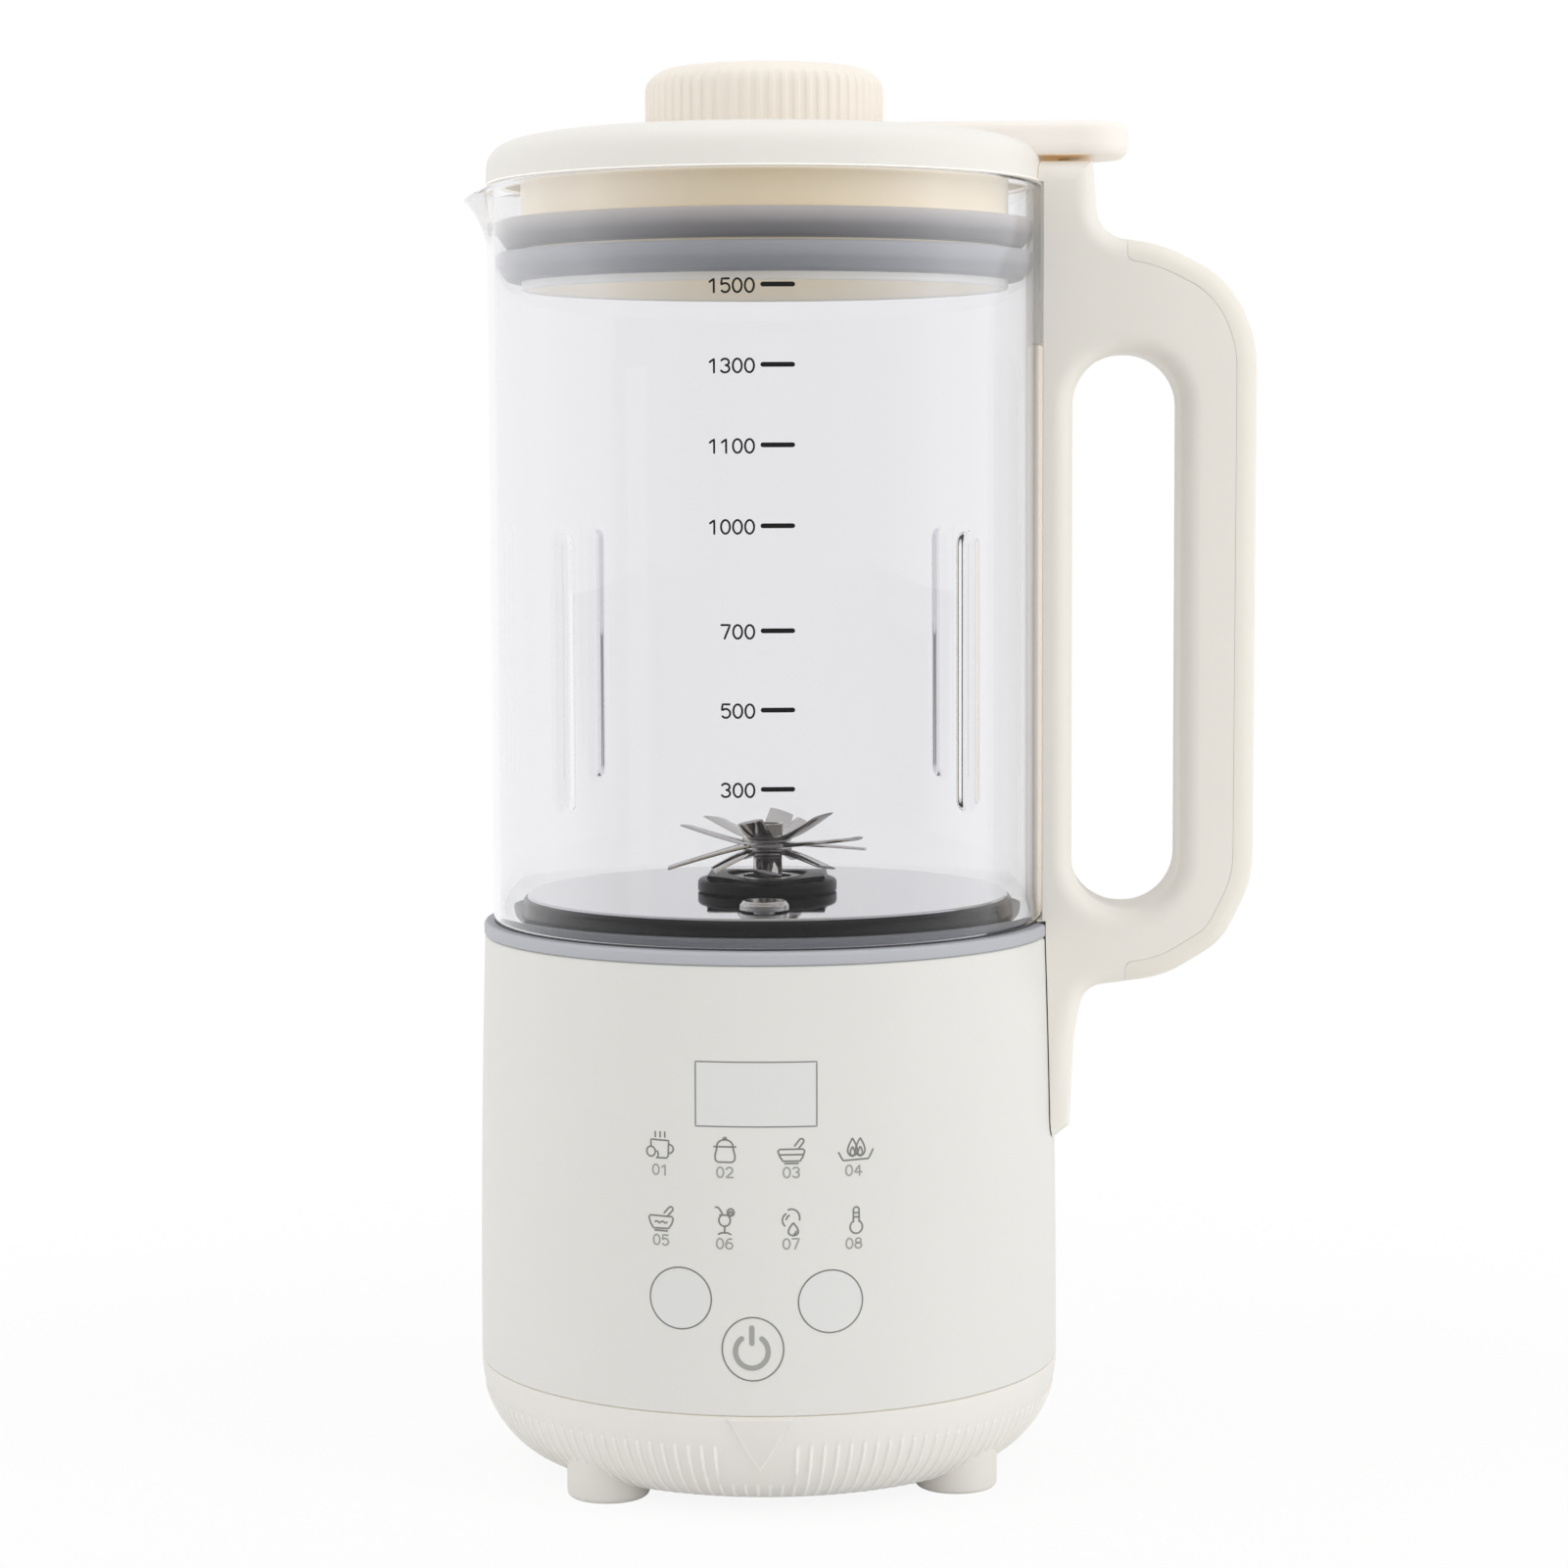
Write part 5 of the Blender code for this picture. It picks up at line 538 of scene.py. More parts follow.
# %% Rounded path
def rounded(corners, closed=False, turn=11.0, margin=0.4):
    """Path through (x, y, radius) corners. Each corner becomes an arc that touches both its sides, and a short
    straight run beside the arc keeps the shading of the flats flat."""
    points = np.array([corner[:2] for corner in corners], float)
    before = points - np.roll(points, 1, axis=0)
    length = np.linalg.norm(before, axis=1)
    count = len(corners)
    ends = set() if closed else {0, count - 1}
    reach = np.zeros(count)
    for i in range(count):
        if i in ends or corners[i][2] == 0:
            continue
        toward = -before[i] / length[i]
        onward = before[(i + 1) % count] / length[(i + 1) % count]
        half = math.acos(float(np.clip(toward @ onward, -1, 1))) / 2
        reach[i] = corners[i][2] / math.tan(half)
    path = []
    for i in range(count):
        here, radius = points[i], corners[i][2]
        if i in ends or radius == 0:
            path.append(here)
            continue
        after = (i + 1) % count
        toward, onward = -before[i] / length[i], before[after] / length[after]
        half = math.acos(float(np.clip(toward @ onward, -1, 1))) / 2
        start = here + toward * reach[i]
        centre = here + (toward + onward) / np.linalg.norm(toward + onward) * radius / math.sin(half)
        total = math.pi - 2 * half
        side = start - centre
        finish = here + onward * reach[i] - centre
        sign = 1.0 if side[0] * finish[1] - side[1] * finish[0] > 0 else -1.0
        swing = np.linspace(0, total, max(3, math.ceil(math.degrees(total) / turn) + 1)) * sign
        arc = centre + np.stack([side[0] * np.cos(swing) - side[1] * np.sin(swing),
                                 side[0] * np.sin(swing) + side[1] * np.cos(swing)], axis=-1)
        free = length[i] - reach[i] - reach[i - 1]
        if free > 0.3:
            path.append(start + toward * min(margin, free / 3))
        path.extend(arc)
        free = length[after] - reach[i] - reach[after]
        if free > 0.3:
            path.append(here + onward * (reach[i] + min(margin, free / 3)))
    return np.array(path)


print("rounded square:", len(rounded([(0, 0, 1), (9, 0, 1), (9, 9, 1), (0, 9, 1)], closed=True)), "points")

# %% [markdown]
# ## Cutting and dressing
#
# A hole or a recess is cut by a second solid, as a drill would. Then a piece gets its finish and its place in the
# machine's motion, and the frame pieces that it stands for are hidden.

# %% Cut, dress and paint
def combined(piece, tool, way="DIFFERENCE", sharp=38.0):
    """The piece cut by, joined with or kept inside a tool, which is then removed."""
    step = piece.modifiers.new("step", "BOOLEAN")
    step.operation = way
    step.solver = "EXACT"
    step.object = tool
    graph = bpy.context.evaluated_depsgraph_get()
    mesh = bpy.data.meshes.new_from_object(piece.evaluated_get(graph))
    piece.modifiers.clear()
    piece.data = mesh
    bpy.data.objects.remove(tool)
    return sealed(piece, sharp)


def dress(piece, body, slot, finish, *nodes):
    """Give a piece its finish, attach it to the body it rides on and hide the frame pieces that it stands for."""
    piece.data.materials.clear()
    piece.data.materials.append(finish)
    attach(piece, body)
    if nodes:
        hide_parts(*nodes)
    print(piece.name, len(piece.data.polygons), "faces")
    return piece


def paint(finish, *nodes):
    """Give frame pieces that keep their own shape a better finish."""
    for node in nodes:
        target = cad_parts[node]
        if not target.material_slots:
            target.data.materials.append(finish)
        for spot in target.material_slots:
            spot.material = finish


print("surface helpers ready")

# %% [markdown]
# ## Box, slab and rod
#
# A few hidden cutters and the handle need shapes with flat sides. A slab is an outline carried across its
# thickness: near each face the outline moves inwards along a quarter circle, which rounds the edge. The two flat
# faces are filled between the outline and its holes.

# %% Slab helper
def offset(outline, depth):
    """Closed outline moved to its left by a depth, measured square to the two sides that meet at each point."""
    ahead = np.roll(outline, -1, axis=0) - outline
    ahead /= np.linalg.norm(ahead, axis=1, keepdims=True)
    behind = np.roll(ahead, 1, axis=0)
    normal = np.stack([-(ahead + behind)[:, 1], (ahead + behind)[:, 0]], axis=-1)
    scale = 2 / np.maximum((normal ** 2).sum(axis=1, keepdims=True), 1e-9)
    return outline + normal * scale * depth


def dense(line, spacing=0.5):
    """The same line with extra points, so that a long straight stroke can follow a curved surface."""
    line = np.asarray(line, float)
    made = [line[:1]]
    for a, b in zip(line[:-1], line[1:]):
        count = max(1, int(math.ceil(np.linalg.norm(b - a) / spacing)))
        made.append(a + (b - a) * np.linspace(0, 1, count + 1)[1:, None])
    return np.vstack(made)


def area_sign(outline):
    """Plus one for an outline that runs counter-clockwise, minus one for clockwise."""
    x, y = outline[:, 0], outline[:, 1]
    return 1.0 if (x * np.roll(y, -1) - np.roll(x, -1) * y).sum() > 0 else -1.0


def slab(name, outlines, half, edge=0.0, steps=7, upright=True, margin=0.5):
    """Outlines (outer first, then holes) carried from -half to +half. In the last stretch before each face the
    outline moves inwards by edge (1 - cos t) while the height rises by edge sin t."""
    turn = np.linspace(0, math.pi / 2, steps) if edge else np.zeros(1)
    inset = edge * (1 - np.cos(turn))
    height = half - edge + edge * np.sin(turn)
    if edge:
        inset = np.concatenate([[0.0], inset, [edge + margin]])
        height = np.concatenate([[half - edge - margin], height, [half]])
    inset = np.concatenate([inset[::-1], inset])
    height = np.concatenate([height[::-1], -height])
    places, faces, rims = [], [], []
    first = 0
    for number, outline in enumerate(outlines):
        inward = area_sign(outline) * (1.0 if number == 0 else -1.0)
        rows = [np.column_stack([offset(outline, inward * depth), np.full(len(outline), level)])
                for depth, level in zip(inset, height)]
        points = np.array(rows)
        places.append(points.reshape(-1, 3))
        faces += grid_faces(len(rows), len(outline), closed_v=True, first=first)
        rims.append((first, len(outline), first + (len(rows) - 1) * len(outline)))
        first += len(rows) * len(outline)
    places = np.vstack(places)
    for end in (0, 2):
        runs = [(rim[end], rim[1]) for rim in rims]
        numbers = np.concatenate([np.arange(count) + begin for begin, count in runs])
        loops = [np.column_stack([places[begin:begin + count, :2], np.zeros(count)]).tolist()
                 for begin, count in runs]
        faces += [numbers[list(face)].tolist() for face in tessellate_polygon(loops)]
    if upright:
        places = np.stack([places[:, 0], places[:, 2], places[:, 1]], axis=-1)
    return sealed(solid(name, places, faces))


def box(name, low, high):
    """A plain cutter between two corners."""
    (x0, y0, z0), (x1, y1, z1) = low, high
    outline = np.array([(x0, y0), (x1, y0), (x1, y1), (x0, y1)], float)
    return moved(slab(name, [outline], (z1 - z0) / 2, upright=False), z=(z0 + z1) / 2)


def rod(name, radius, bottom, top, x):
    """A plain upright pin at a place along X."""
    return moved(turned(name, [(0, top), (radius, top), (radius, bottom), (0, bottom)], 32), x=x)


print("slab, box and rod ready")

# %% [markdown]
# ## Base housing
#
# The base is a tub, a little narrower at the top, with a deck that carries the jar. It could be a stretched
# cylinder, but the barrel line is what catches the light, so the wall is turned from its own formula: the radius
# shrinks with the square of the height above the seam. The socket's seat is cut in the back.

# %% Base housing
SEAM, DECK = 24.0, 119.35
BASE_R, BARREL = 65.0, 1.6
SHELL_LOW, DECK_UNDER, SHELL_WALL, OPENING_R = 24.15, 116.95, 2.4, 50.0


def housing_radius(height):
    """The radius at the seam, less the barrel's 1.6 mm times the square of the share of the height above it."""
    return BASE_R - BARREL * ((np.asarray(height, float) - SEAM) / (DECK - SEAM)) ** 2


side_z = np.linspace(24.6, 118.3, 24)
outer = np.column_stack([housing_radius(side_z), side_z])[::-1]
top_r = float(housing_radius(DECK))
inner_z = np.linspace(DECK_UNDER, SHELL_LOW, 8)
inner = np.column_stack([housing_radius(inner_z) - SHELL_WALL, inner_z])
top_edge = rounded([(OPENING_R, DECK, 0), (top_r, DECK, 0.8), tuple(outer[0]) + (0,)])
low_edge = rounded([tuple(outer[-1]) + (0,), (float(housing_radius(SHELL_LOW)), SHELL_LOW, 0.25),
                    (62.6, SHELL_LOW, 0)], margin=0.1)
profile = np.vstack([top_edge[:-1], outer[:-1], low_edge, inner[::-1], [(OPENING_R, DECK_UNDER)]])
housing = turned("housing", profile, 256, loop=True)
print("housing shell:", len(housing.data.polygons), "faces")

# %% Seat of the mains inlet in the back
SEAT_Y, SEAT_HALF, SEAT_LOW, SEAT_HIGH, SEAT_CORNER, CUT_HALF = 61.42, 16.0, 31.7, 56.3, 2.4, 10.0
housing = combined(housing, box("boss", (-17.5, SEAT_Y - 6, 30), (17.5, SEAT_Y, 58)), "UNION")
seat_outline = rounded([(-SEAT_HALF, SEAT_LOW, SEAT_CORNER), (SEAT_HALF, SEAT_LOW, SEAT_CORNER),
                        (SEAT_HALF, SEAT_HIGH, SEAT_CORNER), (-SEAT_HALF, SEAT_HIGH, SEAT_CORNER)], closed=True)
housing = combined(housing, moved(slab("seat", [seat_outline], CUT_HALF), y=SEAT_Y + CUT_HALF))
housing = combined(housing, box("window", (-14.0, 50, 33.7), (14.0, 72, 54.3)), sharp=30)
dress(housing, "machine", "cream_plastic", housing_cream, "base_housing")

# %% [markdown]
# ## Bottom bowl with its fine ribs
#
# Below the seam the base rounds into a bowl that is ribbed all round, 138 ribs, with a plain patch around a
# pointer. A bump map would give no outline, so the ribs are real: the radius grows by a raised cosine across
# each rib. Columns sit only where the rib needs them, eight to a rib, so that the mesh stays light.

# %% Bottom bowl
BOWL_FLAT, BOWL_REACH, BOWL_DROP, BOWL_WALL = 45.0, 20.0, 22.0, 2.2
RIB_TOP, RIB_LIFT, RIB_HALF, PLAIN_HALF = 17.8, 0.40, 0.42, 8.3
pitch = 2 * math.pi / RIBS
shares = np.array([-0.5, -0.3, -0.16, -0.09, 0.0, 0.09, 0.16, 0.3])
column_angle = (np.arange(RIBS)[:, None] * pitch + shares * pitch).ravel() - math.pi / 2
across = np.tile(np.abs(shares) * pitch, RIBS)


def bowl_point(t, inwards=0.0):
    """Quarter ellipse from the seam, t = 0, to the flat floor, t = 90 degrees, or one that lies further in."""
    return BOWL_FLAT + (BOWL_REACH - inwards) * np.cos(t), SEAM - (BOWL_DROP - inwards) * np.sin(t)


def bowl_slope(t):
    """Heading of outwards at t: the arctangent of drop cos t over reach sin t."""
    return np.arctan2(BOWL_DROP * np.cos(t), BOWL_REACH * np.sin(t))[:, None]


down = np.concatenate([[0.0], np.radians(np.linspace(1.2, 88.0, 33)), [math.pi / 2]])
base_r, base_z = bowl_point(down)
base_z[0] = 23.85
rise_width = RIB_HALF / base_r[:, None]
rib = np.where(across < rise_width, np.cos(across / rise_width * math.pi / 2), 0.0)
start = np.clip((RIB_TOP - base_z[:, None]) / 1.1, 0, 1) ** 0.5
finish_low = np.clip((base_z[:, None] - 2.5) / 2.5, 0, 1)
beside = np.abs((column_angle + math.pi / 2 + math.pi) % (2 * math.pi) - math.pi) * base_r[:, None]
under_pointer = np.clip((7.8 - base_z[:, None]) / 0.6, 0, 1)
allowed = np.where(beside > PLAIN_HALF, 1.0, under_pointer)
lift = RIB_LIFT * rib * start * finish_low * allowed
slope = bowl_slope(down)
radius = base_r[:, None] + lift * np.sin(slope)
height = base_z[:, None] - lift * np.cos(slope)
skin_points = polar(radius, column_angle, height)
print("bowl skin:", skin_points.shape[:2], "points")

# %% Bowl wall and floor
def collar(radius, height):
    """A row of points all round at one radius and height, on the same columns."""
    return polar(radius, column_angle, height)[None]


inside_t = np.radians(np.linspace(80, 4, 9))
inside = [collar(*bowl_point(t, BOWL_WALL)) for t in inside_t]
wall = np.vstack([collar(60.3, 30.0), collar(64.35, 30.0), collar(64.4, 23.98), collar(64.8, 23.98), skin_points,
                  collar(43.6, 2.0), collar(43.6, 4.2)] + inside + [collar(60.3, 22.0)])
bowl = surface("bowl", wall, closed_u=True, closed_v=True, sharp=50)
dress(bowl, "machine", "cream_plastic", ribbed_cream, "bottom_bowl")

# %% Cooling slots
SLOTS, SLOT_IN, SLOT_OUT, SLOT_HALF = 8, 21, 37, 1.5
floor_disc = turned("bowl_floor", rounded([(0, 4.2, 0), (44.4, 4.2, 0), (44.4, 2.0, 0), (0, 2.0, 0)]), 96)
for number in range(SLOTS):
    slot_angle = math.radians((number + 0.5) * 360 / SLOTS)
    outline = rounded([(SLOT_IN, -SLOT_HALF, 1.49), (SLOT_OUT, -SLOT_HALF, 1.49), (SLOT_OUT, SLOT_HALF, 1.49),
                       (SLOT_IN, SLOT_HALF, 1.49)], closed=True, margin=0.2)
    slot_cutter = slab("slot", [outline], 10.0, upright=False)
    slot_cutter.data.transform(Matrix.Rotation(slot_angle, 4, "Z"))
    floor_disc = combined(floor_disc, slot_cutter)
dress(floor_disc, "machine", "cream_plastic", bowl_cream, "bottom_bowl")

# %% [markdown]
# ## Pointer
#
# A small raised triangle hangs from the seam. It follows the bowl's curve, so it is a grid in the triangle's own
# height and width, laid on the bowl's formula and lifted. Its outline walls drop back into the bowl.

# %% Pointer
levels = np.linspace(0.0, 1.0, 22)
widths = np.linspace(-1.0, 1.0, 21)
POINTER_TOP, POINTER_TIP, POINTER_HALF, POINTER_ASIDE = 23.75, 11.4, 7.5, 0.8
POINTER_LIFT, POINTER_SUNK, EDGE_RUN, POINTER_WALL = 0.74, 0.3, 0.25, 0.6
level_z = POINTER_TOP + (POINTER_TIP - POINTER_TOP) * levels
t = np.arcsin(np.clip((SEAM - level_z) / BOWL_DROP, 0, 1))
mid_r = bowl_point(t)[0]
span = np.maximum(POINTER_HALF * (1 - levels), 0.05)
sideways = widths[None] * span[:, None]
edge_gap = np.maximum((1 - np.abs(widths[None])) * span[:, None], 0)
rise = np.minimum(1.0, edge_gap / EDGE_RUN) ** 0.5 * np.minimum(1.0, levels[:, None] * 11.5 / EDGE_RUN) ** 0.5
lift = POINTER_LIFT * rise - POINTER_SUNK
turn = (sideways + POINTER_ASIDE) / mid_r[:, None] - math.pi / 2
slope = bowl_slope(t)
pointer = surface("pointer", polar(mid_r[:, None] + lift * np.sin(slope), turn,
                                   level_z[:, None] - lift * np.cos(slope)))
thick = pointer.modifiers.new("wall", "SOLIDIFY")
thick.thickness = POINTER_WALL * MM
thick.offset = -1.0
print("pointer:", len(pointer.data.polygons), "faces")

# %% Pointer's painted edge highlight
EDGE_BAND = 0.4
where = np.empty(len(pointer.data.vertices) * 3, np.float32)
pointer.data.vertices.foreach_get("co", where)
where = where.reshape(-1, 3).astype(float) / MM
down_share = (POINTER_TOP - where[:, 2]) / (POINTER_TOP - POINTER_TIP)
along = np.arctan2(where[:, 0], -where[:, 1]) * np.hypot(where[:, 0], where[:, 1])
to_edge = np.minimum(POINTER_HALF * (1 - down_share) - np.abs(along - POINTER_ASIDE),
                     (POINTER_TOP - POINTER_TIP) * down_share)
highlight_share = pointer.data.attributes.new("edge", "FLOAT", "POINT")
highlight_share.data.foreach_set("value", np.clip(1.4 - to_edge / EDGE_BAND, 0, 1))
# The pointer's outline is painted lighter than its face: a painted highlight where its small rounded edge would catch
# the light.
pointer_cream = moulded("pointer_cream", (229, 226, 220), 0.42)
tree = pointer_cream.node_tree
rim_highlight = tone_mix(tree, (231, 227, 222), (250, 248, 244))
join_up(tree, (add(tree, "ShaderNodeAttribute", attribute_name="edge"), "Fac", rim_highlight, "Factor"))
recolour(pointer_cream, rim_highlight, "Result")
dress(pointer, "machine", "cream_plastic", pointer_cream)

# %% [markdown]
# ## Feet
#
# Four short feet grow out of the bowl. Each is a turned stub whose top is cut by the bowl's own curve, so that no
# gap shows between them from any side.

# %% Feet
FOOT_R, FOOT_SIDE, FOOT_CIRCLE, SUNK_OUT, SUNK_UP = 9.0, 14.0, 51.0, 0.2, 0.4
FEET = {"foot_rear_right": 50.2, "foot_rear_left": 140.2, "foot_front_left": 229.0, "foot_front_right": 325.8}


def under_bowl(x, y):
    """Height just inside the bowl's wall: seam less drop times the root of 1 minus the square of the reach used."""
    away = np.clip((np.hypot(x, y) - BOWL_FLAT) / (BOWL_REACH + SUNK_OUT), 0, 0.999)
    return SEAM - (BOWL_DROP - SUNK_UP) * np.sqrt(1 - away ** 2)


foot_rows = rounded([(0, 0, 0), (FOOT_R, 0, 1.2), (FOOT_R, FOOT_SIDE, 0)], margin=0.3)
around = np.linspace(0, 2 * math.pi, 72, endpoint=False)
for name, heading in FEET.items():
    direction = math.radians(heading)
    centre = (FOOT_CIRCLE * math.cos(direction), FOOT_CIRCLE * math.sin(direction))
    x = centre[0] + foot_rows[:, 0, None] * np.cos(around)
    y = centre[1] + foot_rows[:, 0, None] * np.sin(around)
    under = under_bowl(x, y)
    stub = foot_rows[:, 1, None]
    z = np.where(stub > FOOT_SIDE - 1, under, np.minimum(stub + 0 * x, under))
    shrink = np.array([0.75, 0.5, 0.25, 0.0])[:, None]
    top_x, top_y = centre[0] + (x[-1] - centre[0]) * shrink, centre[1] + (y[-1] - centre[1]) * shrink
    points = np.vstack([np.stack([x, y, z], axis=-1), np.stack([top_x, top_y, under_bowl(top_x, top_y)], axis=-1)])
    foot = surface(name.replace("foot", "dressed_foot"), points, closed_v=True)
    dress(foot, "machine", "rubber", foot_cream, name)

# %% [markdown]
# ## Ring under the jar
#
# A silicone ring seals the glass against the deck. Outside it shows as a grey band, and through the glass its
# inner shoulder is seen around the plate.

# %% Ring seal
ring_profile = rounded([(50.0, 119.38, 0.3), (63.6, 119.38, 0.5), (63.6, 122.3, 0.9), (59.3, 122.3, 0.2),
                        (59.3, 124.6, 0.7), (50.0, 124.6, 0.3)], closed=True, margin=0.3)
ring_seal = turned("ring_seal", ring_profile, 224, loop=True)
dress(ring_seal, "machine", "grey_silicone", ring_grey, "jar_ring_seal")
# A thin dark ring under the glass's bottom edge is painted shade: it stands for the dark line that the edge of the
# glass shows, and is no part of the machine.
glass_edge_shade_rows = rounded([(59.8, 122.32, 0.1), (61.3, 122.32, 0.1), (61.3, 122.58, 0.1), (59.8, 122.58, 0.1)],
                    closed=True, margin=0.02)
seat_bead = turned("seat_bead", glass_edge_shade_rows, 160, loop=True)
dress(seat_bead, "machine", "grey_silicone", seat_grey)

# %% [markdown]
# ## Glass jar
#
# The tube has a pinched spout and four flow ribs pressed in from outside: a groove outside, a bump inside, both
# shaped like a long drop. The wall is one closed grid. Each point starts on the plain tube, then the groove, the
# bump and the spout move it. Columns and rows are packed only where the shape changes fast.

# %% Glass jar
JAR_R, JAR_IN, JAR_LOW, JAR_TOP = 61.45, 59.6, 122.6, 285.0


def packed(low, high, spacing, fine_spots, fine_spacing, half):
    """Stations from low to high, wide apart, and closer together near each fine spot."""
    stations = [np.arange(low, high, spacing)]
    for spot in fine_spots:
        stations = [s[(s < spot - half) | (s > spot + half)] for s in stations]
        stations.append(np.arange(spot - half, spot + half + fine_spacing / 2, fine_spacing))
    return np.unique(np.round(np.concatenate(stations), 5))


def hump(distance, half):
    """Squared cosine: one at distance zero, and zero from half the width outwards."""
    return np.where(distance < half, np.cos(distance / half * math.pi / 2) ** 2, 0.0)


SPOUT_LOW, SPOUT_AT, SPOUT_HALF = 270.0, 180.0, 17.0
FLOW_MIDDLE, FLOW_HALF_RUN, GROOVE_DEEP, GROOVE_HALF, SWELL_HIGH, SWELL_HALF = 179.6, 27.0, 1.4, 3.2, 1.5, 3.8
rib_spots = [49.0, 135.0, 227.3, 317.5]
jar_angle = np.radians(packed(0.0, 360.0, 3.0, rib_spots + [SPOUT_AT], 0.55, 6.05))
extra = np.radians(np.concatenate([np.arange(162.5, 174.0, 1.1), np.arange(186.5, 198.0, 1.1)]))
jar_angle = np.unique(np.concatenate([jar_angle, extra]))
body_z = packed(JAR_LOW + 0.9, SPOUT_LOW, 5.0, [152.0, 207.5], 0.62, 5.6)
spout_z = np.linspace(SPOUT_LOW, JAR_TOP - 0.93, 16)
wall_z = np.concatenate([body_z, spout_z])
mid_r, half_r = (JAR_R + JAR_IN) / 2, (JAR_R - JAR_IN) / 2
rim_turn = np.linspace(0, math.pi, 9)[1:-1]
rows_r = np.concatenate([np.full(len(wall_z), JAR_R), mid_r + half_r * np.cos(rim_turn),
                         np.full(len(wall_z), JAR_IN), mid_r - half_r * np.cos(rim_turn)])
rows_z = np.concatenate([wall_z, JAR_TOP - 0.925 + half_r * np.sin(rim_turn), wall_z[::-1],
                         JAR_LOW + 0.925 - half_r * np.sin(rim_turn)])
print("jar grid:", len(rows_r), "rows,", len(jar_angle), "columns")

# %% Flow ribs and spout
outside = ((rows_r - JAR_IN) / (JAR_R - JAR_IN))[:, None]
long_way = np.maximum(np.abs(rows_z - FLOW_MIDDLE) - FLOW_HALF_RUN, 0.0)[:, None]
groove = np.zeros((len(rows_z), len(jar_angle)))
bump_in = np.zeros_like(groove)
for spot in rib_spots:
    sideways = (jar_angle[None] - math.radians(spot)) * JAR_R
    from_line = np.hypot(sideways, long_way)
    groove += GROOVE_DEEP * hump(from_line, GROOVE_HALF)
    bump_in += SWELL_HIGH * hump(from_line, SWELL_HALF)
around = hump(np.abs(np.degrees(jar_angle) - SPOUT_AT)[None], SPOUT_HALF)
up = np.clip((rows_z - SPOUT_LOW) / (JAR_TOP - SPOUT_LOW), 0, 1)[:, None]
radius = rows_r[:, None] - groove * outside - bump_in * (1 - outside)
radius = radius + 5.8 * around * up ** 1.5 + 1.0 * around * up * (1 - outside)
height = rows_z[:, None] - 2.6 * around * up ** 3
jar = surface("jar", polar(radius, jar_angle, height), closed_u=True, closed_v=True, sharp=60)
dress(jar, "machine", "clear_glass", clear_glass, "glass_jar")

# %% [markdown]
# ## Plate, collar nut and probe
#
# The jar's floor is a stainless plate with a dark side. In its middle a black nut holds the blade bearing, and
# a small bright stud in front of it is the temperature probe.

# %% Plate
plate_top = turned("plate_top", rounded([(8.6, 127.0, 0), (8.6, 128.2, 0), (53.7, 128.2, 0.4), (53.95, 127.7, 0)],
                                        margin=0.2), 192)
dress(plate_top, "machine", "steel", plate_steel, "heating_plate")
plate_side = turned("plate_side", rounded([(53.4, 127.0, 0), (53.9, 127.95, 0.3), (54.8, 127.0, 0.7),
                                           (54.8, 124.9, 0.3), (53.4, 124.9, 0)], closed=True, margin=0.2), 192,
                    loop=True)
dress(plate_side, "machine", "steel", rim_steel, "heating_plate")

# %% [markdown]
# ## Collar nut
#
# The nut is a turned washer below and a hexagon above, with worn, wavy black lacquer. Instead of cutting flats,
# the radius itself is stretched to a hexagon's: it is the flat's distance over the cosine of the angle to the
# middle of the flat. A share that grows with the height blends the round part into it.

# %% Collar nut
nut_black = moulded("nut_black", (13, 12, 13), 0.34, drift=0.4, grain=1300.0, spread=0.25, depth=0.00009,
                    Specular_IOR_Level=0.22)
around = np.linspace(0, 2 * math.pi, 144, endpoint=False)
nut_rows = rounded([(8.7, 128.5, 0), (15.3, 128.5, 0.2), (15.3, 130.9, 0.9), (13.9, 131.3, 0.2), (13.5, 132.2, 0.4),
                    (8.7, 132.2, 0.4), (8.7, 128.5, 0)], turn=25, margin=0.2)
sixth = np.abs((around + math.pi / 6) % (math.pi / 3) - math.pi / 6)
hexagon = math.cos(math.pi / 6) / np.cos(math.pi / 6 - np.abs(math.pi / 6 - np.abs(sixth)))
crown = np.clip((nut_rows[:, 1] - 131.1) / 0.5, 0, 1)
share = crown * np.clip((nut_rows[:, 0] - 9.5) / 3.0, 0, 1)
scale = 1 + share[:, None] * (1.09 * hexagon[None] - 1)
nut_r = nut_rows[:, 0, None] * scale * 1.02
nut_z = nut_rows[:, 1, None] + 0.8 * crown[:, None] * (np.cos(around) ** 2 - 0.6)
nut = surface("nut", polar(nut_r, around, nut_z), closed_v=True)
dress(nut, "machine", "black_plastic", nut_black, "collar_nut")

# %% [markdown]
# ## Probe stud
#
# A turned steel pin in front of the nut feels how hot the milk is. It is turned on the axis like the other round
# pieces, and then its points, not its object, are moved to its place.

# %% Probe stud
probe = turned("probe", rounded([(0, 130.5, 0), (4.6, 130.5, 0.5), (5.0, 129.9, 0.2), (5.25, 129.7, 0.3),
                                 (5.25, 128.5, 0.2), (2.3, 128.5, 0), (2.3, 118.5, 0), (0, 118.5, 0)], margin=0.15), 72)
moved(probe, 1.1, -39.6)
dress(probe, "machine", "steel", stud_steel, "probe_stud")

# %% [markdown]
# ## Blades
#
# Three stampings sit on the shaft: long arms that point almost flat, a set bent up and a set bent down, each arm
# ground thin along its edges. An arm is a flat lens-shaped section carried from the hub along a bent path, and
# it narrows and thins towards its tip.

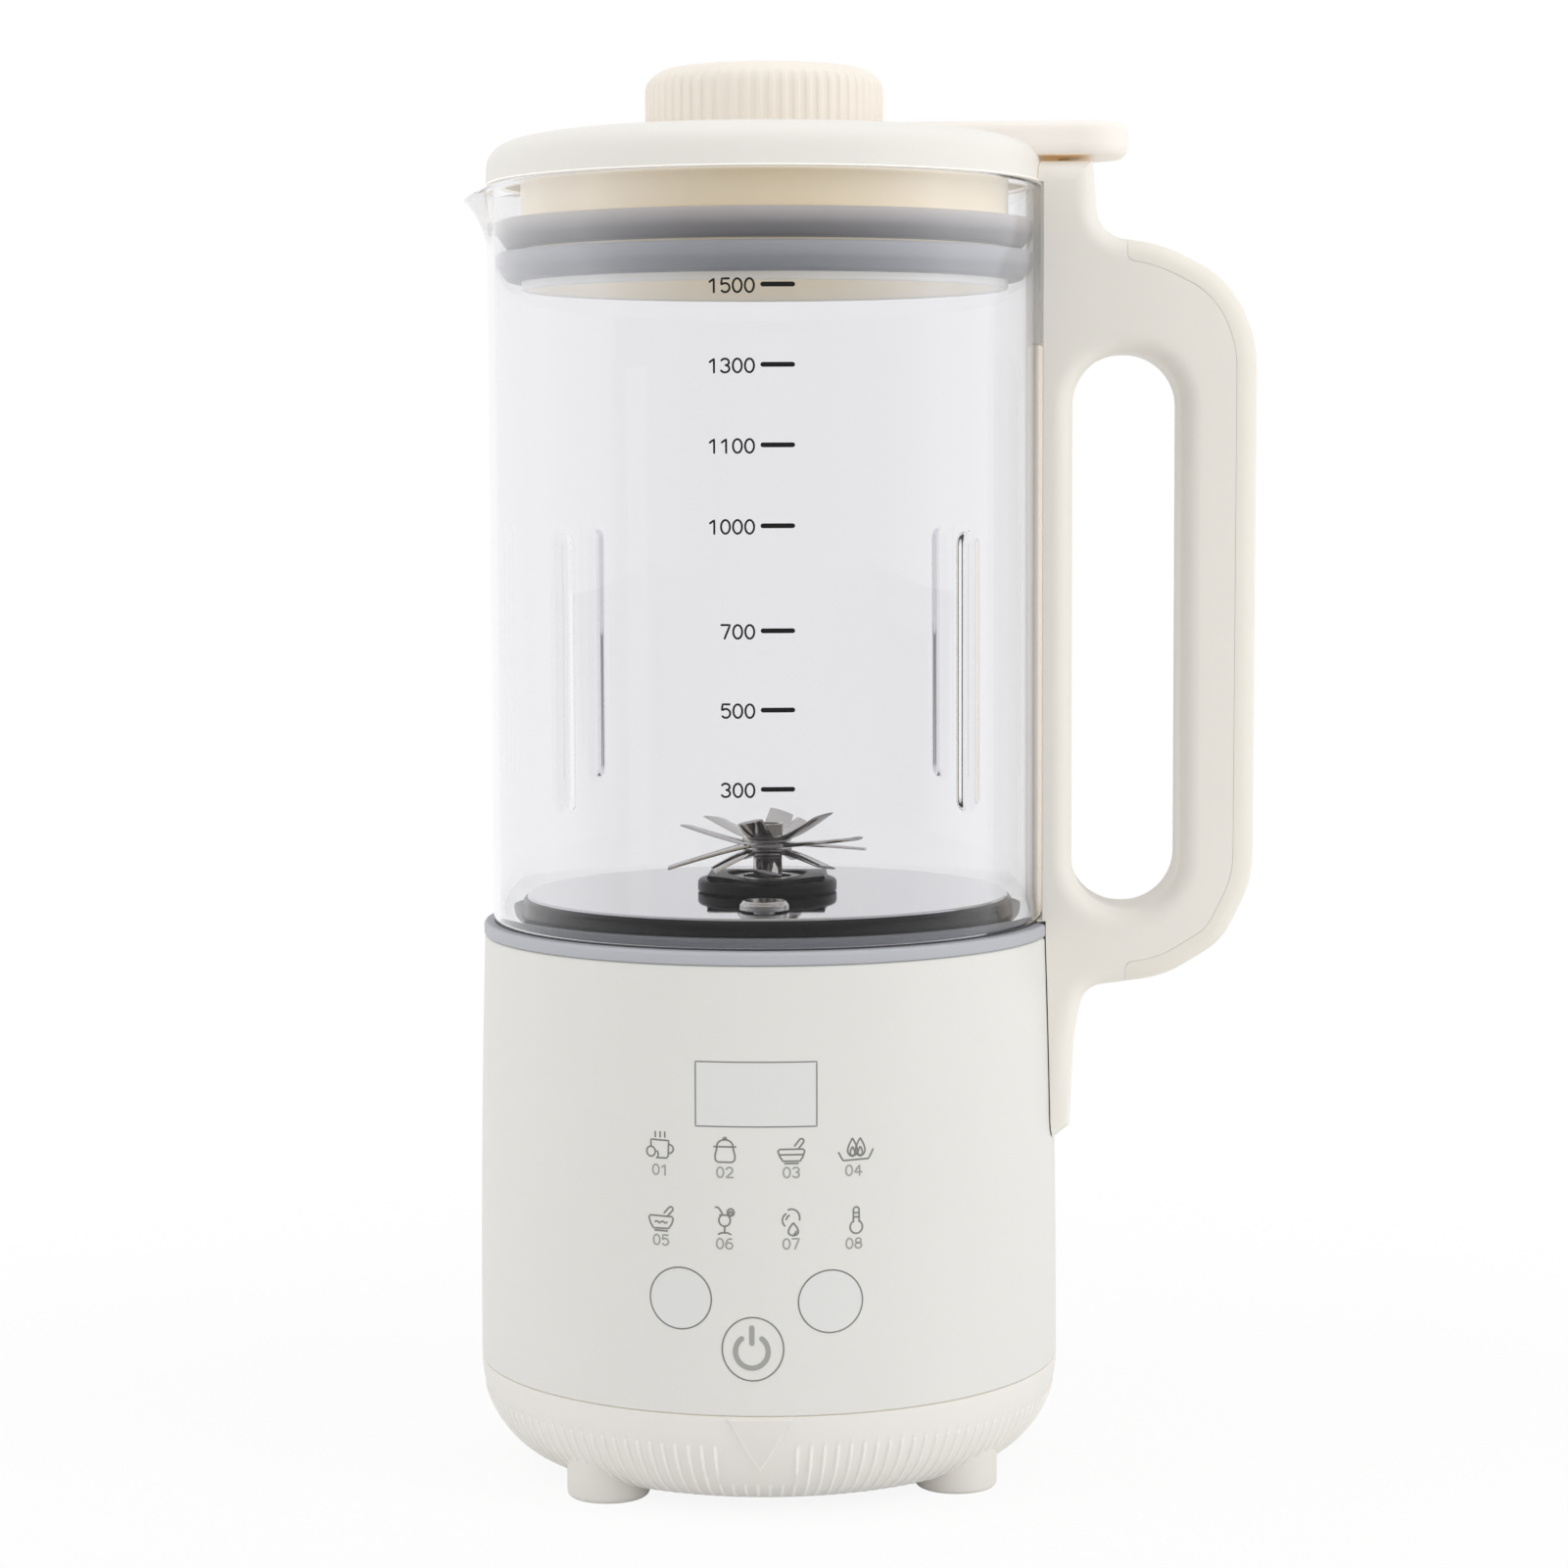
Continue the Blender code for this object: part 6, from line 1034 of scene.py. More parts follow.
# %% Blades
def arm_grid(tip, level, root_width, tip_width, thickness, twist=0.0, bend=7.0, steps=15):
    """Section points (an eight-sided flat lens) set square to a path that leaves the hub level and bends to the
    tip. The path is a quadratic curve; the width shrinks along it and the last step is cut slanted."""
    tip = np.array(tip, float)
    heading = tip[:2] / np.linalg.norm(tip[:2])
    start = np.array([*(heading * 3.2), level])
    knee = np.array([*(heading * bend), level])
    t = np.linspace(0, 1, steps)[:, None]
    path = (1 - t) ** 2 * start + 2 * t * (1 - t) * knee + t ** 2 * tip
    along = np.gradient(path, axis=0)
    along /= np.linalg.norm(along, axis=1, keepdims=True)
    wide = np.array([-heading[1], heading[0], 0.0])
    wide = wide * math.cos(twist) + np.cross(along, wide) * math.sin(twist)
    thin = np.cross(along, wide)
    width = (root_width + (tip_width - root_width) * t) / 2
    depth = thickness / 2 * (1 - 0.35 * t)
    section = np.array([(1, 0), (0.8, 0.7), (0.3, 1), (-0.3, 1), (-0.8, 0.7), (-1, 0), (-0.8, -0.7), (-0.3, -1),
                        (0.3, -1), (0.8, -0.7)])
    points = (path[:, None] + section[None, :, :1] * (wide * width)[:, None]
              + section[None, :, 1:] * (thin * depth)[:, None])
    slant = section[None, :, :1] * along[-1] * tip_width * 0.28
    points[-1] = points[-1] + slant[0]
    centre = points[-1].mean(axis=0)
    first = points[0].mean(axis=0)
    return np.vstack([np.repeat(first[None, None], 10, axis=1), points, np.repeat(centre[None, None], 10, axis=1)])


def blade(name, node, level, arms):
    """A hub disc with arms, all in one piece."""
    hub = turned(name, rounded([(2.5, level + 0.95, 0.15), (5.6, level + 0.95, 0.25), (5.6, level, 0.25),
                                (2.5, level, 0.15)], closed=True, margin=0.1), 64, loop=True)
    pieces = [hub]
    for arm in arms:
        pieces.append(surface(name + "_arm", arm_grid(level=level + 0.48, **arm), closed_v=True, sharp=25))
    with bpy.context.temp_override(active_object=hub, selected_editable_objects=pieces):
        bpy.ops.object.join()
    return dress(hub, "rotor", "steel", blade_steel, node)


def arm(heading, reach, height, root_width, tip_width, thickness=1.0, **more):
    """An arm given by its heading in degrees, how far it reaches and how high its tip is."""
    tip = (reach * math.cos(math.radians(heading)), reach * math.sin(math.radians(heading)), height)
    return dict(tip=tip, root_width=root_width, tip_width=tip_width, thickness=thickness, **more)


blade("lower_blade", "blade_lower", 136.9,
      [arm(-134.8, 16.2, 134.0, 6.0, 4.4), arm(-35.1, 16.4, 134.4, 6.0, 4.4), arm(-86.6, 18.0, 134.2, 6.6, 6.0),
       arm(113.0, 15.7, 134.0, 6.0, 4.4), arm(68.0, 15.7, 134.0, 6.0, 4.4)])
blade("middle_blade", "blade_middle", 138.2,
      [arm(-155.3, 23.6, 134.4, 6.0, 3.4, 1.1), arm(22.0, 23.8, 136.7, 6.0, 3.6, 1.1),
       arm(158.5, 19.8, 142.1, 6.0, 3.8), arm(-22.2, 21.7, 140.7, 5.6, 3.6, 1.3)])
blade("upper_blade", "blade_upper", 139.5,
      [arm(133.5, 18.6, 143.4, 6.0, 4.6), arm(-99.1, 18.4, 145.4, 6.4, 6.2), arm(81.2, 17.3, 144.5, 6.4, 6.0),
       arm(-44.2, 17.9, 146.2, 6.0, 4.6), arm(62.0, 15.7, 142.9, 6.0, 4.4)])

# %% [markdown]
# ## Shaft of the blades
#
# The shaft is plain round steel with a step that the blades rest on. Its rounded top shows above the blades' nut,
# so it is turned afresh, while the nut keeps the frame's own shape.

# %% Blade nut and shaft
shaft = turned("shaft", rounded([(0, 143.1, 0), (2.4, 143.1, 0.5), (2.4, 136.6, 0), (3.15, 136.6, 0.3),
                                 (3.15, 109.6, 0), (0, 109.6, 0)], margin=0.2), 64)
dress(shaft, "rotor", "steel", shaft_steel, "blade_shaft")
paint(shaft_steel, "blade_nut")

# %% [markdown]
# ## Lid
#
# The lid is a low dome whose side follows a superellipse, fuller than a circle, so that it rolls into an almost
# upright skirt. A flat tab reaches over the handle. The dome is turned, the tab is a slab with soft edges.

# %% Lid dome
FLAT_R, SKIRT_TOP, FULLNESS = 48.0, 288.0, 2.6


def dome_curve(reach, rise, count=30):
    """Superellipse from the flat top out to the skirt: cosine and sine to the power 2 / fullness."""
    swing = np.linspace(math.pi / 2, 0, count)
    return np.column_stack([FLAT_R + reach * np.cos(swing) ** (2 / FULLNESS),
                            SKIRT_TOP + rise * np.sin(swing) ** (2 / FULLNESS)])


low = rounded([(61.55, SKIRT_TOP, 0), (61.55, 285.1, 0.3), (59.35, 285.1, 0.3), (59.35, SKIRT_TOP, 0)], margin=0.15)
profile = np.vstack([[(18.5, 295.6), (20.0, 295.6)], dome_curve(13.55, 7.3), low[1:],
                     dome_curve(11.35, 5.1, 10)[::-1][1:], [(18.5, 293.4)]])
dome = turned("dome", profile, 224, loop=True)
dress(dome, "lid", "cream_plastic", lid_cream, "lid_dome")

# %% Tab
TAB_HALF, TAB_END, TAB_ROOT, TAB_MIDDLE = 13.5, 80.2, 30.0, 294.35
outline = rounded([(TAB_ROOT, -TAB_HALF, 0), (TAB_END, -TAB_HALF, 10.5), (TAB_END, TAB_HALF, 10.5),
                   (TAB_ROOT, TAB_HALF, 0)], closed=True)
tab = moved(slab("tab", [outline], 3.65, edge=2.2, upright=False), z=TAB_MIDDLE)
room = turned("room", [(0, 292.8), (54.3, 292.8), (54.3, 280.0), (0, 280.0)], 96)
tab = combined(tab, room)
core = turned("core", np.vstack([[(0, 294.4)], dome_curve(12.55, 6.3), [(60.55, 280.0), (0, 280.0)]]), 128)
tab = combined(tab, core)
dress(tab, "lid", "cream_plastic", tab_cream, "lid_dome")

# %% [markdown]
# ## Vent knob
#
# The knob's side has sixty fine flutes that fade out over the rounded top. Each flute is a raised cosine added to
# the turned radius, with a fade that depends on the height.

# %% Vent knob
FLUTES, FLUTE_LIFT = 60, 0.30
knob_rows = rounded([(0, 310.4, 0), (26.0, 310.4, 5.0), (26.0, 295.75, 0.3), (24.2, 295.75, 0.2), (24.2, 303.5, 0),
                     (22.0, 307.2, 0), (0, 308.4, 0)], turn=6, margin=0.4)
around = np.linspace(0, 2 * math.pi, FLUTES * 12, endpoint=False)
fade = np.clip((309.9 - knob_rows[:, 1]) / 2.2, 0, 1) * np.clip((knob_rows[:, 0] - 24.4) / 1.0, 0, 1)
fade[np.argmax(knob_rows[:, 1] <= 295.8):] = 0.0
wave = np.clip(np.cos(around * FLUTES) * 1.6 + 0.35, 0, 1)
knob_r = knob_rows[:, 0, None] + FLUTE_LIFT * fade[:, None] * wave[None]
knob = surface("knob", polar(knob_r, around, knob_rows[:, 1, None]), closed_v=True, sharp=50)
dress(knob, "knob", "cream_plastic", knob_cream, "vent_knob")
paint(lid_cream, "cap_stopper")

# %% [markdown]
# ## Liner and wiper seals
#
# Under the dome hangs a cream cup that reaches into the jar. Two silicone wipers on it press against the glass:
# their outer lips are rounded and curl back under.

# %% Liner and wipers
liner_profile = rounded([(18.5, 293.1, 0.2), (20.5, 293.1, 0.3), (20.5, 292.5, 0.5), (54.0, 292.5, 0.8),
                         (54.0, 262.0, 0.6), (52.2, 262.0, 0.6), (52.2, 290.7, 0.8), (18.5, 290.7, 0.2)],
                        closed=True, margin=0.3)
liner = turned("liner", liner_profile, 192, loop=True)
dress(liner, "lid", "cream_plastic", liner_cream, "lid_liner")


def wiper(name, node, top, finish):
    """Wiper section: a round lip at the glass, curling back to the liner underneath."""
    rows = rounded([(54.3, top, 0.3), (59.3, top - 0.2, 0.9), (59.25, top - 3.4, 2.0), (57.2, top - 6.2, 1.4),
                    (54.3, top - 6.5, 0.3)], closed=True, turn=9, margin=0.2)
    return dress(turned(name, rows, 192, loop=True), "lid", "grey_silicone", finish, node)


wiper("upper_wiper", "wiper_seal_upper", 277.2, wiper_upper_grey)
wiper("lower_wiper", "wiper_seal_lower", 270.2, wiper_lower_grey)

# %% [markdown]
# ## Handle
#
# The handle is one thick slab with soft edges and a finger loop. A seam a few millimetres inside its outer edge
# parts the cover from the body. Both are cut from the same shape, so that they meet exactly, and the side towards
# the machine is cut by a turned copy of base and jar.

# %% Handle outline and seam
handle_path = rounded([(51.45, 289.5, 0), (72.1, 289.5, 0), (73.6, 273.2, 7), (87.1, 271.5, 34), (101.7, 263.9, 22),
                       (108.15, 251.0, 28), (107.9, 132.0, 25), (101.2, 118.2, 15), (88.5, 110.3, 25),
                       (70.6, 107.9, 5.5), (68.5, 96.5, 12), (67.6, 76.9, 0), (63.4, 73.6, 0), (51.45, 73.6, 0)],
                      closed=True, turn=6)
loop_path = rounded([(67.9, 125.1, 11.5), (91.5, 125.1, 11.5), (91.5, 247.8, 11.5), (67.9, 247.8, 11.5)], closed=True,
                    turn=6)
sign = area_sign(handle_path)


def cover_outline(depth, start):
    """Everything outside the handle's outline moved in by a depth, from a start in X outwards. The two corners
    where the line leaves the outline's run are rounded."""
    full = dense(np.vstack([handle_path, handle_path[:1]]), 1.5)[:-1]
    inner_path = offset(full, sign * depth)
    spots = np.flatnonzero(inner_path[:, 0] > start)
    run = inner_path[spots[0]:spots[-1] + 1]
    before, after = inner_path[spots[0] - 1], inner_path[spots[-1] + 1]
    top = float(np.interp(start, [before[0], run[0, 0]], [before[1], run[0, 1]]))
    low = float(np.interp(start, [after[0], run[-1, 0]], [after[1], run[-1, 1]]))
    far = run[run[:, 0] > start + 3.0]
    corners = [(start, top + 12, 0), (start, top, 1.8)] + [(x, z, 0) for x, z in far]
    corners += [(start, low, 1.8), (start, low - 12, 0)]
    return np.vstack([rounded(corners, margin=0.2), [(125.0, low - 12), (125.0, top + 12)]])


print("handle outline:", len(handle_path), "points, seam:", len(cover_outline(4.65, 79.70)), "points")

# %% Handle body and cover
HANDLE_HALF, SOFT_EDGE, ROOM = 14.0, 4.2, 0.3
whole = slab("handle_whole", [handle_path, loop_path], HANDLE_HALF, edge=SOFT_EDGE)
cover = whole.copy()
cover.data = whole.data.copy()
cover.name = "handle_strip"
bpy.context.scene.collection.objects.link(cover)
cover = combined(cover, slab("zone", [cover_outline(4.65, 79.70)], 20.0), "INTERSECT")
whole = combined(whole, slab("zone", [cover_outline(4.7, 79.65)], 20.0))
heights = np.linspace(DECK, 60.0, 12)
envelope = turned("envelope", np.vstack([[(0, 320.0), (61.85, 320.0), (61.85, 122.9), (top_r + ROOM, 122.9)],
                                         np.column_stack([housing_radius(heights) + ROOM, heights]),
                                         [(0, 60.0)]]), 256)
whole = combined(whole, envelope)
whole = combined(whole, box("glass_side", (40.0, -20.0, 123.2), (61.4, 20.0, 284.8)))
pocket = turned("pocket", [(50.0, 295.0), (63.75, 295.0), (63.75, 249.7), (50.0, 249.7)], 256, loop=True)
pocket = combined(pocket, box("width", (40.0, -11.5, 240.0), (80.0, 11.5, 285.3)), "INTERSECT")
whole = combined(whole, pocket)
print("handle cut to the machine:", len(whole.data.polygons), "faces")
whole = combined(whole, rod("bore", 2.7, 250.7, 300.0, 67.45), sharp=30)
whole.name = "handle"
dress(whole, "machine", "cream_plastic", handle_cream, "handle_body")
dress(cover, "machine", "cream_plastic", cover_cream, "handle_cover")

# %% [markdown]
# ## Pad between jar and handle
#
# A soft grey strip keeps the glass off the hard handle. It is a piece of a turned ring: the same closed profile at
# each of 25 angles, with the first and last one shut by a point in their middle.

# %% Pad between jar and handle
pad_turn = np.radians(np.linspace(-10.3, 10.3, 25))
pad_rows = rounded([(61.85, 250.0, 0.3), (63.45, 250.0, 0.3), (63.45, 285.0, 0.3), (61.85, 285.0, 0.3)], closed=True,
                   turn=30, margin=0.2)
pad_points = polar(pad_rows[:, 0, None], pad_turn, pad_rows[:, 1, None])
ends = [pad_points[:, :1].mean(axis=0, keepdims=True).repeat(len(pad_rows), axis=0),
        pad_points[:, -1:].mean(axis=0, keepdims=True).repeat(len(pad_rows), axis=0)]
pad = surface("pad", np.concatenate([ends[0], pad_points, ends[1]], axis=1), closed_u=True)
dress(pad, "machine", "grey_silicone", pad_grey_glowing, "handle_pad")

# %% [markdown]
# ## Printing
#
# Numbers, scale marks and key symbols are printed on the surface. Each sign is a set of strokes: a centre line
# with a width and round ends. A stroke becomes a ribbon of quads in the flat sheet (arc length, height), and the
# sheet is wrapped on the turned surface, a few hundredths of a millimetre outside it.

# %% Strokes
def arc_line(cx, cy, rx, ry, start, end, count=20):
    """Part of an ellipse, angles in degrees from +X, counter-clockwise."""
    t = np.radians(np.linspace(start, end, count))
    return np.column_stack([cx + rx * np.cos(t), cy + ry * np.sin(t)])


def ribbon(line, width):
    """Left and right edges at half the width from the centre line, measured square to it, with round ends."""
    line = dense(line)
    step = np.gradient(line, axis=0)
    step /= np.maximum(np.linalg.norm(step, axis=1, keepdims=True), 1e-9)
    normal = np.column_stack([-step[:, 1], step[:, 0]])
    closed = np.linalg.norm(line[0] - line[-1]) < 0.02
    half = np.full(len(line), width / 2)
    if closed:
        both = normal[0] + normal[-1]
        normal[0] = normal[-1] = both / np.linalg.norm(both)
    else:
        caps = np.array([1.0, 0.85, 0.5, 0.0])
        widths = np.sqrt(1 - caps ** 2)
        lead = line[0] - step[0] * caps[:, None] * width / 2
        tail = line[-1] + step[-1] * caps[::-1, None] * width / 2
        half = np.concatenate([widths * width / 2, half[1:-1], widths[::-1] * width / 2])
        normal = np.vstack([np.repeat(normal[:1], 4, axis=0), normal[1:-1], np.repeat(normal[-1:], 4, axis=0)])
        line = np.vstack([lead, line[1:-1], tail])
    return line + normal * half[:, None], line - normal * half[:, None]


def wrapped(s, z, radius):
    """The flat sheet laid round the machine: angle = arc length / radius, measured from the front line at -Y."""
    return polar(radius, s / radius - math.pi / 2, z)


def printed(name, strokes, radius_at, lift=0.04):
    """One mesh of many strokes, wrapped on the radius that belongs to each height, and a little outside it."""
    places, faces, first = [], [], 0
    for line, width in strokes:
        left, right = ribbon(line, width)
        flat = np.stack([left, right], axis=0)
        radius = radius_at(flat[..., 1]) + lift
        places.append(wrapped(flat[..., 0], flat[..., 1], radius).reshape(-1, 3))
        faces += grid_faces(2, len(left), first=first)
        first += 2 * len(left)
    piece = solid(name, np.vstack(places), faces)
    shape = bmesh.new()
    shape.from_mesh(piece.data)
    bmesh.ops.remove_doubles(shape, verts=shape.verts, dist=0.000001)
    bmesh.ops.dissolve_degenerate(shape, edges=shape.edges, dist=0.0000005)
    for face in shape.faces:
        face.normal_update()
        middle = face.calc_center_median()
        if face.normal.x * middle.x + face.normal.y * middle.y < 0:
            face.normal_flip()
    shape.to_mesh(piece.data)
    shape.free()
    return piece


print("strokes ready")

# %% Digits
DIGITS = {
    "0": [arc_line(0, 0, 0.33, 0.5, 0, 360, 29)],
    "1": [[(-0.26, 0.26), (0.06, 0.5), (0.06, -0.5)]],
    "2": [np.vstack([arc_line(0, 0.2, 0.31, 0.3, 160, -35, 14), [(-0.33, -0.5), (0.35, -0.5)]])],
    "3": [arc_line(-0.02, 0.25, 0.30, 0.25, 150, -75, 14), arc_line(-0.02, -0.23, 0.33, 0.27, 80, -150, 16)],
    "4": [[(0.16, -0.5), (0.16, 0.5), (-0.36, -0.2), (0.38, -0.2)]],
    "5": [np.vstack([[(0.28, 0.5), (-0.24, 0.5), (-0.29, 0.06)], arc_line(0, -0.17, 0.33, 0.33, 130, -140, 18)])],
    "6": [np.vstack([[(0.22, 0.46)], arc_line(0.12, -0.12, 0.45, 0.62, 100, 175, 9)]),
          arc_line(0, -0.2, 0.33, 0.3, 0, 360, 25)],
    "7": [[(-0.32, 0.5), (0.33, 0.5), (-0.08, -0.5)]],
    "8": [arc_line(0, 0.25, 0.27, 0.25, 0, 360, 23), arc_line(0, -0.23, 0.33, 0.27, 0, 360, 25)],
}


def number_strokes(text, x, y, tall, advance, width):
    """Digits of a height, set one advance apart, starting with the middle of the first digit at x."""
    made = []
    for place, digit in enumerate(text):
        for line in DIGITS[digit]:
            line = np.asarray(line, float)
            made.append((line * (tall - width) + (x + place * advance, y), width))
    return made


print("digits ready:", sorted(DIGITS))

# %% [markdown]
# ## Volume scale on the glass
#
# Seven black marks with their volumes run up the front of the jar. The column leans a hair to the left towards
# the bottom, as such transfers do.

# %% Volume scale
print_black = moulded("print_black", (18, 16, 16), 0.5, drift=0.3, grain=3000.0)
TOP_MARK, BOTTOM_MARK, LEAN, DIGIT_STEP, DIGIT_TALL = 260.7, 156.2, 0.35, 2.52, 3.25
scale_marks = [(1500, TOP_MARK), (1300, 244.25), (1100, 227.7), (1000, 211.0), (700, 189.25), (500, 172.75),
               (300, BOTTOM_MARK)]
strokes = []
for volume, height in scale_marks:
    lean = -LEAN * (TOP_MARK - height) / (TOP_MARK - BOTTOM_MARK)
    strokes.append(([(2.3 + lean, height), (8.5 + lean, height)], 1.0))
    text = str(volume)
    last = -0.45 + lean
    strokes += number_strokes(text, last - DIGIT_STEP * (len(text) - 1), height - 0.2, DIGIT_TALL, DIGIT_STEP, 0.44)
scale_print = printed("scale_print", strokes, lambda z: np.full_like(z, JAR_R), lift=0.03)
dress(scale_print, "machine", "black_plastic", print_black)

# %% [markdown]
# ## Panel printing
#
# The touch keys are flush: thin grey symbols and rings printed on the housing, a display window with a hair line
# around it, eight numbered programmes in two rows, and the power key. The symbols are drawn here as plain signs
# for hot drink, pot, mortar, flame, bowl, glass, rinse and temperature.

# %% Panel signs
def open_bar(ax, ay, bx, by, r):
    """Outline of a bar from its open foot at a to its round end at b."""
    lean = math.degrees(math.atan2(by - ay, bx - ax))
    return np.vstack([arc_line(ax, ay, r, r, lean - 90, lean - 90, 1), arc_line(bx, by, r, r, lean - 90, lean + 90, 10),
                      arc_line(ax, ay, r, r, lean + 90, lean + 90, 1)])


def flame(cx, bottom, tip, half):
    """A drop with its point up: width follows sin of the height share, pulled towards the bottom."""
    s = np.linspace(0, 1, 16)
    wide = half * np.sin(math.pi * s ** 0.62) ** 0.9
    z = bottom + (tip - bottom) * s
    return np.vstack([np.column_stack([cx + wide, z]), np.column_stack([cx - wide, z])[::-1]])


print("bar and flame ready")

# %% The eight signs
SIGNS = {
    "drink": [[(-2.1, -0.35), (-2.1, 1.1), (1.9, 1.0), (1.8, -2.2), (1.45, -2.7), (-0.4, -2.75)],
              arc_line(1.9, -0.75, 1.05, 0.95, 75, -80, 12), arc_line(-2.1, -1.45, 0.98, 1.05, 0, 360, 24),
              arc_line(-1.2, -2.0, 0.75, 0.9, 50, -60, 9), [(-1.1, 1.7), (-1.1, 2.75)], [(0, 1.7), (0, 2.75)],
              [(1.05, 1.7), (1.05, 2.75)]],
    "pot": [arc_line(0, 1.55, 0.3, 0.25, 0, 360, 13), arc_line(0, -0.2, 1.75, 1.55, 2, 178, 20),
            [(-2.3, -0.15), (2.3, -0.15)],
            [(-1.65, -0.2), (-2.1, -2.1), (-2.0, -3.0), (-1.45, -3.4), (1.5, -3.4), (2.05, -3.0), (2.15, -2.1),
             (1.7, -0.2)]],
    "mortar": [[(-2.4, -0.5), (2.4, -0.5), (2.8, -0.9), (2.4, -2.1), (1.8, -3.0), (-1.8, -3.0), (-2.4, -2.1),
                (-2.85, -0.9), (-2.4, -0.5)], [(-2.3, -1.65), (2.3, -1.65)], [(-1.4, -3.5), (1.4, -3.5)],
               open_bar(1.1, -0.1, 2.1, 1.2, 0.5)],
    "flame": [[(-3.75, -1.4), (-3.3, -2.3), (-2.8, -3.1), (2.75, -2.95), (3.3, -2.1), (3.8, -1.0)],
              flame(-0.75, -2.3, 1.5, 1.05), flame(0.95, -2.3, 1.5, 1.05), flame(-0.75, -2.15, -0.3, 0.5),
              flame(0.95, -2.15, -0.3, 0.5)],
    "bowl": [[(-2.4, 0.9), (2.4, 0.8), (2.75, 0.4), (2.4, -0.8), (1.7, -1.75), (-1.7, -1.8), (-2.4, -0.7),
              (-2.75, 0.5), (-2.4, 0.9)], np.column_stack([np.linspace(-1.35, 1.35, 19),
                                                            -0.45 + 0.16 * np.sin(np.linspace(0, 4 * math.pi, 19))]),
             [(-1.35, -2.25), (1.4, -2.3)], open_bar(1.1, 1.2, 2.2, 2.4, 0.5)],
    "glass": [arc_line(0, 0, 1.22, 1.25, 128, 412, 26), [(-1.0, 1.1), (0.95, 1.1)], [(0, -1.25), (0, -2.5)],
              [(-1.3, -2.95), (-0.6, -2.65), (0.6, -2.65), (1.3, -2.95)],
              [(-1.9, 2.75), (-1.45, 2.7), (-1.1, 2.4), (-0.5, 1.4)], arc_line(1.3, 1.7, 0.72, 0.76, 0, 360, 19),
              arc_line(1.3, 1.6, 0.3, 0.32, -60, 200, 9)],
    "rinse": [arc_line(0.05, 0.55, 1.75, 1.9, 112, -12, 18), arc_line(0.1, 0.1, 1.95, 1.75, 128, 222, 15),
              arc_line(0.2, -0.1, 1.3, 1.4, 118, 165, 8), flame(0.45, -3.2, -0.5, 1.05),
              arc_line(0.5, -2.35, 0.5, 0.5, -80, 10, 6)],
    "heat": [np.vstack([[(-0.62, -0.2)], arc_line(0, 2.25, 0.62, 0.62, 180, 0, 14), [(0.62, -0.2)]]),
             arc_line(0, -1.35, 1.35, 1.38, 115, 425, 28), [(-0.35, 1.65), (0.35, 1.65)],
             [(-0.35, 0.75), (0.35, 0.75)]],
}
print("signs:", ", ".join(SIGNS))

# %% Panel print
LEFT_KEY, RIGHT_KEY, POWER_KEY = (-16.07, 48.9), (15.98, 48.37), (-0.56, 38.5)
SIGN_LINE, RING_LINE, POWER_LINE = 0.36, 0.32, 1.12
rows = [("drink", -20.4, 81.2), ("pot", -6.3, 81.5), ("mortar", 7.7, 81.35), ("flame", 21.5, 81.2),
        ("bowl", -20.3, 65.3), ("glass", -6.4, 65.8), ("rinse", 7.6, 65.75), ("heat", 21.55, 65.25)]
signs, pale_signs = [], []
for number, (sign_name, s, z) in enumerate(rows):
    signs += [(np.asarray(line, float) + (s, z), SIGN_LINE) for line in SIGNS[sign_name]]
    low = 75.95 if number < 4 else 60.85
    shift = (0, 0, 0, -0.5, 0, 0, 0, -0.5)[number]
    raised = (0, 0, 0, 0, 0.2, 0, 0, -0.4)[number]
    pale_signs += number_strokes("0" + str(number + 1), s - 1.0 + shift, low + raised, 2.5, 1.95, SIGN_LINE)
for (s, z), rx, ry in [(LEFT_KEY, 6.75, 6.55), (RIGHT_KEY, 6.9, 6.65), (POWER_KEY, 6.48, 6.75)]:
    signs.append((arc_line(s, z, rx, ry, 0, 360, 73), RING_LINE))
pale_signs += [([(-0.76, 39.75), (-0.76, 43.05)], POWER_LINE),
               (arc_line(-0.78, 37.97, 3.45, 3.5, 128, 412, 40), POWER_LINE)]
signs.append(([(-12.55, 85.6), (-12.55, 99.2), (13.07, 99.2), (13.07, 85.6), (-12.55, 85.6)], 0.28))
print_grey = moulded("print_grey", (132, 132, 130), 0.5, drift=0.1, grain=3000.0)
print_pale = moulded("print_pale", (164, 164, 161), 0.5, drift=0.1, grain=3000.0)
dress(printed("panel_print", signs, housing_radius), "machine", "black_plastic", print_grey)
dress(printed("number_print", pale_signs, housing_radius), "machine", "black_plastic", print_pale)

# %% [markdown]
# ## Display window and key films
#
# The window and the two round keys are smoother than the housing around them, so they mirror a little more. Each
# is a film a fiftieth of a millimetre outside the wall: a grid in the flat sheet, wrapped as the print is. The
# keys' grids are rings that shrink to a point.

# %% Display window and key films
def film(name, s, z, closed_v=False):
    """A thin patch on the housing from a grid of places in the sheet (arc length, height)."""
    return surface(name, wrapped(s, z, housing_radius(z) + 0.02), closed_v=closed_v)


window_grey = moulded("window_grey", (226, 226, 224), 0.25)
window = film("window_film", np.linspace(-12.5, 13.0, 30)[None], np.linspace(85.65, 99.15, 8)[:, None])
dress(window, "machine", "cream_plastic", window_grey)
key_turn = np.linspace(0, 2 * math.pi, 48, endpoint=False)[None]
key_share = np.linspace(0, 1, 7)[:, None]
for name, (s, z), rx, ry in (("left_key_film", LEFT_KEY, 6.6, 6.4), ("right_key_film", RIGHT_KEY, 6.75, 6.5)):
    key = film(name, s + rx * key_share * np.cos(key_turn), z + ry * key_share * np.sin(key_turn), closed_v=True)
    dress(key, "machine", "cream_plastic", window_grey)

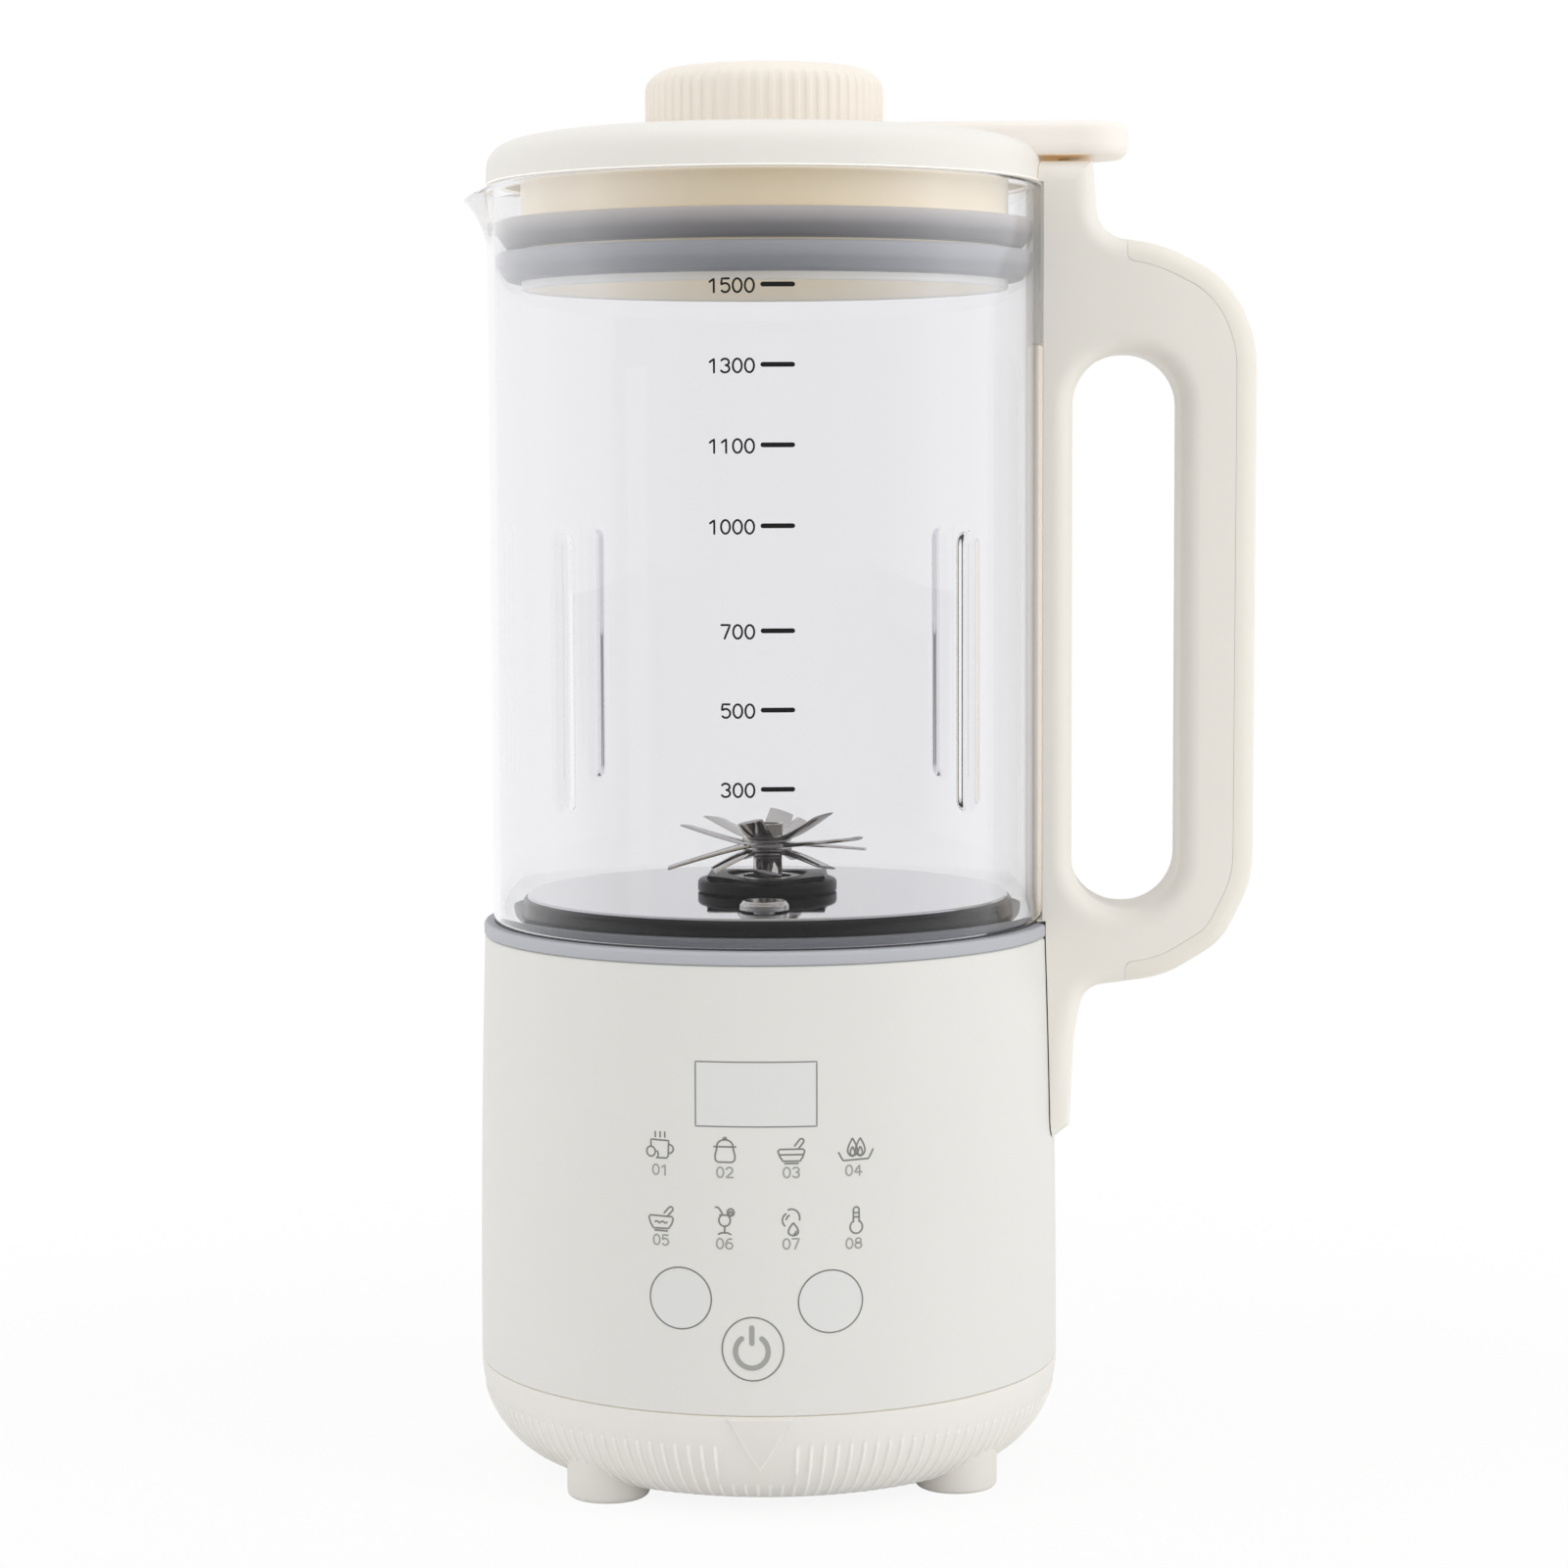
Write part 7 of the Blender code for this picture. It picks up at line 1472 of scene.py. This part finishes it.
# %% [markdown]
# ## Inside the machine
#
# The motor, boards and bearings keep the frame's own shapes. They are seen only when the lid is off or a wall is
# taken away, yet each one still gets the finish it has: stacked steel sheets, wound copper wire, printed boards.

# %% Group: fine bands
bands, bands_in, bands_out = new_group(
    "fine_bands",
    [("Light", "NodeSocketColor", (0.5, 0.5, 0.5, 1)), ("Dark", "NodeSocketColor", (0.1, 0.1, 0.1, 1)),
     ("Pitch", "NodeSocketFloat", 1000.0)],
    [("Colour", "NodeSocketColor"), ("Height", "NodeSocketFloat")])
place = add(bands, "ShaderNodeTexCoord")
wave = add(bands, "ShaderNodeTexWave", {"Distortion": 0.25, "Detail": 1.0}, bands_direction="Z")
mix = add(bands, "ShaderNodeMix", data_type="RGBA")
join_up(bands, (place, "Object", wave, "Vector"), (bands_in, "Pitch", wave, "Scale"), (wave, "Fac", mix, "Factor"),
        (bands_in, "Dark", mix, "A"), (bands_in, "Light", mix, "B"), (mix, "Result", bands_out, "Colour"),
        (wave, "Fac", bands_out, "Height"))
print("fine bands:", len(bands.nodes), "nodes")

# %% Inner finishes
def banded(name, light, dark, pitch, roughness, metallic):
    """Stacked sheets or wound wire: bands along Z between a light and a dark tone."""
    return from_group(name, bands, {"Light": tone(*light), "Dark": tone(*dark), "Pitch": pitch}, 0.4, 0.0001,
                      Metallic=metallic, Roughness=roughness)


laminated = banded("laminated_steel", (150, 152, 156), (70, 72, 78), 320.0, 0.45, 0.9)
copper = banded("copper_winding", (200, 120, 70), (110, 54, 28), 420.0, 0.32, 0.9)
board_green = moulded("circuit_board", (38, 92, 58), 0.45, drift=0.5, grain=700.0)
black_plastic = moulded("black_plastic", (36, 36, 38), 0.4, drift=0.2, grain=1800.0)
white_plastic = moulded("white_plastic", (228, 228, 224), 0.5)
paint(laminated, "motor_stator", "motor_rotor")
paint(copper, "field_coil_front", "field_coil_rear")
print("inner finishes made")

# %% [markdown]
# ## Finishes of the other frame pieces
#
# A frame piece comes with a material named for its slot. Naming a finish for each of some fifty pieces would be
# long and easy to get wrong, so each slot's name is looked up once, and the pieces done above are passed over.

# %% Finishes of the other frame pieces
slot_finish = {"aluminium": aluminium, "bronze": bronze, "carbon": carbon, "circuit_board": board_green,
               "black_plastic": black_plastic, "white_plastic": white_plastic, "dark_rubber": dark_rubber,
               "steel": shaft_steel, "grey_silicone": ring_grey, "rubber": foot_cream, "cream_plastic": lid_cream,
               "liner_plastic": liner_cream}
done = {"motor_stator", "motor_rotor", "field_coil_front", "field_coil_rear", "cap_stopper", "blade_nut"}
for node_name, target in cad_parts.items():
    if node_name in done:
        continue
    for spot in target.material_slots:
        old = spot.material.name if spot.material else ""
        for slot_name, finish in slot_finish.items():
            if old.startswith(slot_name):
                spot.material = finish
print("finished frame pieces:", len(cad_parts))

# %% [markdown]
# ## Floor and light
#
# The machine stands on a plain pale floor in soft light from all round, as in a light tent. The white behind it
# is the world seen by camera, mirror and glass rays; the light that falls on it comes from a dimmer world and
# three wide lamps. The floor shows itself to the camera mostly as that white, and keeps a soft shadow.

# %% What cameras, mirrors and glass see
MIRROR_FRONT = 0.28


def plainly_seen(tree):
    """The Light Path node, and one for camera, mirror and glass rays: the largest of the three."""
    path = add(tree, "ShaderNodeLightPath")
    seen = add(tree, "ShaderNodeMath", operation="MAXIMUM")
    seen_too = add(tree, "ShaderNodeMath", operation="MAXIMUM")
    join_up(tree, (path, "Is Camera Ray", seen, 0), (path, "Is Glossy Ray", seen, 1), (seen, 0, seen_too, 0),
            (path, "Is Transmission Ray", seen_too, 1))
    return path, seen_too


def mirror_share(tree, path, place, coordinate, low, high):
    """One for what is seen straight. Mirrors see the tent's front darker, as the open side that a camera needs:
    the share grows from there to one as Y goes from low to high."""
    parts = add(tree, "ShaderNodeSeparateXYZ")
    front = add(tree, "ShaderNodeMapRange", {"From Min": low, "From Max": high, "To Min": MIRROR_FRONT, "To Max": 1.0})
    mirrored = add(tree, "ShaderNodeMath", {1: 0.5}, operation="GREATER_THAN")
    share = add(tree, "ShaderNodeMix", {"A": 1.0})
    join_up(tree, (place, coordinate, parts, 0), (parts, "Y", front, "Value"), (path, "Glossy Depth", mirrored, 0),
            (mirrored, 0, share, "Factor"), (front, 0, share, "B"))
    return share


print("ray helpers ready")

# %% Floor
floor_material = bpy.data.materials.new("pale_floor")
floor_material.use_nodes = True
tree = floor_material.node_tree
shader = tree.nodes["Principled BSDF"]
output = tree.nodes["Material Output"]
shader.inputs["Base Color"].default_value = tone(244, 244, 243)
shader.inputs["Roughness"].default_value = 0.9
shader.inputs["Specular IOR Level"].default_value = 0.0
glow = add(tree, "ShaderNodeEmission", {"Color": (1, 1, 1, 1), "Strength": 1.0})
path, seen = plainly_seen(tree)
spot = add(tree, "ShaderNodeTexCoord")
far = add(tree, "ShaderNodeVectorMath", operation="LENGTH")
near_share = add(tree, "ShaderNodeMapRange", {"From Min": 0.10, "From Max": 0.42, "To Min": 0.9, "To Max": 1.0},
                 interpolation_type="SMOOTHERSTEP")
share = add(tree, "ShaderNodeMath", operation="MULTIPLY")
blend = add(tree, "ShaderNodeMixShader")
join_up(tree, (mirror_share(tree, path, spot, "Object", -0.6, 0.15), 0, glow, "Strength"), (spot, "Object", far, 0),
        (far, "Value", near_share, "Value"), (near_share, 0, share, 1), (seen, 0, share, 0), (share, 0, blend, "Fac"),
        (shader, 0, blend, 1), (glow, 0, blend, 2), (blend, 0, output, "Surface"))
WIDE = 6000
floor = solid("floor", [(-WIDE, -WIDE, 0), (WIDE, -WIDE, 0), (WIDE, WIDE, 0), (-WIDE, WIDE, 0)], [(0, 1, 2, 3)])
floor.data.materials.append(floor_material)
print("floor made")

# %% World
world = bpy.data.worlds.new("light_tent")
bpy.context.scene.world = world
world.use_nodes = True
tree = world.node_tree
tree.nodes.clear()
path, seen = plainly_seen(tree)
level = add(tree, "ShaderNodeMapRange", {"To Min": 0.62, "To Max": 1.0})
heading = add(tree, "ShaderNodeTexCoord")
strength = add(tree, "ShaderNodeMath", operation="MULTIPLY")
sky = add(tree, "ShaderNodeBackground", {"Color": (1, 1, 1, 1)})
output = add(tree, "ShaderNodeOutputWorld")
join_up(tree, (seen, 0, level, "Value"), (level, 0, strength, 0),
        (mirror_share(tree, path, heading, "Generated", -0.95, 0.25), 0, strength, 1),
        (strength, 0, sky, "Strength"), (sky, 0, output, "Surface"))
print("world made")

# %% Lamps
AIM = (0, 0, 0.15)


def lamp(name, place, wide, tall, power):
    """A soft box at a place in metres that faces the middle of the machine."""
    data = bpy.data.lights.new(name, "AREA")
    data.shape = "RECTANGLE"
    data.size, data.size_y = wide, tall
    data.energy = power
    made = bpy.data.objects.new(name, data)
    made.visible_glossy = False
    made.visible_transmission = False
    bpy.context.scene.collection.objects.link(made)
    heading = Vector((np.array(AIM) - np.array(place)).tolist())
    made.matrix_world = Matrix.Translation(place) @ heading.to_track_quat("-Z", "Y").to_matrix().to_4x4()
    return made


lamp("left_softbox", (-1.1, -0.5, 0.6), 0.6, 1.6, 4.8)
lamp("right_softbox", (1.2, -0.6, 0.6), 0.6, 1.6, 8.6)
lamp("top_softbox", (0.0, 0.1, 1.3), 0.9, 0.9, 2.9)
print("light tent built")
